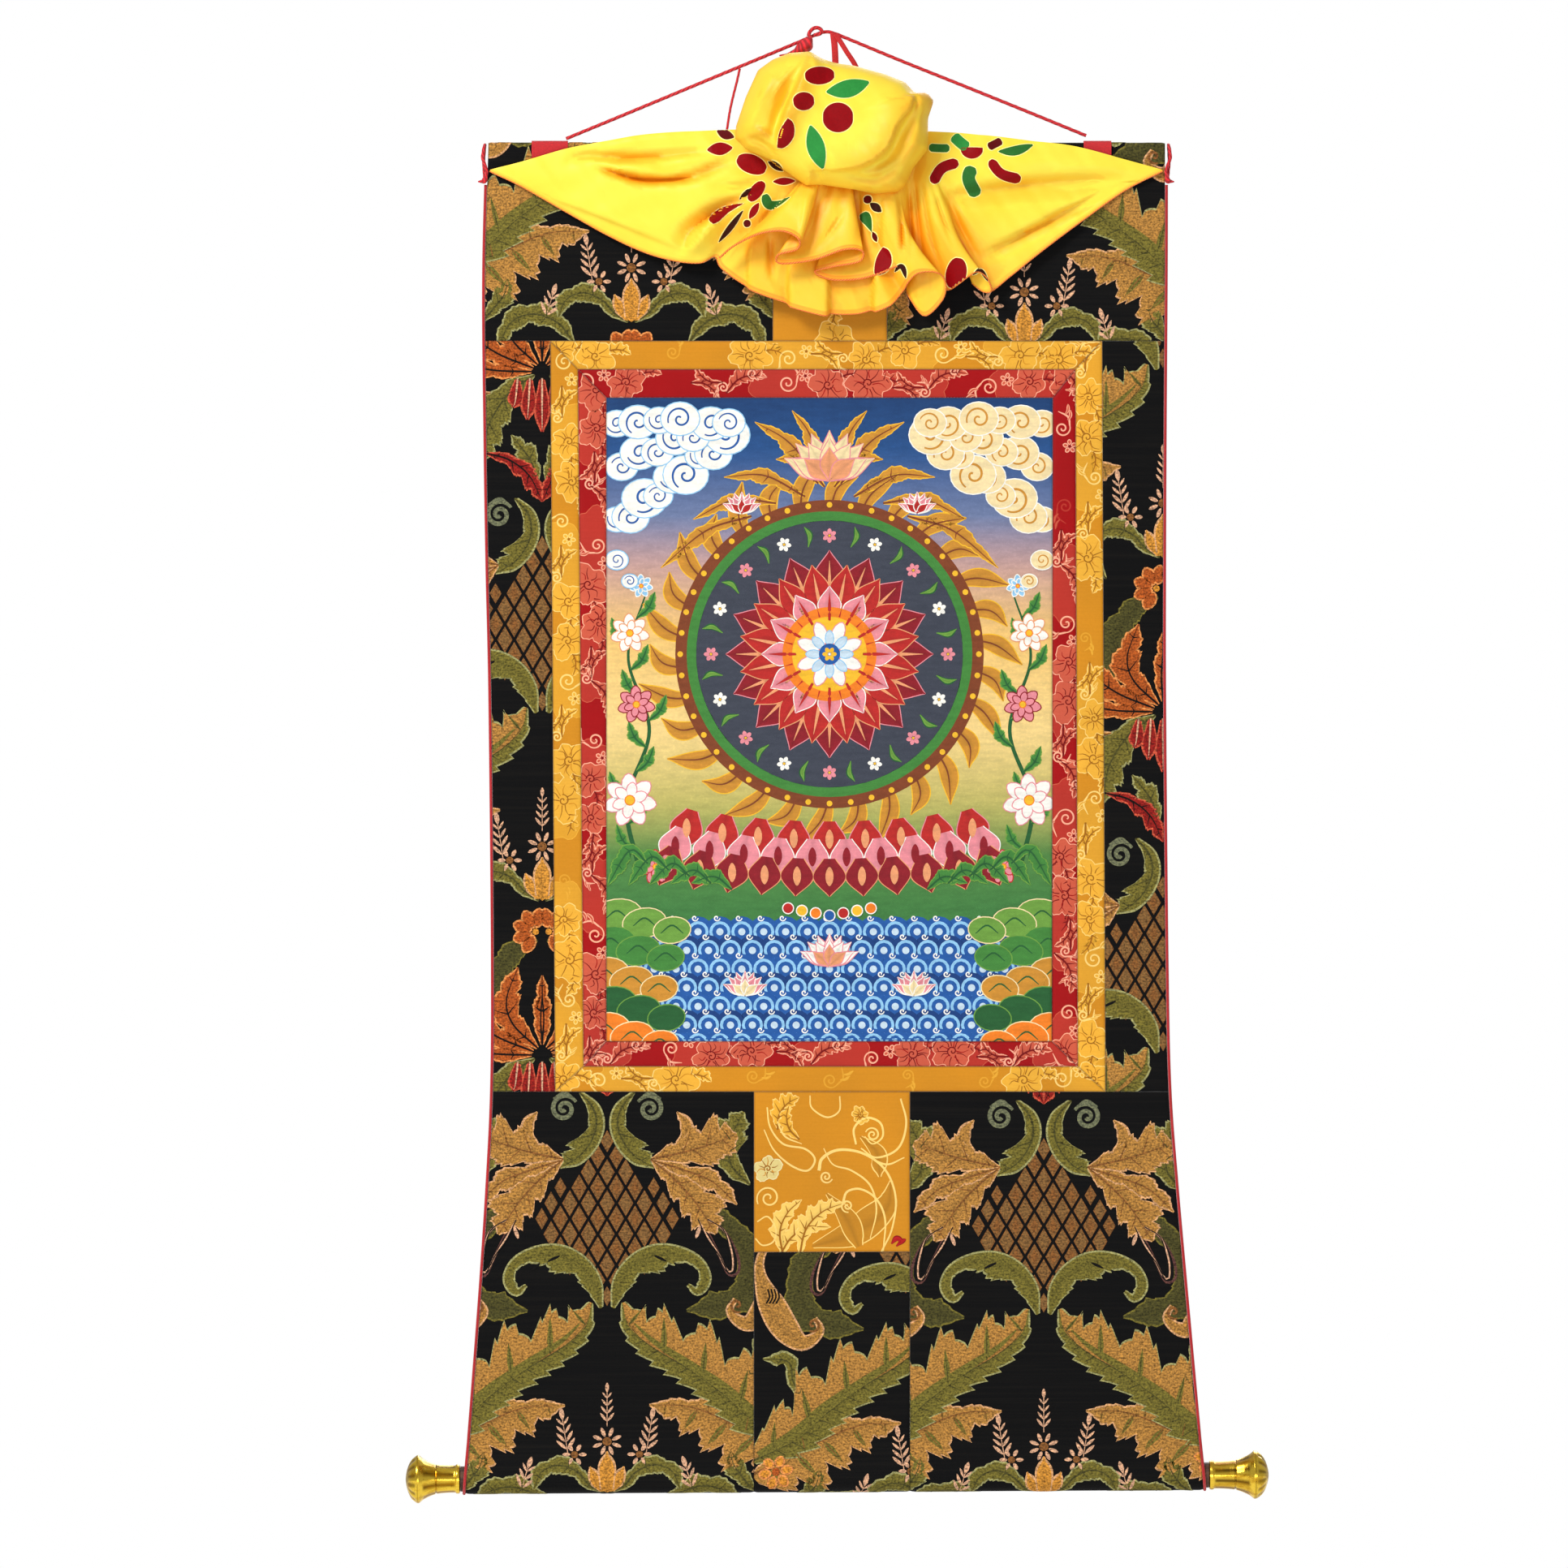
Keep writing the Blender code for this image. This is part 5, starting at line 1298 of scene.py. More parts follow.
def scroll(fig, centre, radius, turn, t, level, way=1):
    # curling tendril with a tail and leaflets
    fig.spiral(centre, radius, 1.6, turn, 2.0, t["line"], level, way)
    c, s = math.cos(math.radians(turn)), math.sin(math.radians(turn))
    start = np.array(centre) + radius * np.array((c, s))
    along = way * np.array((s, -c))
    fig.stroke([start, start + along * radius * 1.1 + np.array((c, s)) * 2, start + along * radius * 2.2
                - np.array((c, s)) * radius * 0.7], [2.0, 2.4, 0.8], t["line"], level, 14)
    for k in (0.7, 1.5):
        root = start + along * radius * k
        fig.leaf([root, root + np.array((c, s)) * radius * 0.5 + along * radius * 0.4,
                  root + np.array((c, s)) * radius * 0.8 + along * radius * 1.1], [1, radius * 0.22, 0.5],
                 [1, radius * 0.2, 0.5], t["figure"], t["line"], level=level)


def drawDamask(node, plan):
    colour = "gold" if node.startswith("gold") else "red"
    t = {name: shade(code) for name, code in plan[colour].items()}
    fig = Figures(*plan["relief"])
    first, last, seed = plan["strips"][node]
    chance = random.Random(seed)
    first, last = np.array(first, dtype=float), np.array(last, dtype=float)
    length = np.linalg.norm(last - first)
    run = (last - first) / length
    side = np.array((-run[1], run[0]))
    count = int(length / plan["spacing"])
    for i in range(count + 1):
        place = first + run * (length * i / count) + side * chance.uniform(-7, 7)
        kind = (i * 2 + seed) % 5 if colour == "red" else (i + seed) % 4
        turn = chance.uniform(0, 360)
        bare = plan["plain"].get(node, (0, 0))
        if bare[0] < (place[0] if abs(run[0]) > 0.5 else place[1]) < bare[1]:
            # the ground is left nearly plain here
            if i % 2:
                scroll(fig, place, chance.uniform(7, 10), turn, {**t, "line": t["patch"]}, 1, chance.choice((-1, 1)))
            continue
        if i % 3 == seed % 3:
            # broad paler patch with a scalloped edge, under the flowers
            angles = np.linspace(0, 2 * math.pi, 40, endpoint=False)
            wide = (34 + 5 * np.abs(np.sin(4 * angles + turn))) * np.array([[1.3], [0.9]])
            outline = place + np.outer(wide[0] * np.cos(angles), run) + np.outer(wide[1] * np.sin(angles), side)
            fig.blob(outline, t["patch"], t["figure"], 0, 1.0)
        if kind in (0, 3):
            peony(fig, place, chance.uniform(23, 29), t, chance, 1)
            feather(fig, place + run * 8, place + run * 44 + side * chance.uniform(-14, 14), 11, t, 0, 5)
        elif kind == 1:
            scroll(fig, place, chance.uniform(9, 12), turn, t, 1, chance.choice((-1, 1)))
            fig.petals(place + run * 22 - side * 9, 9, 5, t["figure"], 0.32, turn, 0.2, t["dark"], 1, t["line"])
        elif kind == 2:
            for way in (-1, 1):
                feather(fig, place - run * 20 * way, place + run * 14 * way + side * 20 * way, 9, t, 1, 5)
            scroll(fig, place + side * 6 + run * 20, 7, turn, t, 2)
        else:
            feather(fig, place - run * 26 + side * 10, place + run * 24 - side * 10, 14, t, 1, 7)
            scroll(fig, place + run * 6 - side * 14, 6, turn, t, 2)
    return fig.array()


def drawSquare(plan):
    # the lower gold square: large scroll outlines, a pale flower and a spiral
    t = {name: shade(code) for name, code in plan["gold"].items()}
    fig = Figures(*plan["relief"])
    dark = shade("#bd8120")
    chance = random.Random(21)

    def cut(points, widths):
        fig.stroke([(900 + x / 2.613, 1300 + y / 2.613) for x, y in points], widths, t["line"], 3, 8 * len(points))

    feather(fig, (958, 1392), (985, 1352), 16, t, 0, 6)
    feather(fig, (985, 1404), (972, 1362), 12, t, 1, 5)
    fig.leaf([(1000, 1536), (1052, 1520), (1092, 1490), (1098, 1455)], [4, 22, 18, 2], [3, 16, 12, 2], dark, t["line"],
             level=0)
    fig.leaf([(1018, 1470), (1042, 1500), (1058, 1536)], [2, 14, 6], [2, 12, 5], dark, t["line"], level=1)
    fig.leaf([(1060, 1400), (1080, 1420), (1084, 1450)], [2, 11, 2], [2, 11, 2], dark, t["line"], level=1)
    cut([(285, 372), (296, 332), (350, 305), (430, 318), (500, 372), (532, 460), (520, 560), (486, 634)], [4, 3, 2.4, 2])
    cut([(362, 476), (376, 440), (420, 432), (470, 464), (498, 530), (492, 632)], [3, 2.6, 2.4, 1.6])
    cut([(300, 300), (330, 352), (390, 372), (450, 420), (470, 500), (450, 590)], [1.2, 2.2, 2.2, 1])
    cut([(404, 288), (398, 236), (436, 202), (482, 218), (490, 262), (458, 286), (432, 262)], [2.4, 2.8, 2.4, 1.2])
    cut([(420, 300), (470, 330), (540, 300), (566, 220), (548, 140)], [1.6, 2.6, 2.6, 2])
    cut([(430, 318), (500, 352), (560, 330)], [1.2, 2.4, 1.4])
    cut([(118, 168), (128, 232), (170, 286), (240, 302), (272, 336), (248, 372), (196, 356), (140, 306), (108, 240)],
        [1.8, 2.4, 2.4, 1.4])
    cut([(150, 214), (176, 262), (230, 286)], [1.2, 2.2, 1.0])
    cut([(256, 130), (262, 170), (310, 200), (350, 180), (352, 132)], [1.6, 2.2, 1.6])
    cut([(86, 536), (120, 520), (146, 560), (138, 600), (104, 612), (80, 590)], [1.6, 2.2, 1.6])
    for centre, radius, start in (((1018, 1450), 8, 20), ((1044, 1486), 8, 80), ((947, 1476), 15, 150), ((1075, 1398), 9, 200)):
        fig.spiral(centre, radius, 1.7, start, 2.2, t["line"], 4)
    pale = {**t, "figure": shade("#dcc984"), "line": shade("#ece0a8")}
    peony(fig, (946, 1440), 18, pale, chance, 2)
    peony(fig, (1060, 1374), 12, {**t, "figure": shade("#e3b148")}, chance, 1)
    light = {**t, "figure": shade("#f0c766")}
    feather(fig, (965, 1546), (988, 1478), 15, light, 1, 5)
    feather(fig, (985, 1548), (1042, 1482), 17, light, 2, 7)
    feather(fig, (960, 1548), (1024, 1512), 16, light, 1, 6)
    fig.leaf([(1098, 1533), (1104, 1527), (1113, 1530)], [1, 4, 1], [1, 5, 1], shade("#b5161a"), shade("#8c0c10"), level=3)
    fig.leaf([(1104, 1536), (1110, 1531), (1116, 1527)], [1, 3, 1], [1, 3, 1], shade("#b5161a"), shade("#8c0c10"), level=3)
    return fig.array()


def addDamask():
    made = {}
    for node in damaskPlan["strips"]:
        panel = panels.get(node) or strips[node]
        quads = placed(drawDamask(node, damaskPlan), 0, 0, False)
        made[node] = addFigures(panel.name + "Figures", panel, quads, "damaskFace")
    square = panels["gold_square_lower"]
    made["gold_square_lower"] = addFigures("goldSquareLowerFigures", square, placed(drawSquare(damaskPlan), 0, 0, False),
                                           "damaskFace")
    return made


# The picture: a plain round ornament of lotus petals between clouds and water, of nobody's making

picturePlan = {
    "relief": (0.03, 0.012, 0.008, 1.4),
    "centre": (1022, 806),
    "grounds": [(480, "#0a3566"), (560, "#1f4d86"), (640, "#6d7ba0"), (700, "#c39a90"), (780, "#ecc070"),
                (900, "#efcf86"), (990, "#b9b060"), (1050, "#4f8440"), (1120, "#3d7a3c"), (1290, "#2f6a3a")],
    "tones": {
        "blue": "#1c56a0", "deep": "#0d3a78", "sky": "#8fc4e8", "white": "#f4f1e8", "cream": "#f0d9a4", "peach": "#e79a6a",
        "pink": "#e58a94", "red": "#b8221e", "crimson": "#8c1220", "green": "#3f8236", "leaf": "#6a9a3c",
        "darkGreen": "#1f5a2c", "ochre": "#c98a2c", "gold": "#f0b828", "orange": "#ee7d1a", "slate": "#3a3f4c",
        "brown": "#7c3c1c", "mist": "#c4d8e6",
    },
}


def pictureGround(x, w):
    heights = [row[0] for row in picturePlan["grounds"]]
    colours = np.array([shade(row[1]) for row in picturePlan["grounds"]])
    y = w / pixel + 38
    tints = [np.interp(y, heights, colours[:, k]) for k in range(3)]
    return np.stack([*tints, np.ones_like(y)], axis=-1)


def lotus(fig, centre, size, outer, rim, inner, level, open=1.0):
    # side view of an open flower: three rows of petals
    for row, (count, reach, wide) in enumerate(((7, 1.0, 0.2), (5, 0.86, 0.2), (3, 0.66, 0.2))):
        for k in range(count):
            lean = (k - (count - 1) / 2) / count * 2.6 * open
            tip = (centre[0] + math.sin(lean) * size * reach, centre[1] - math.cos(lean) * size * reach)
            middle = (centre[0] + math.sin(lean) * size * reach * 0.5, centre[1] - math.cos(lean) * size * reach * 0.55)
            fig.leaf([centre, middle, tip], [2, size * wide, 0.6], [2, size * wide, 0.6], outer if row < 2 else inner, rim,
                     level=level + row + 0.12 * k, slant=0)


def cloud(fig, puffs, body, line, rim, level):
    for i, (x, y, r) in enumerate(puffs):
        fig.oval((x, y), (r, r * 0.86), 0, body, rim, level + 0.8 * i, 20)
        fig.spiral((x, y), r * 0.62, 1.4, 200 - 40 * (i % 3), max(1.4, r * 0.1), line, level + 0.8 * i + 0.5,
                   1 if i % 2 else -1)


def drawPicture(plan):
    fig = Figures(*plan["relief"])
    t = {name: shade(code) for name, code in plan["tones"].items()}
    cx, cy = plan["centre"]

    # halo of leaves, rings and the round field
    for k in range(30):
        angle = math.radians(12 * k + 6)
        base = (cx + 172 * math.cos(angle), cy + 172 * math.sin(angle))
        mid = (cx + 205 * math.cos(angle + 0.05), cy + 205 * math.sin(angle + 0.05))
        tip = (cx + (238 if k % 2 else 222) * math.cos(angle + 0.16), cy + (238 if k % 2 else 222) * math.sin(angle + 0.16))
        fig.leaf([base, mid, tip], [5, 13, 1], [5, 11, 1], t["ochre"], t["gold"], t["brown"], slant=10, level=1 + k % 2)
    fig.ring((cx, cy), (190, 190), 1.0, 0.9, t["brown"], 4)
    fig.ring((cx, cy), (176, 176), 1.0, 0.93, t["green"], 5)
    for k, (outer, inner) in enumerate(((165, 150), (150, 134), (134, 118), (118, 100), (100, 80), (80, 58))):
        fig.ring((cx, cy), (outer, outer), 1.0, inner / outer, t["slate"], 5)
    for k in range(44):
        angle = 2 * math.pi * k / 44
        fig.oval((cx + 184 * math.cos(angle), cy + 184 * math.sin(angle)), (3.6, 3.6), 0, t["gold"], None, 6, 10)
    for k in range(16):
        angle = math.radians(22.5 * k)
        spot = (cx + 146 * math.cos(angle), cy + 146 * math.sin(angle))
        fig.petals(spot, 9, 6, t["white"] if k % 2 else t["pink"], 0.3, 22.5 * k, 0.2, t["gold"], 6)
        mid = math.radians(22.5 * k + 11.25)
        fig.leaf([(cx + 134 * math.cos(mid), cy + 134 * math.sin(mid)), (cx + 148 * math.cos(mid + 0.03), cy + 148 * math.sin(mid + 0.03)),
                  (cx + 160 * math.cos(mid), cy + 160 * math.sin(mid))], [1, 4, 0.5], [1, 4, 0.5], t["leaf"], t["darkGreen"], level=6)
    for row, (count, outer, inner, wide, tone, rim) in enumerate((
            (16, 128, 60, 21, "crimson", "pink"), (16, 112, 50, 17, "red", "peach"), (12, 84, 40, 15, "pink", "white"))):
        for k in range(count):
            angle = 2 * math.pi * (k + 0.5 * (row % 2)) / count
            c, s = math.cos(angle), math.sin(angle)
            line = [(cx + r * c, cy + r * s) for r in (inner, (inner + outer) * 0.54, outer)]
            fig.leaf(line, [6, wide, 0.6], [6, wide, 0.6], t[tone], t[rim], level=7 + 2 * row, slant=0)
            fig.stroke(line[:2] + [(cx + outer * 0.9 * c, cy + outer * 0.9 * s)], [3, 4, 0.5], t["peach" if row < 2 else "red"],
                       9 + 2 * row, 12)
    for outer, inner, tone in ((58, 46, "orange"), (46, 34, "gold"), (34, 20, "gold"), (20, 1, "gold")):
        fig.ring((cx, cy), (outer, outer), 1.0, inner / outer, t[tone], 13)
    for k in range(24):
        angle = 2 * math.pi * k / 24
        fig.stroke([(cx + 47 * math.cos(angle), cy + 47 * math.sin(angle)), (cx + 57 * math.cos(angle), cy + 57 * math.sin(angle))],
                   [2.2, 0.4], t["red"], 14, 5)
    fig.petals((cx, cy), 43, 8, t["white"], 0.2, 22.5, 0.3, None, 15, t["pink"])
    fig.petals((cx, cy), 30, 8, t["mist"], 0.2, 0, 0.3, None, 17, t["sky"])
    fig.ring((cx, cy), (13, 13), 1.0, 0.02, t["blue"], 19)
    fig.petals((cx, cy), 9, 6, t["gold"], 0.3, 0, 0.2, t["white"], 21)

    # crown flower above, with its leaves
    for way in (-1, 1):
        for k, (bx, by, tx, ty, wide) in enumerate(((6, 600, 92, 520, 15), (14, 596, 66, 566, 12), (4, 590, 46, 506, 12),
                                                    (30, 612, 130, 588, 13), (66, 620, 168, 640, 12), (96, 636, 208, 700, 13))):
            fig.leaf([(cx + way * bx, by), (cx + way * (bx + tx) * 0.5, (by + ty) / 2 - 14), (cx + way * tx, ty)],
                     [3, wide, 1], [3, wide * 0.8, 1], t["ochre"], t["gold"], t["brown"], (3, 0.3, "lobe"), (3, 0.3, "lobe"), 24, 2)
    lotus(fig, (cx, 592), 62, t["cream"], t["pink"], t["peach"], 6)
    lotus(fig, (cx - 108, 632), 26, t["pink"], t["white"], t["red"], 5)
    lotus(fig, (cx + 108, 632), 26, t["pink"], t["white"], t["red"], 5)

    # clouds in the two upper corners
    for way, body, line, rim in ((-1, "white", "blue", "sky"), (1, "cream", "ochre", "white")):
        puffs = [(cx + way * (262 - 17 * k), 640 - 13 * k + 10 * (k % 2), 19 + 5 * (k % 3)) for k in range(9)]
        puffs += [(cx + way * (256 - 22 * k), 575 - 9 * k - 8 * (k % 2), 21 + 4 * (k % 2)) for k in range(7)]
        puffs += [(cx + way * (262 - 26 * k), 522 - 2 * k, 20 + 5 * (k % 2)) for k in range(4)]
        puffs += [(cx + way * 262, 690, 15), (cx + way * 246, 716, 11)]
        cloud(fig, puffs, t[body], t[line], t[rim], 2)

    # flowering stems at the sides
    for way in (-1, 1):
        stem = [(cx + way * 232, 1080), (cx + way * 250, 990), (cx + way * 222, 900), (cx + way * 248, 810), (cx + way * 226, 730)]
        fig.stroke(stem, [6, 5, 4, 2], t["darkGreen"], 2, 60)
        path = catmull(stem, 12)
        for k, (x, y) in enumerate(path[1:-1]):
            side = 1 if k % 2 else -1
            fig.leaf([(x, y), (x + side * 14, y - 12), (x + side * 22, y - 32)], [2, 9, 1], [2, 8, 1], t["green"], t["leaf"],
                     t["darkGreen"], (3, 0.3, "lobe"), (3, 0.3, "lobe"), 20, 3 + k % 2)
        for x, y, size, tone, inner in ((246, 986, 34, "white", "pink"), (238, 868, 24, "pink", "crimson"), (246, 780, 25, "white", "peach"),
                                        (232, 722, 15, "sky", "white"), (214, 1068, 22, "pink", "red")):
            spot = (cx + way * x, y)
            fig.petals(spot, size, 7, t[tone], 0.3, 10, 0.1, None, 6, t[inner])
            fig.petals(spot, size * 0.68, 6, t[tone], 0.32, 40, 0.1, None, 8, t[inner])
            fig.oval(spot, (size * 0.2, size * 0.2), 0, t["gold"], t["orange"], 10, 12)

    # lotus bed under the round field
    for row, (y, count, half, size, tone, rim) in enumerate(((1030, 9, 176, 46, "red", "pink"), (1052, 10, 190, 44, "pink", "white"),
                                                             (1076, 11, 200, 40, "crimson", "peach"))):
        for k in range(count):
            share = (k - (count - 1) / 2) / ((count - 1) / 2)
            x = cx + half * share
            drop = -14 * share * share
            fig.leaf([(x * 0.96 + cx * 0.04, y + drop - 18), (x, y + drop + 4), (x + 10 * share, y + drop + size * 0.72)],
                     [8, 21, 1], [8, 21, 1], t[tone], t[rim], slant=0, level=4 + row)
            fig.oval((x, y + drop + 4), (12, 5), 90, t["peach" if row != 1 else "crimson"], None, 7 + row, 14, 0.3)
    for way in (-1, 1):
        for k in range(5):
            x, y = cx + way * (120 + 26 * k), 1096 - 8 * k
            fig.leaf([(x, y), (x + way * 22, y - 16), (x + way * 50, y - 8 + 9 * k)], [2, 12, 1], [2, 12, 1], t["green"], t["leaf"],
                     t["darkGreen"], (4, 0.3, "lobe"), (4, 0.3, "lobe"), 24, 12 + 0.5 * k)

    # water scallops with white crests, and banks
    for row in range(7):
        y = 1142 + 23 * row
        for k in range(-11, 12):
            x = cx + 27 * k + (13 if row % 2 else 0)
            if abs(x - cx) > 262 - 4 * row:
                continue
            level = 2 + 1.5 * row
            for radius, tone, lift in ((19, "deep" if row % 2 else "blue", 0.12 * (k % 2)), (13, "sky", 0.3), (9.5, "blue", 0.6),
                                       (4.5, "mist", 0.9)):
                fig.oval((x, y + 6), (radius, radius), 0, t[tone], None, level + lift, 16 if radius > 12 else 12)
            fig.spiral((x - 4, y - 11), 4.2, 1.2, 0, 1.6, t["white"], level + 1.2)
    for way in (-1, 1):
        for row, (y, tone, rim) in enumerate(((1128, "leaf", "cream"), (1162, "green", "leaf"), (1200, "ochre", "cream"),
                                              (1236, "darkGreen", "leaf"), (1268, "orange", "cream"))):
            for k in range(3):
                x = cx + way * (262 - 34 * k + 8 * row % 17)
                level = 16 + 1.6 * row + 0.5 * k
                fig.oval((x, y + 9 * k), (32 - 4 * k, 21 - 2 * k), 8 * way, t[tone], t[rim], level, 20)
                fig.stroke([(x - 14, y + 9 * k + 4), (x, y + 9 * k - 6), (x + 14, y + 9 * k + 4)], [1, 2.2, 1], t["darkGreen"],
                           level + 0.45, 10)
    lotus(fig, (cx, 1190), 40, t["white"], t["pink"], t["peach"], 24)
    lotus(fig, (cx - 104, 1226), 30, t["pink"], t["white"], t["cream"], 24)
    lotus(fig, (cx + 104, 1226), 30, t["pink"], t["white"], t["cream"], 24)
    for k in range(-3, 4):
        fig.oval((cx + 17 * k, 1128 - 3 * abs(k)), (7.5, 7.5), 0, t[("blue", "red", "gold", "orange")[k % 4]], t["white"], 24, 16)
    return fig.array()


panels = brocadePanels()
strips = frameStrips()
for node, panel in {**panels, **strips}.items():
    if node == "picture_panel":
        addCloth(panel, node, "paintFace", "rawCanvas", "canvas", pictureGround)
    elif node.startswith("brocade"):
        addCloth(panel, node, "satinGround", "clothReverse", "brocade")
    else:
        colour = "gold" if node.startswith("gold") else "red"
        tone = srgb(damaskPlan[colour]["ground"])
        addCloth(panel, node, "damaskFace", "damaskFace", colour + "_damask", tone)
figures = {**addBrocade(), **addDamask()}
picture = strips["picture_panel"]
figures["picture_panel"] = addFigures("pictureFigures", picture, placed(drawPicture(picturePlan), 0, 0, False),
                                      "paintFace")


def declareSheets():
    # goes over each cloth and the figures on it, and keeps nothing
    for node, panel in {**panels, **strips}.items():
        x, w = panel.grid(20.0)
        held = "stretched" if "border" in node or node == "picture_panel" else "hung"
        [figures[node]] if node in figures else []


declareSheets()
print("cloth panels made")


# Piping, tabs and corner ties

trimPlan = {
    "tabs": {"tab_left": (-232.3, -203.7, 13.0), "tab_right": (203.0, 224.8, 14.0)},
    "tabThick": 1.2,
    "cornerTie": [(5.6, -1.6, -119.0, 0.5), (2.8, -1.8, -118.8, 1.4), (0.6, -2.6, -118.2, 2.3),
                  (-0.4, -3.6, -114.4, 1.5), (-1.0, -3.9, -110.6, 1.2), (0.4, -3.8, -106.0, 1.2),
                  (2.4, -2.6, -100.5, 1.4), (1.9, 0.0, -93.0, 1.3), (1.2, 3.8, -89.6, 1.2),
                  (1.6, 7.6, -93.0, 1.3), (2.0, 9.0, -101.5, 1.3), (1.4, 7.0, -110.0, 1.2),
                  (0.8, 3.6, -116.0, 1.1)],
    "tieClear": 1.6,
}


def addPiping():
    plan = mountPlan
    radius = plan["pipingRadius"]
    hem = rollerHemRows(radius)
    start = plan["top"] - plan["pipingDrop"]
    rows = [(0.0, start + (hem[0][1] - start) * i / 160) for i in range(160)] + hem[:-4]
    for side, out in (("left", -1), ("right", 1)):
        path = []
        for depth, height in rows:
            x = edgeAt(height, side) - out * radius
            path.append((x * mm, (depth + hangDepth(x, height)) * mm, (height + tiltDrop(x, height)) * mm))
        path = np.array(path)
        length = pathLength(path)
        path = catmull(path, int(length / 0.0022))
        addTube("piping" + side.capitalize(), path, radius * mm, "redTape", "piping_" + side, sides=12)


def addTabs(plan):
    clear = 0.8 + mountPlan["gap"] + plan["tabThick"] / 2
    back = 1.6 + 2 * mountPlan["gap"] + mountPlan["battenDepth"] + clear
    top = mountPlan["top"] + mountPlan["gap"] + plan["tabThick"] / 2
    corner = mountPlan["hemCorner"] + clear
    for name, (left, right, drop) in plan["tabs"].items():
        down = mountPlan["top"] - drop
        rows = [(back, down + (top - corner - down) * i / 4) for i in range(4)]
        rows += arcRows(back - corner, top - corner, corner, -90, 0, 8)
        rows += arcRows(corner - clear, top - corner, corner, 0, 90, 8)
        rows += [(-clear, top - corner + (down - top + corner) * i / 6) for i in range(1, 7)]
        marks = np.linspace(left, right, 25)
        middle, lay = [], []
        along = 0
        for i, (depth, height) in enumerate(rows):
            if i:
                along += math.dist(rows[i - 1], rows[i])
            middle.append([(x * mm, depth * mm, height * mm) for x in marks])
            lay.append([(x * mm, along * mm, 0) for x in marks])
        verts, faces, sides, lay, tints = sheetParts(np.array(middle), plan["tabThick"] * mm, lay)
        tab = addMesh(name.replace("_l", "L").replace("_r", "R"), verts, faces, ["redTape"], lay=lay)
        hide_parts(name)


def addCornerTies(plan):
    for side, out in (("left", -1), ("right", 1)):
        rows = []
        for outward, depth, height, radius in plan["cornerTie"]:
            rows.append((clothEdge(height, side) + out * (outward + plan["tieClear"]), depth, height, radius))
        path = catmull(rows, 150)
        addTube("cornerTie" + side.capitalize(), path[:, :3] * mm, path[:, 3] * mm, "redBraid",
                "corner_tie_" + side, sides=12, lobes=3, pitch=0.006, depth=0.06)


addPiping()
addTabs(trimPlan)
addCornerTies(trimPlan)
print("piping, tabs and ties made")


# The silk cover: swags and pleats, the frill in front and the bunch over both

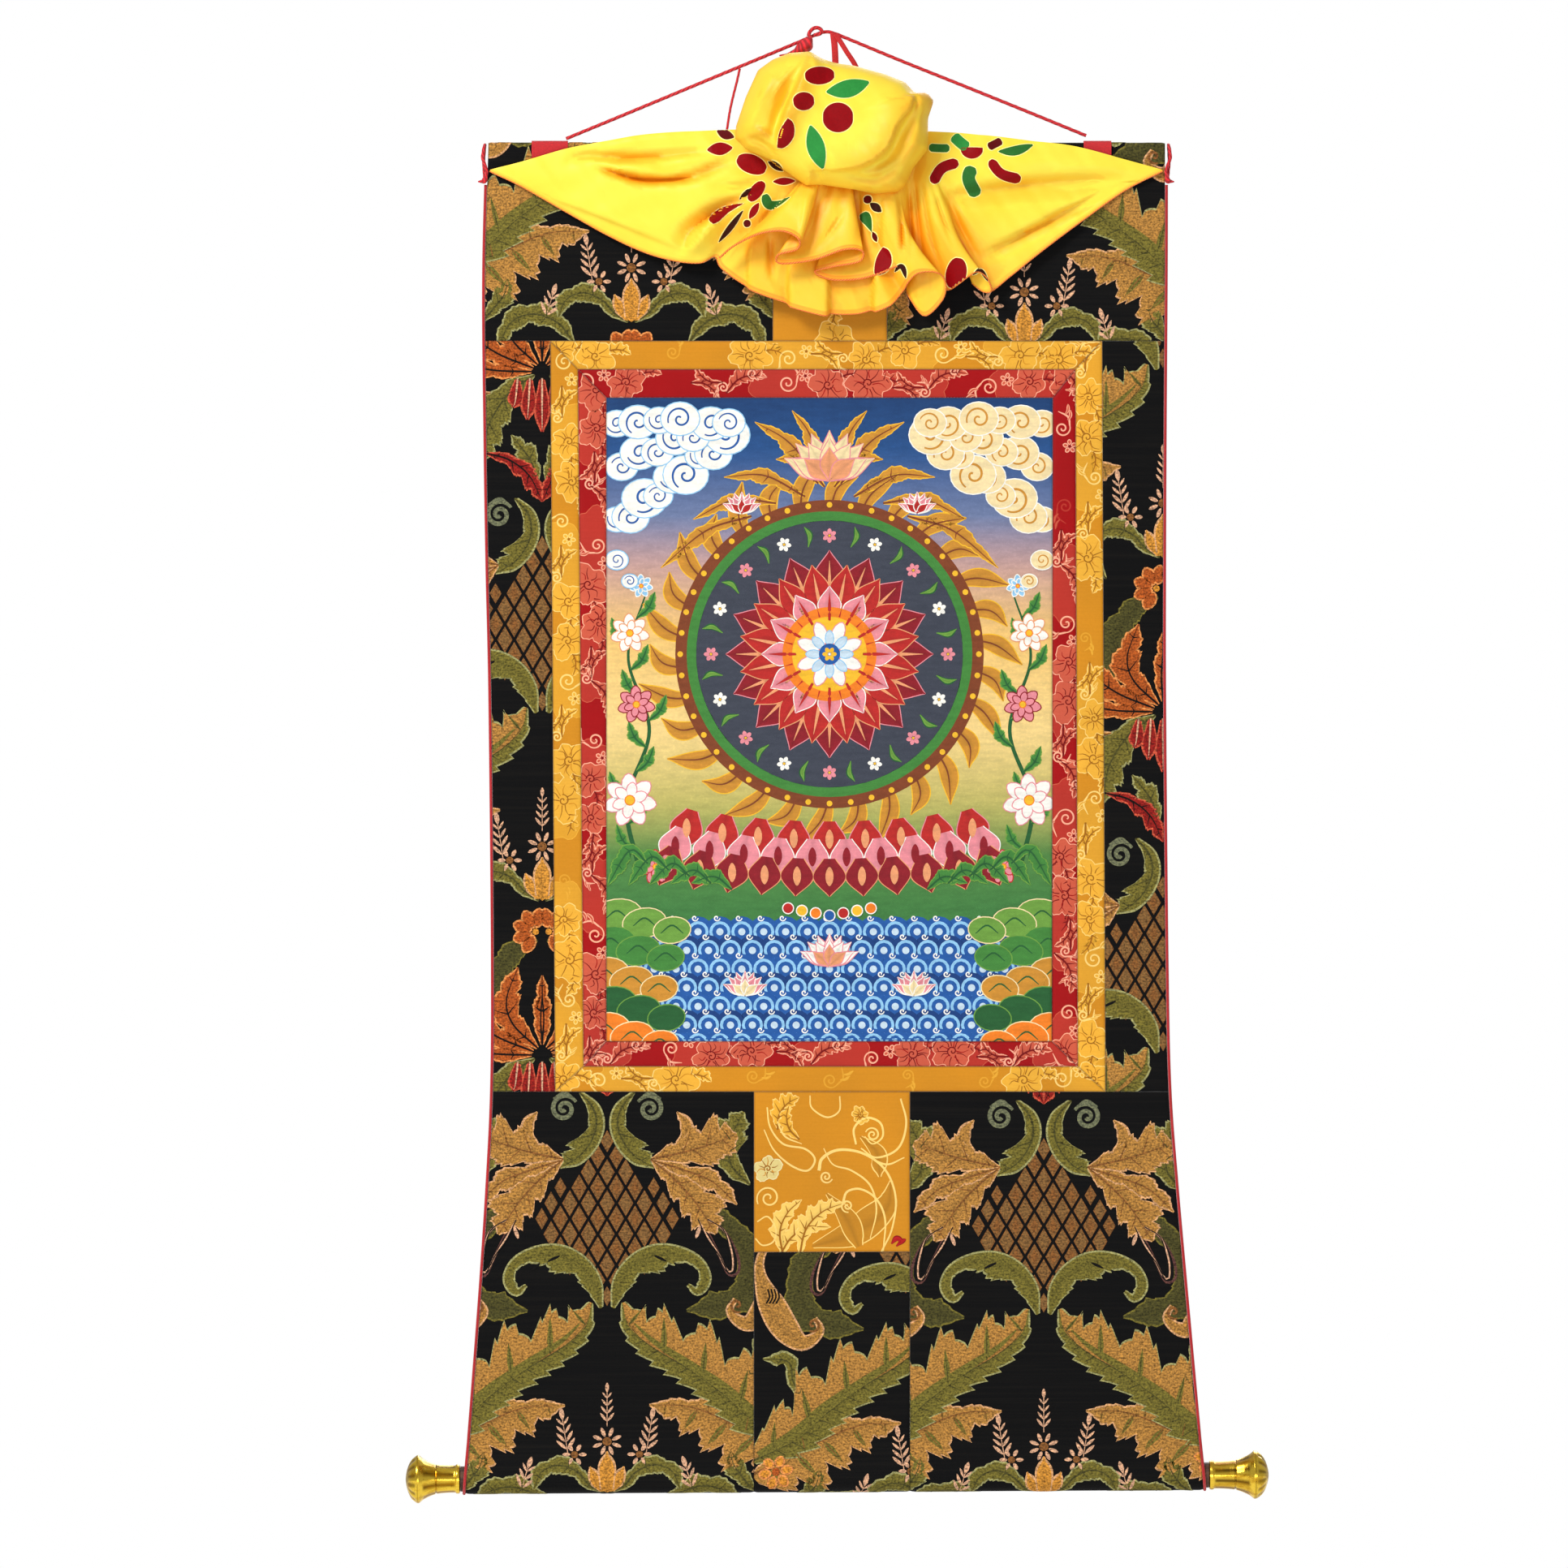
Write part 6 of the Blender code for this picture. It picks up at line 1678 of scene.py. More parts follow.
coverPlan = {
    # columns of the back sheet: hem, gather line and upper edge, each x, z and distance in front
    "columns": [
        ((-265.4, -110.9, 3.6), (-265.0, -110.2, 3.6), (-264.6, -109.6, 3.6)),
        ((-240.0, -123.0, 4.2), (-240.0, -114.0, 6.4), (-240.0, -103.4, 4.6)),
        ((-205.0, -143.0, 5.0), (-205.0, -122.0, 10.0), (-204.0, -93.0, 5.4)),
        ((-172.0, -161.5, 6.0), (-172.0, -130.0, 13.0), (-172.0, -87.0, 6.2)),
        ((-143.0, -175.0, 8.0), (-144.0, -136.0, 16.0), (-146.0, -82.6, 6.8)),
        ((-118.0, -182.0, 11.0), (-122.0, -138.0, 19.0), (-120.0, -80.4, 7.2)),
        ((-99.0, -183.4, 13.0), (-98.0, -137.0, 22.0), (-97.0, -79.4, 7.4)),
        ((-88.0, -178.4, 10.0), (-66.0, -134.0, 18.0), (-76.0, -78.4, 7.4)),
        ((-82.0, -188.0, 10.0), (-48.0, -134.0, 15.0), (-54.0, -78.2, 7.4)),
        ((-60.0, -203.0, 12.0), (-34.0, -135.0, 14.0), (-30.0, -78.2, 7.4)),
        ((-30.0, -213.6, 10.0), (-18.0, -136.0, 14.0), (-10.0, -78.2, 7.4)),
        ((0.0, -221.4, 12.0), (-6.0, -137.0, 14.0), (6.0, -78.2, 7.4)),
        ((22.0, -222.4, 11.0), (6.0, -138.0, 14.0), (16.0, -78.2, 7.4)),
        ((36.0, -219.0, 11.5), (14.0, -138.0, 14.0), (24.0, -78.2, 7.4)),
        ((50.0, -213.4, 14.0), (22.0, -138.0, 15.0), (32.0, -78.2, 7.4)),
        ((60.0, -206.0, 20.0), (29.0, -138.0, 18.0), (38.0, -78.4, 7.4)),
        ((65.0, -198.4, 28.0), (35.0, -138.0, 22.0), (43.0, -78.4, 7.4)),
        ((72.0, -192.4, 33.0), (41.0, -137.0, 26.0), (48.0, -78.4, 7.4)),
        ((83.0, -191.4, 34.0), (47.0, -136.0, 28.0), (53.0, -78.6, 7.6)),
        ((91.0, -194.6, 32.0), (52.0, -135.0, 28.0), (57.0, -78.6, 7.6)),
        ((94.0, -203.0, 27.4), (55.0, -134.0, 26.0), (61.0, -78.8, 7.6)),
        ((90.6, -214.0, 23.0), (58.0, -134.0, 23.2), (65.0, -79.0, 7.8)),
        ((77.6, -225.4, 20.0), (60.0, -134.0, 20.6), (69.0, -79.2, 8.0)),
        ((67.0, -213.4, 17.0), (62.0, -134.0, 18.4), (73.0, -79.4, 8.0)),
        ((63.6, -204.0, 12.6), (64.0, -134.0, 16.6), (77.0, -79.6, 8.2)),
        ((72.0, -201.0, 9.4), (66.0, -133.0, 15.6), (81.0, -79.8, 8.2)),
        ((86.0, -202.4, 9.6), (69.0, -132.0, 16.0), (85.0, -80.0, 8.2)),
        ((96.0, -204.8, 14.0), (72.0, -131.0, 17.6), (89.0, -80.2, 8.2)),
        ((105.0, -199.6, 20.0), (76.0, -130.0, 20.4), (93.0, -80.4, 8.0)),
        ((112.0, -194.4, 24.0), (80.0, -130.0, 22.4), (97.0, -80.6, 8.0)),
        ((119.0, -191.0, 25.4), (84.0, -130.0, 23.2), (101.0, -80.8, 8.0)),
        ((126.4, -196.0, 23.0), (88.0, -130.0, 22.6), (105.0, -81.0, 8.0)),
        ((130.0, -205.4, 18.4), (92.0, -130.0, 21.0), (109.0, -81.4, 7.8)),
        ((124.0, -206.4, 14.6), (95.0, -130.0, 19.4), (113.0, -81.8, 7.8)),
        ((115.4, -200.0, 11.4), (98.0, -130.0, 18.2), (117.0, -82.2, 7.8)),
        ((118.0, -201.0, 8.0), (102.0, -131.0, 17.6), (121.0, -82.6, 7.6)),
        ((128.0, -206.4, 8.0), (109.0, -131.0, 17.6), (127.0, -83.0, 7.6)),
        ((146.0, -193.0, 8.6), (126.0, -131.0, 17.0), (138.0, -84.2, 7.4)),
        ((171.0, -173.0, 8.0), (158.0, -126.0, 14.0), (160.0, -87.0, 6.8)),
        ((203.0, -149.0, 6.0), (196.0, -119.0, 10.0), (196.0, -91.4, 5.8)),
        ((236.0, -125.6, 4.6), (236.0, -113.0, 6.4), (234.0, -101.4, 4.8)),
        ((265.0, -110.9, 3.6), (264.8, -110.2, 3.6), (264.4, -109.6, 3.6)),
    ],
    # ridges and tucks along bent lines in the photograph's pixels, then width left and right, and reach
    "creases": [
        ([(742, 208), (787, 220), (819, 221), (850, 219)], 1.4, 4.0, -9.0),
        ([(742, 205), (787, 212), (832, 218)], 6.0, 1.8, 5.0), ([(832, 221), (859, 217), (885, 205), (903, 197)], 4.0, 5.0, -6.5),
        ([(703, 198), (725, 192), (787, 196), (869, 188)], 3.4, 4.0, -6.0), ([(760, 204), (830, 197), (884, 196)], 3.0, 5.0, 3.0),
        ([(734, 180), (805, 170), (876, 166)], 3.0, 6.0, 2.2),
        ([(842, 306), (848, 289), (864, 275), (894, 257), (916, 246)], 7.0, 2.0, -9.0),
        ([(849, 310), (862, 295), (876, 278), (894, 266)], 2.0, 6.0, 7.0),
        ([(680, 243), (751, 270), (841, 307)], 8.0, 2.0, 3.4), ([(905, 222), (925, 219), (943, 218)], 3.0, 3.0, 2.6),
        ([(880, 232), (912, 229), (943, 222)], 3.0, 3.0, -2.6), ([(890, 246), (918, 236), (944, 224)], 3.0, 3.0, 2.4),
        ([(1165, 246), (1221, 236), (1282, 228), (1379, 224)], 6.0, 13.0, -10.0),
        ([(1209, 317), (1270, 283), (1355, 241)], 1.8, 6.0, -7.0), ([(1291, 266), (1330, 252), (1369, 232)], 1.6, 4.0, -4.5),
        ([(1160, 182), (1270, 196), (1391, 208)], 8.0, 8.0, 2.8), ([(1150, 215), (1185, 285), (1212, 335)], 4.0, 2.0, -4.0),
        ([(1118, 230), (1122, 286), (1119, 334)], 1.8, 1.8, -2.6), ([(1127, 230), (1133, 286), (1137, 320)], 1.6, 1.6, -2.4),
        ([(1136, 230), (1146, 286), (1161, 339)], 2.0, 2.0, -3.0), ([(1146, 223), (1163, 276), (1176, 310)], 2.0, 2.0, -2.4),
        ([(1110, 247), (1111, 295), (1108, 320)], 1.6, 1.6, -2.4), ([(1059, 240), (1060, 272), (1059, 307)], 1.5, 4.0, -4.0),
        ([(1085, 246), (1084, 275), (1081, 302)], 1.8, 2.4, -3.4), ([(1106, 242), (1110, 285), (1114, 324)], 2.0, 2.0, -3.0),
        ([(995, 237), (991, 270), (986, 302)], 4.0, 2.6, 2.8), ([(1005, 240), (1004, 258), (1002, 276)], 3.0, 3.0, -2.8),
        ([(1041, 261), (1022, 289), (1006, 307)], 3.0, 2.0, -2.4), ([(962, 240), (950, 262), (930, 285)], 3.0, 4.0, -2.6),
        ([(948, 292), (948, 315), (950, 340)], 4.0, 1.6, -4.0),
    ],
    # edges of the box pleats in the fan: x, then the step that the cloth takes there
    "boxPleats": [(-61.6, 4.0), (-29.7, 7.0), (1.5, -7.5), (36.9, 7.0)], "fanColumns": (8, 14), "pleatStep": 1.1,
    # frill: hem x, z and distance in front, then neck x and distance
    "frill": [
        ((-84.0, -180.0, 24.0), (-18.0, 24.0)), ((-72.0, -170.6, 32.0), (-16.0, 30.0)),
        ((-52.0, -161.6, 40.0), (-14.0, 35.0)), ((-34.0, -160.0, 45.0), (-12.0, 38.0)),
        ((-22.0, -166.0, 46.0), (-7.0, 38.0)), ((-23.0, -174.0, 42.0), (-4.0, 35.4)),
        ((-38.0, -178.4, 39.4), (-3.0, 33.2)), ((-36.0, -185.0, 36.0), (0.0, 31.0)),
        ((-10.0, -182.0, 35.0), (8.0, 30.0)), ((14.0, -174.0, 36.0), (15.0, 30.0)),
        ((28.0, -175.0, 34.0), (19.0, 28.0)), ((26.0, -183.0, 30.6), (19.0, 25.6)),
        ((6.0, -187.0, 28.4), (15.0, 24.0)), ((-9.0, -191.0, 26.0), (12.0, 22.4)),
        ((4.0, -197.0, 23.0), (15.0, 20.6)), ((26.0, -196.4, 22.4), (22.0, 20.2)),
        ((42.0, -192.0, 25.0), (29.0, 21.4)), ((56.0, -186.8, 27.4), (35.0, 23.0)),
        ((62.6, -189.6, 25.6), (38.0, 22.4)), ((62.0, -198.0, 20.0), (37.0, 19.4)),
        ((55.0, -204.0, 15.6), (35.0, 17.0)),
    ],
    "neckHeight": -113.0, "neckEase": 1.25, "neckIn": 0.55,
    "thick": 0.7,
    "bunchCentre": (6.0, -26.0, -74.0),
    # outline of the bunch in the photograph's pixels
    "bunchOutline": [
        (1150, 127), (1143, 117), (1127, 117), (1115, 104), (1090, 94), (1054, 84), (1028, 80), (1013, 75), (998, 66),
        (972, 68), (952, 76), (934, 89), (919, 122), (907, 158), (906, 173), (919, 186), (949, 199), (972, 216), (993, 231),
        (1013, 230), (1054, 236), (1077, 241), (1105, 239), (1115, 232), (1125, 209), (1143, 186), (1143, 148),
    ],
    "bunchFront": 33.0, "bunchBack": 15.0, "bunchRound": 3.4,
    "bunchCreases": [
        ([(999, 69), (985, 109), (970, 142), (958, 186)], 11.0, 2.0, 8.0), ([(979, 104), (962, 140), (952, 173)], 2.2, 5.0, -10.0),
        ([(962, 86), (937, 127), (921, 163)], 8.0, 8.0, 5.0), ([(922, 173), (944, 183), (953, 196)], 2.0, 3.0, -5.0),
        ([(925, 165), (939, 167), (950, 172)], 3.0, 3.0, 3.4), ([(990, 74), (968, 100), (950, 128)], 2.4, 2.4, 2.0),
        ([(1115, 104), (1124, 130), (1101, 163), (1095, 183), (1064, 207), (1023, 213)], 2.0, 16.0, 8.5),
        ([(1118, 148), (1105, 173), (1090, 199), (1061, 215)], 6.0, 2.0, -8.0),
        ([(1135, 127), (1130, 173), (1110, 219)], 6.0, 6.0, 4.0), ([(1044, 219), (1077, 224), (1105, 209)], 3.0, 4.0, -4.0),
        ([(998, 69), (1023, 81), (1054, 89)], 3.0, 5.0, 2.0), ([(1000, 205), (1008, 219), (1010, 228)], 2.0, 5.0, -3.0),
        ([(1126, 120), (1128, 128), (1124, 140)], 2.0, 2.0, -3.0),
    ],
    # the warm orange is painted shade: it tints the silk in folds and where other cloth stands close
    "bright": "#ffe447", "warmShade": "#ffa30c", "hemBand": 3.4, "hemLine": (2.6, 0.4), "hemTone": "#ff7a1c",
    "shadeReach": 32.0,
}


def creaseHeight(creases, x, z):
    # how far ridges and tucks along bent lines raise the cloth; each fades at its ends
    height = np.zeros(np.shape(x))
    for points, leftWidth, rightWidth, reach in creases:
        line = catmull([fromPhoto(*p) for p in points], 14)
        nearest = np.full(np.shape(x), 1e9)
        raised = np.zeros(np.shape(x))
        for i in range(len(line) - 1):
            (ax, az), (bx, bz) = line[i], line[i + 1]
            length = math.hypot(bx - ax, bz - az)
            ux, uz = (bx - ax) / length, (bz - az) / length
            along = np.clip((x - ax) * ux + (z - az) * uz, 0, length)
            dx, dz = x - ax - along * ux, z - az - along * uz
            gap = np.hypot(dx, dz)
            width = np.where(ux * dz - uz * dx > 0, leftWidth, rightWidth)
            fade = np.sin(math.pi * (0.04 + 0.92 * (i + along / length) / (len(line) - 1))) ** 0.7
            closer = gap < nearest
            nearest = np.where(closer, gap, nearest)
            raised = np.where(closer, reach * fade * np.exp(-(gap / width) ** 2), raised)
        height += raised
    return height


def crumple(x, z):
    # faint unevenness of worn silk
    return (0.5 * np.sin(0.21 * x + 0.13 * z + 1.3 * np.sin(0.05 * z)) + 0.4 * np.sin(0.11 * x - 0.27 * z + 1.1 * np.sin(0.07 * x))
            + 0.25 * np.sin(0.43 * x + 0.31 * z))


def columnPath(rows, count):
    # smooth columns at even steps along the hem
    rows = np.asarray(rows, dtype=float)
    fine = np.linspace(0, 1, 24 * (len(rows) - 1) + 1)
    dense = np.column_stack([profile(rows[:, k], fine) for k in range(rows.shape[1])])
    along = np.concatenate([[0], np.cumsum(np.linalg.norm(np.diff(dense[:, :3], axis=0), axis=1))])
    wanted = np.linspace(0, along[-1], count)
    return np.column_stack([np.interp(wanted, along, dense[:, k]) for k in range(rows.shape[1])])


def coverBack(plan, across=380, down=56):
    first, last = plan["fanColumns"]
    rows = [h + g + u + (float(first <= i <= last),) for i, (h, g, u) in enumerate(plan["columns"])]
    columns = columnPath(rows, across)
    share = np.concatenate([np.linspace(0, 0.93, down - 12), np.linspace(0.94, 1, 12)])[:, None]
    hem, gather, upper, fan = columns[:, 0:3], columns[:, 3:6], columns[:, 6:9], np.clip(columns[:, 9], 0, 1)
    pull = 2 * gather - (upper + hem) / 2
    s = share[:, :, None]
    points = (1 - s) ** 2 * upper + 2 * s * (1 - s) * pull + s ** 2 * hem
    x, z, out = points[..., 0], points[..., 1], points[..., 2]
    step = sum(reach * (0.5 + 0.5 * np.tanh((x - edge) / plan["pleatStep"])) for edge, reach in plan["boxPleats"])
    step = step * fan * smoothstep(0.55, 0.95, share)
    hold = smoothstep(0, 14, np.abs(np.abs(x) - 265))
    out = out + (creaseHeight(plan["creases"], x, z) + crumple(x, z) * 0.5) * hold + step
    return np.stack([x, -np.maximum(out, 3.0), z - 0.4 * step], axis=2) * mm


def coverFrill(plan, across=240, down=34):
    rows = [hem + (neck[0], plan["neckHeight"], neck[1]) for hem, neck in plan["frill"]]
    columns = columnPath(rows, across)
    share = np.concatenate([np.linspace(0, 0.93, down - 10), np.linspace(0.94, 1, 10)])[:, None]
    x = columns[:, 3] + (columns[:, 0] - columns[:, 3]) * share ** plan["neckEase"]
    z = columns[:, 4] + (columns[:, 1] - columns[:, 4]) * share
    out = plan["neckIn"] * columns[:, 5] + (columns[:, 2] - plan["neckIn"] * columns[:, 5]) * share ** 0.8
    gathers = 1.3 * np.sin(np.linspace(0, 62, across))[None, :] * (1 - share) ** 0.8
    out = out + gathers + creaseHeight(plan["creases"], x, z) * 0.8 + crumple(x, z) * 0.4
    return np.stack([x, -out, z], axis=2) * mm


def coverBunch(plan, segments=200, frontRings=62, backRings=12):
    cx, cy, cz = plan["bunchCentre"]
    outline = np.array([fromPhoto(*p) for p in plan["bunchOutline"]])
    edge = np.vstack([outline[i] + (outline[(i + 1) % len(outline)] - outline[i]) * k / 8
                      for i in range(len(outline)) for k in range(8)]) - (cx, cz)
    turn = np.linspace(0, 2 * math.pi, segments, endpoint=False)
    reach = np.interp(turn, np.arctan2(edge[:, 1], edge[:, 0]), np.hypot(edge[:, 0], edge[:, 1]), period=2 * math.pi)
    verts = []
    for r in range(frontRings + 1 + backRings):
        if r <= frontRings:
            share = math.sin(math.pi / 2 * max(r, 0.02) / frontRings) ** 0.8
            depth = -plan["bunchFront"] * (1 - share ** plan["bunchRound"]) ** 0.5
        else:
            lean = math.pi / 2 * (r - frontRings) / backRings
            share, depth = max(math.cos(lean), 0.002), plan["bunchBack"] * math.sin(lean)
        x = cx + reach * share * np.cos(turn)
        z = cz + reach * share * np.sin(turn)
        stand = 0 * x
        if r < frontRings:
            stand = (creaseHeight(plan["bunchCreases"], x, z) + crumple(x, z) * 0.5) * (1 - smoothstep(0.9, 1.0, share))
        verts.append(np.column_stack([x, cy + depth - stand, z]))
    verts = np.vstack(verts) * mm
    faces = []
    rings = frontRings + 1 + backRings
    for r in range(rings - 1):
        for k in range(segments):
            m = (k + 1) % segments
            faces.append((r * segments + k, r * segments + m, (r + 1) * segments + m, (r + 1) * segments + k))
    faces.append(tuple(range(segments))[::-1])
    faces.append(tuple((rings - 1) * segments + k for k in range(segments)))
    return verts, faces


def hemGap(middle):
    # distance of each place on a sheet from its hem, millimetres, on both of its sides
    steps = np.linalg.norm(np.diff(middle, axis=0), axis=2)
    gap = np.vstack([np.cumsum(steps[::-1], axis=0)[::-1], np.zeros(middle.shape[1])]) / mm
    return np.tile(gap.ravel(), 2)


def nearCloth(tree, spots, normals, reach):
    # how much of the view out from each spot is taken up by other cloth
    rays = [(math.sin(lean) * math.cos(turn), math.sin(lean) * math.sin(turn), math.cos(lean))
            for lean, count in ((0.5, 3), (1.1, 6)) for turn in np.linspace(0, 2 * math.pi, count, endpoint=False)]
    shares = []
    for spot, normal in zip(spots, normals):
        up = Vector(normal)
        start = Vector(spot) + up * 0.0006
        side = up.cross((0.1, 0.2, 1.0)).normalized()
        other = up.cross(side)
        total = 0.0
        for a, b, c in rays:
            found = tree.ray_cast(start, side * a + other * b + up * c, reach)
            if found[0] is not None:
                total += 1 - found[3] / reach
        shares.append(total / len(rays))
    return np.array(shares)


def silkTints(plan, places, hemGaps, near, sheetCount):
    # bright silk with painted shade, warmer and darker where cloth stands close and warmer over the frill and the lower
    # fan; orange along its stitched hem
    x, z = places[:, 0] / mm, places[:, 2] / mm
    # painted warm shade over the frill and the fan under the bunch
    warmShade = 0.4 * smoothstep(-95, -60, x) * smoothstep(150, 105, x) * smoothstep(-118, -160, z)
    warmShade[sheetCount:] = 0
    # painted shade: warmer where other cloth stands close
    warmShade = np.clip(warmShade + 1.5 * near ** 0.9, 0, 1)[:, None]
    bright, deep, hem = (np.array(srgb(plan[key])) for key in ("bright", "warmShade", "hemTone"))
    tints = bright + (deep - bright) * warmShade
    wide = plan["hemBand"] * (0.7 + 0.5 * smoothstep(-95, -80, x) * smoothstep(110, 70, x))
    line, half = plan["hemLine"]
    stitched = 0.4 * smoothstep(wide, wide - 1.0, hemGaps) + 0.25 * np.exp(-((hemGaps - line) / half) ** 2)
    tints = tints + (hem - tints) * np.clip(stitched, 0, 1)[:, None]
    # painted shade: darker where other cloth stands close
    return tints * np.array((1, 1, 1, 1)) * (1 - 0.26 * near[:, None])


def addCover(plan):
    back, frill = coverBack(plan), coverFrill(plan)
    verts, faces, gaps = [], [], []
    for middle in (back, frill):
        part, partFaces, sides, lay, tints = sheetParts(middle, plan["thick"] * mm, np.zeros_like(middle))
        start = sum(len(v) for v in verts)
        verts.append(part)
        faces += [tuple(i + start for i in face) for face in partFaces]
        gaps.append(hemGap(middle))
    part, partFaces = coverBunch(plan)
    start = sum(len(v) for v in verts)
    verts.append(part)
    gaps.append(np.full(len(part), 99.0))
    faces += [tuple(i + start for i in face) for face in partFaces]
    places = np.vstack(verts)
    cover = addMesh("silkCover", places, faces, ["silkFace"], sharp=80)
    tree = BVHTree.FromPolygons(places.tolist(), faces)
    normals = np.zeros(len(places) * 3)
    cover.data.vertices.foreach_get("normal", normals)
    # how close other cloth stands, for the painted shade in the silk's tint
    near = nearCloth(tree, places.tolist(), normals.reshape(-1, 3).tolist(), plan["shadeReach"] * mm)
    tints = silkTints(plan, places, np.concatenate(gaps), near, start)
    tints[:, 3] = 1
    held = cover.data.attributes.new("tint", "FLOAT_COLOR", "POINT")
    held.data.foreach_set("color", tints.astype(np.float32).ravel())
    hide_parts("silk_cover")
    extras = [addPrint(printPlan, tree)]
    for name, middle, radius in (("hemStitchBack", back, 0.62), ("hemStitchFrill", frill, 0.8)):
        path = catmull(middle[-1], int(pathLength(middle[-1]) / 0.0012))
        stitch = addTube(name, path, radius * mm, "orangeThread", None, sides=8, lobes=2, pitch=0.003, depth=0.18)
        extras.append(stitch)
    return cover


# The print on the silk: fruits, leaves and strokes with pale edges

printPlan = {
    "pale": "#fff59a", "paleEdge": 0.75, "lifts": (0.15, 0.5), "tuck": -0.3, "jump": 8.0, "along": 34,
    "tones": {"red": "#8a0009", "wine": "#58060a", "green": "#2c8a3c", "moss": "#2b6b2c", "dark": "#35130c"},
    # tone, outline kind, spine in the photograph's pixels, half width left and right of it
    "shapes": [
        ("red", "round", [(991, 100), (1028, 97)], 11.3, 11.3), ("green", "leaf", [(1017, 119), (1043, 115), (1071, 106)], 11, 11),
        ("red", "round", [(977, 132), (1003, 129)], 11.2, 11.2), ("red", "round", [(1013, 150), (1051, 150)], 18.6, 18.6),
        ("red", "round", [(971, 151), (962, 168), (958, 187)], 17, 1), ("green", "leaf", [(998, 159), (1005, 186), (1014, 213)], 11, 11),
        ("wine", "leaf", [(883, 162), (895, 166), (905, 170)], 5, 7), ("red", "leaf", [(871, 186), (887, 184), (903, 183)], 7.5, 8.5),
        ("red", "round", [(908, 196), (944, 211)], 12, 12), ("dark", "leaf", [(946, 200), (965, 212)], 3.6, 3.6),
        ("red", "leaf", [(952, 225), (980, 224)], 4.6, 4.6), ("dark", "leaf", [(911, 247), (926, 233)], 2.8, 2.8),
        ("red", "round", [(923, 249), (941, 225)], 7.6, 7.6), ("moss", "drop", [(942, 240), (947, 253), (959, 252), (974, 245)], 6, 6),
        ("red", "drop", [(875, 276), (893, 261), (916, 252)], 6.4, 6.4), ("dark", "leaf", [(916, 260), (901, 280), (885, 300)], 3.6, 3.6),
        ("red", "leaf", [(935, 251), (923, 271)], 4.4, 4.4), ("wine", "round", [(916, 277), (925, 276)], 4.6, 4.6),
        ("wine", "round", [(1064, 248), (1074, 247)], 5, 5), ("dark", "leaf", [(1072, 252), (1086, 263)], 5, 5),
        ("moss", "drop", [(1063, 263), (1069, 275), (1074, 288)], 6.6, 6.6), ("wine", "leaf", [(1075, 287), (1080, 300)], 3.2, 3.2),
        ("red", "round", [(1089, 306), (1082, 322), (1078, 340)], 17, 3), ("dark", "leaf", [(1102, 337), (1110, 331), (1116, 345)], 4, 2),
        ("red", "round", [(1181, 319), (1173, 357)], 13.5, 12), ("dark", "leaf", [(1198, 340), (1208, 335), (1217, 348)], 3, 2),
        ("moss", "bean", [(1144, 183), (1157, 184), (1170, 184)], 5, 5), ("green", "bean", [(1174, 168), (1182, 176), (1192, 184)], 7, 7),
        ("red", "round", [(1183, 184), (1211, 184)], 1, 13), ("wine", "bean", [(1217, 183), (1234, 174)], 5, 5),
        ("moss", "leaf", [(1229, 188), (1250, 187), (1273, 179)], 6, 6), ("red", "bean", [(1148, 228), (1160, 209), (1181, 201)], 6.6, 6.6),
        ("moss", "bean", [(1198, 206), (1193, 222), (1204, 243)], 8, 8), ("red", "bean", [(1219, 198), (1233, 215), (1258, 222)], 6.2, 6.2),
    ],
}
printEdges = {
    "round": lambda t: np.sqrt(np.maximum(0, 1 - (2 * t - 1) ** 2)),
    "leaf": lambda t: np.sin(math.pi * t) ** 0.85,
    "drop": lambda t: np.sin(math.pi * np.sqrt(t)),
    "bean": lambda t: np.minimum(1, 1.45 * np.sqrt(np.maximum(0, 1 - (2 * t - 1) ** 2))),
}


def addPrint(plan, tree):
    verts, faces, tints = [], [], []
    shares = np.linspace(0, 1, plan["along"])
    across = (1.0, 0.97, 0.75, 0.5, 0.25, 0.0, -0.25, -0.5, -0.75, -0.97, -1.0)
    for tone, kind, spine, left, right in plan["shapes"]:
        for grow, code, lift in ((plan["paleEdge"], plan["pale"], plan["lifts"][0]), (0.0, plan["tones"][tone], plan["lifts"][1])):
            line = catmull([fromPhoto(*p) for p in spine], plan["along"])
            run = np.gradient(line, axis=0)
            run /= np.linalg.norm(run, axis=1, keepdims=True)
            line = line + run * (2 * shares - 1)[:, None] * grow
            aside = np.column_stack([-run[:, 1], run[:, 0]])
            wide = np.clip(printEdges[kind](shares), 0, 1)
            ends = np.minimum(1, 6 * np.minimum(shares, 1 - shares) + 0.02)
            found = {}
            for i in range(plan["along"]):
                for k, s in enumerate(across):
                    half = ((left if s > 0 else right) * pixel * wide[i] + grow * ends[i]) * s
                    x, z = (line[i] + aside[i] * half) * mm
                    spot, normal, index, distance = tree.ray_cast(Vector((x, -0.3, z)), Vector((0, 1, 0)))
                    if spot is None:
                        continue
                    rim = i in (0, plan["along"] - 1) or abs(s) == 1.0
                    out = normal if normal.y < 0 else -normal
                    found[i, k] = spot + out * (plan["tuck"] if rim else lift) * mm
            names = {}
            for i in range(plan["along"] - 1):
                for k in range(len(across) - 1):
                    corners = [(i, k), (i, k + 1), (i + 1, k + 1), (i + 1, k)]
                    if not all(c in found for c in corners):
                        continue
                    depths = [found[c].y for c in corners]
                    if max(depths) - min(depths) > plan["jump"] * mm:
                        continue
                    for c in corners:
                        if c not in names:
                            names[c] = len(verts)
                            verts.append(tuple(found[c]))
                            tints.append(srgb(code))
                    faces.append(tuple(names[c] for c in corners))
    made = addMesh("coverPrint", verts, faces, ["printedSilk"], tints=tints)
    return made


cover = addCover(coverPlan)
print("silk cover made")


# Roller, batten and knobs

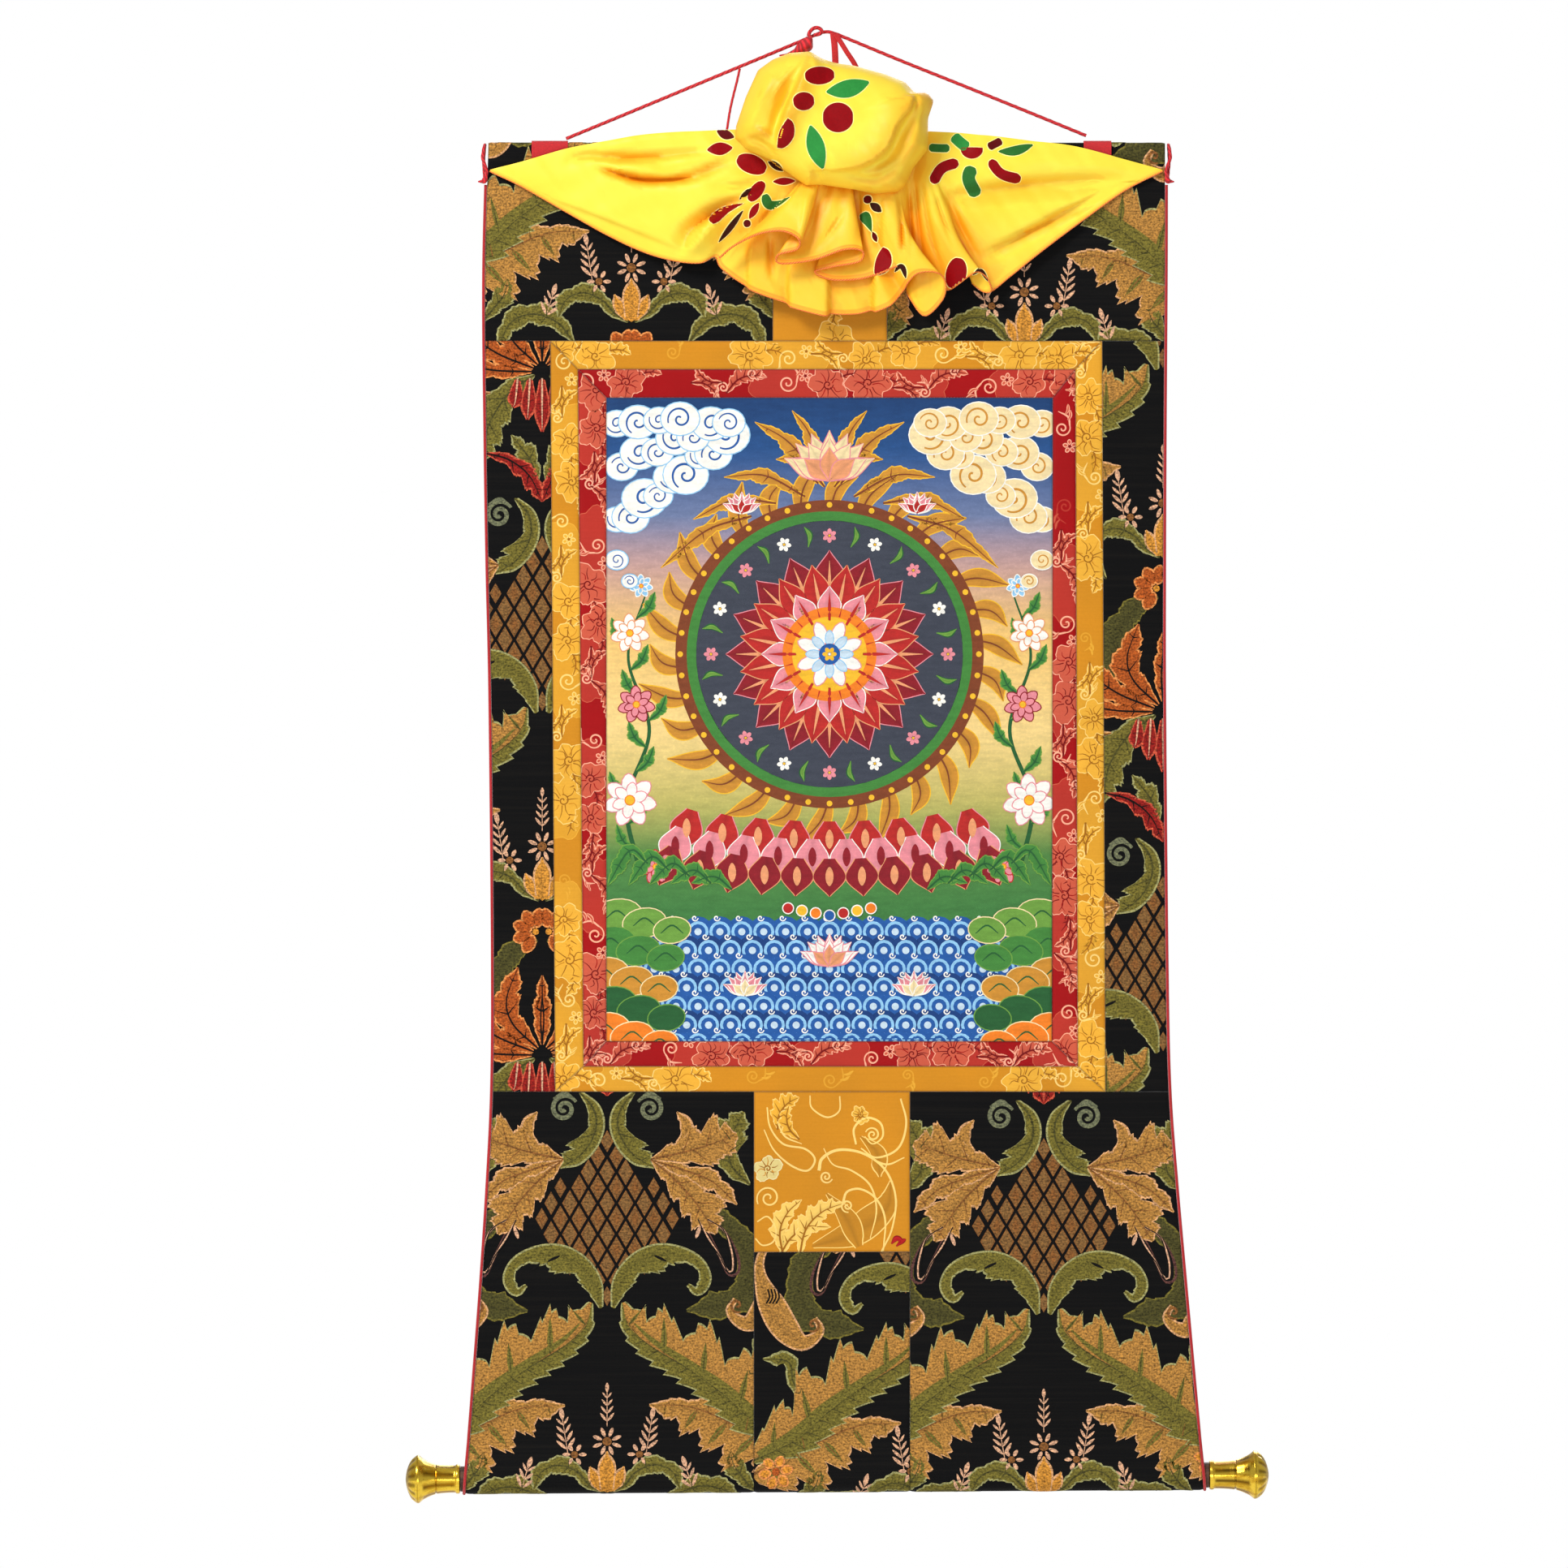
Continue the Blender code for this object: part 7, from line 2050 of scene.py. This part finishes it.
knobPlan = {
    "tilt": 0.0054, "left": -288.4, "right": 301.6, "height": -1140.4, "spigot": 7.0, "spigotLength": 12.0,
    "lengths": {"left": 43.0, "right": 47.0}, "radius": 19.0, "gap": 0.3,
    # flutes along the neck, petals on the cap: count, depth, where they start and end, how dark the painted shade in
    # their hollows is; rings: where painted shade darkens a groove
    "flutes": (8, 0.03, 0.07, 0.70, 0.9), "petals": (14, 0.05, 0.79, 0.975, 0.75), "rings": (0.43, 0.775),
    # the dark brown tone is painted shade and painted dark reflection, laid into the flute and petal hollows and the
    # ring grooves
    "bright": "#ffd648", "hollowShade": "#4a2208",
    "outline": [(0.00, 0.54), (0.012, 0.60), (0.045, 0.612), (0.07, 0.60), (0.085, 0.565), (0.10, 0.56),
                (0.18, 0.562), (0.25, 0.57), (0.34, 0.585), (0.42, 0.61), (0.435, 0.585), (0.445, 0.585),
                (0.46, 0.63), (0.52, 0.675), (0.58, 0.73), (0.64, 0.80), (0.69, 0.87), (0.725, 0.94),
                (0.75, 0.995), (0.77, 1.00), (0.80, 0.985), (0.84, 0.92), (0.88, 0.84), (0.92, 0.71),
                (0.95, 0.56), (0.975, 0.38), (0.99, 0.22), (0.998, 0.08)],
}


def addKnobs(plan, segments=112):
    length = plan["right"] - plan["left"]
    middle = (plan["left"] + plan["right"]) / 2
    centre = np.array((middle, 0.0, plan["height"] + plan["tilt"] * middle))
    lean = math.atan(plan["tilt"])
    turn = 2 * math.pi * np.arange(segments) / segments
    bright, hollowShade = np.array(srgb(plan["bright"])), np.array(srgb(plan["hollowShade"]))
    outline = np.array(plan["outline"])
    fine = np.unique(np.concatenate([outline[:, 0], np.linspace(0, outline[-1, 0], 70)]))
    for side, out in (("left", -1), ("right", 1)):
        start = length / 2 + plan["gap"]
        bottom = start + plan["spigotLength"] + plan["gap"]
        rows = [(bottom, 0.01, -1), (bottom, plan["spigot"] + plan["gap"], -1), (start, plan["spigot"] + plan["gap"], -1)]
        rows += [(start + a * plan["lengths"][side], np.interp(a, *outline.T) * plan["radius"], a) for a in fine]
        verts, faces, tints = [], [], []
        for along, radius, place in rows:
            swell, dark = np.ones(segments), np.zeros(segments)
            # painted shade and painted dark reflection: the tint darkens in the hollows of the flutes and petals
            for count, depth, first, last, deep in (plan["flutes"], plan["petals"]):
                held = smoothstep(first, first + 0.05, place) * smoothstep(last, last - 0.05, place)
                swell += depth * held * (np.cos(count * turn) - 1) / 2
                dark = np.maximum(dark, deep * held * (0.5 - 0.5 * np.cos(count * turn)) ** 2)
            # painted shade: dark lines round the two ring grooves
            for ring in plan["rings"]:
                dark = np.maximum(dark, 0.6 * math.exp(-((place - ring) / 0.009) ** 2))
            x, y, z = out * along, radius * swell * np.cos(turn), radius * swell * np.sin(turn)
            verts.append(centre + np.column_stack([x * math.cos(lean) - z * math.sin(lean), y,
                                                   x * math.sin(lean) + z * math.cos(lean)]))
            tints.append(bright + (hollowShade - bright) * dark[:, None])
        for r in range(len(rows) - 1):
            for k in range(segments):
                m = (k + 1) % segments
                face = (r * segments + k, r * segments + m, (r + 1) * segments + m, (r + 1) * segments + k)
                faces.append(face if out < 0 else face[::-1])
        end = tuple((len(rows) - 1) * segments + k for k in range(segments))
        faces.append(end if out < 0 else end[::-1])
        knob = addMesh("knob" + side.capitalize(), np.vstack(verts) * mm, faces, ["goldMetal"], tints=np.vstack(tints), sharp=38)
        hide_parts("knob_" + side)


addKnobs(knobPlan)
for node in ("batten", "roller"):
    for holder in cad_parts[node].material_slots:
        holder.material = materials["woodFace"]
print("knobs, roller and batten made")


# Floor and light

studioPlan = {
    "floor": (4.2, -1.6), "world": 0.42, "backdrop": 1.0,
    "lamps": [
        ("keyLight", (-2.2, -3.0, 2.4), (1.3, 1.3), 150.0),
        ("fillLight", (0.3, -4.4, -1.35), (5.0, 0.5), 50.0),
        ("backLight", (0.8, 3.6, 1.2), (2.4, 2.4), 70.0),
    ],
}


def addStudio(plan):
    reach, level = plan["floor"]
    turns = np.linspace(0, 2 * math.pi, 96, endpoint=False)
    floorMesh = bpy.data.meshes.new("floor")
    floorMesh.from_pydata([(reach * math.cos(a), reach * math.sin(a), level) for a in turns], [], [tuple(range(96))])
    floorMesh.materials.append(materials["plainFloor"])
    floor = bpy.data.objects.new("floor", floorMesh)
    bpy.context.scene.collection.objects.link(floor)
    world = bpy.data.worlds.new("studio")
    bpy.context.scene.world = world
    world.use_nodes = True
    seen = Wire(world.node_tree).node("ShaderNodeLightPath", None, None, 0)
    background = world.node_tree.nodes["Background"]
    background.inputs["Color"].default_value = (1, 1, 1, 1)
    strength = seen * (plan["backdrop"] - plan["world"]) + plan["world"]
    world.node_tree.links.new(strength.socket, background.inputs["Strength"])
    for name, place, size, power in plan["lamps"]:
        data = bpy.data.lights.new(name, "AREA")
        data.shape = "RECTANGLE"
        data.size, data.size_y = size
        data.energy = power
        lamp = bpy.data.objects.new(name, data)
        bpy.context.scene.collection.objects.link(lamp)
        lamp.location = place
        aim = Vector((0, 0, -0.6)) - Vector(place)
        lamp.rotation_euler = aim.to_track_quat("-Z", "Y").to_euler()


addStudio(studioPlan)
print("floor and light made")
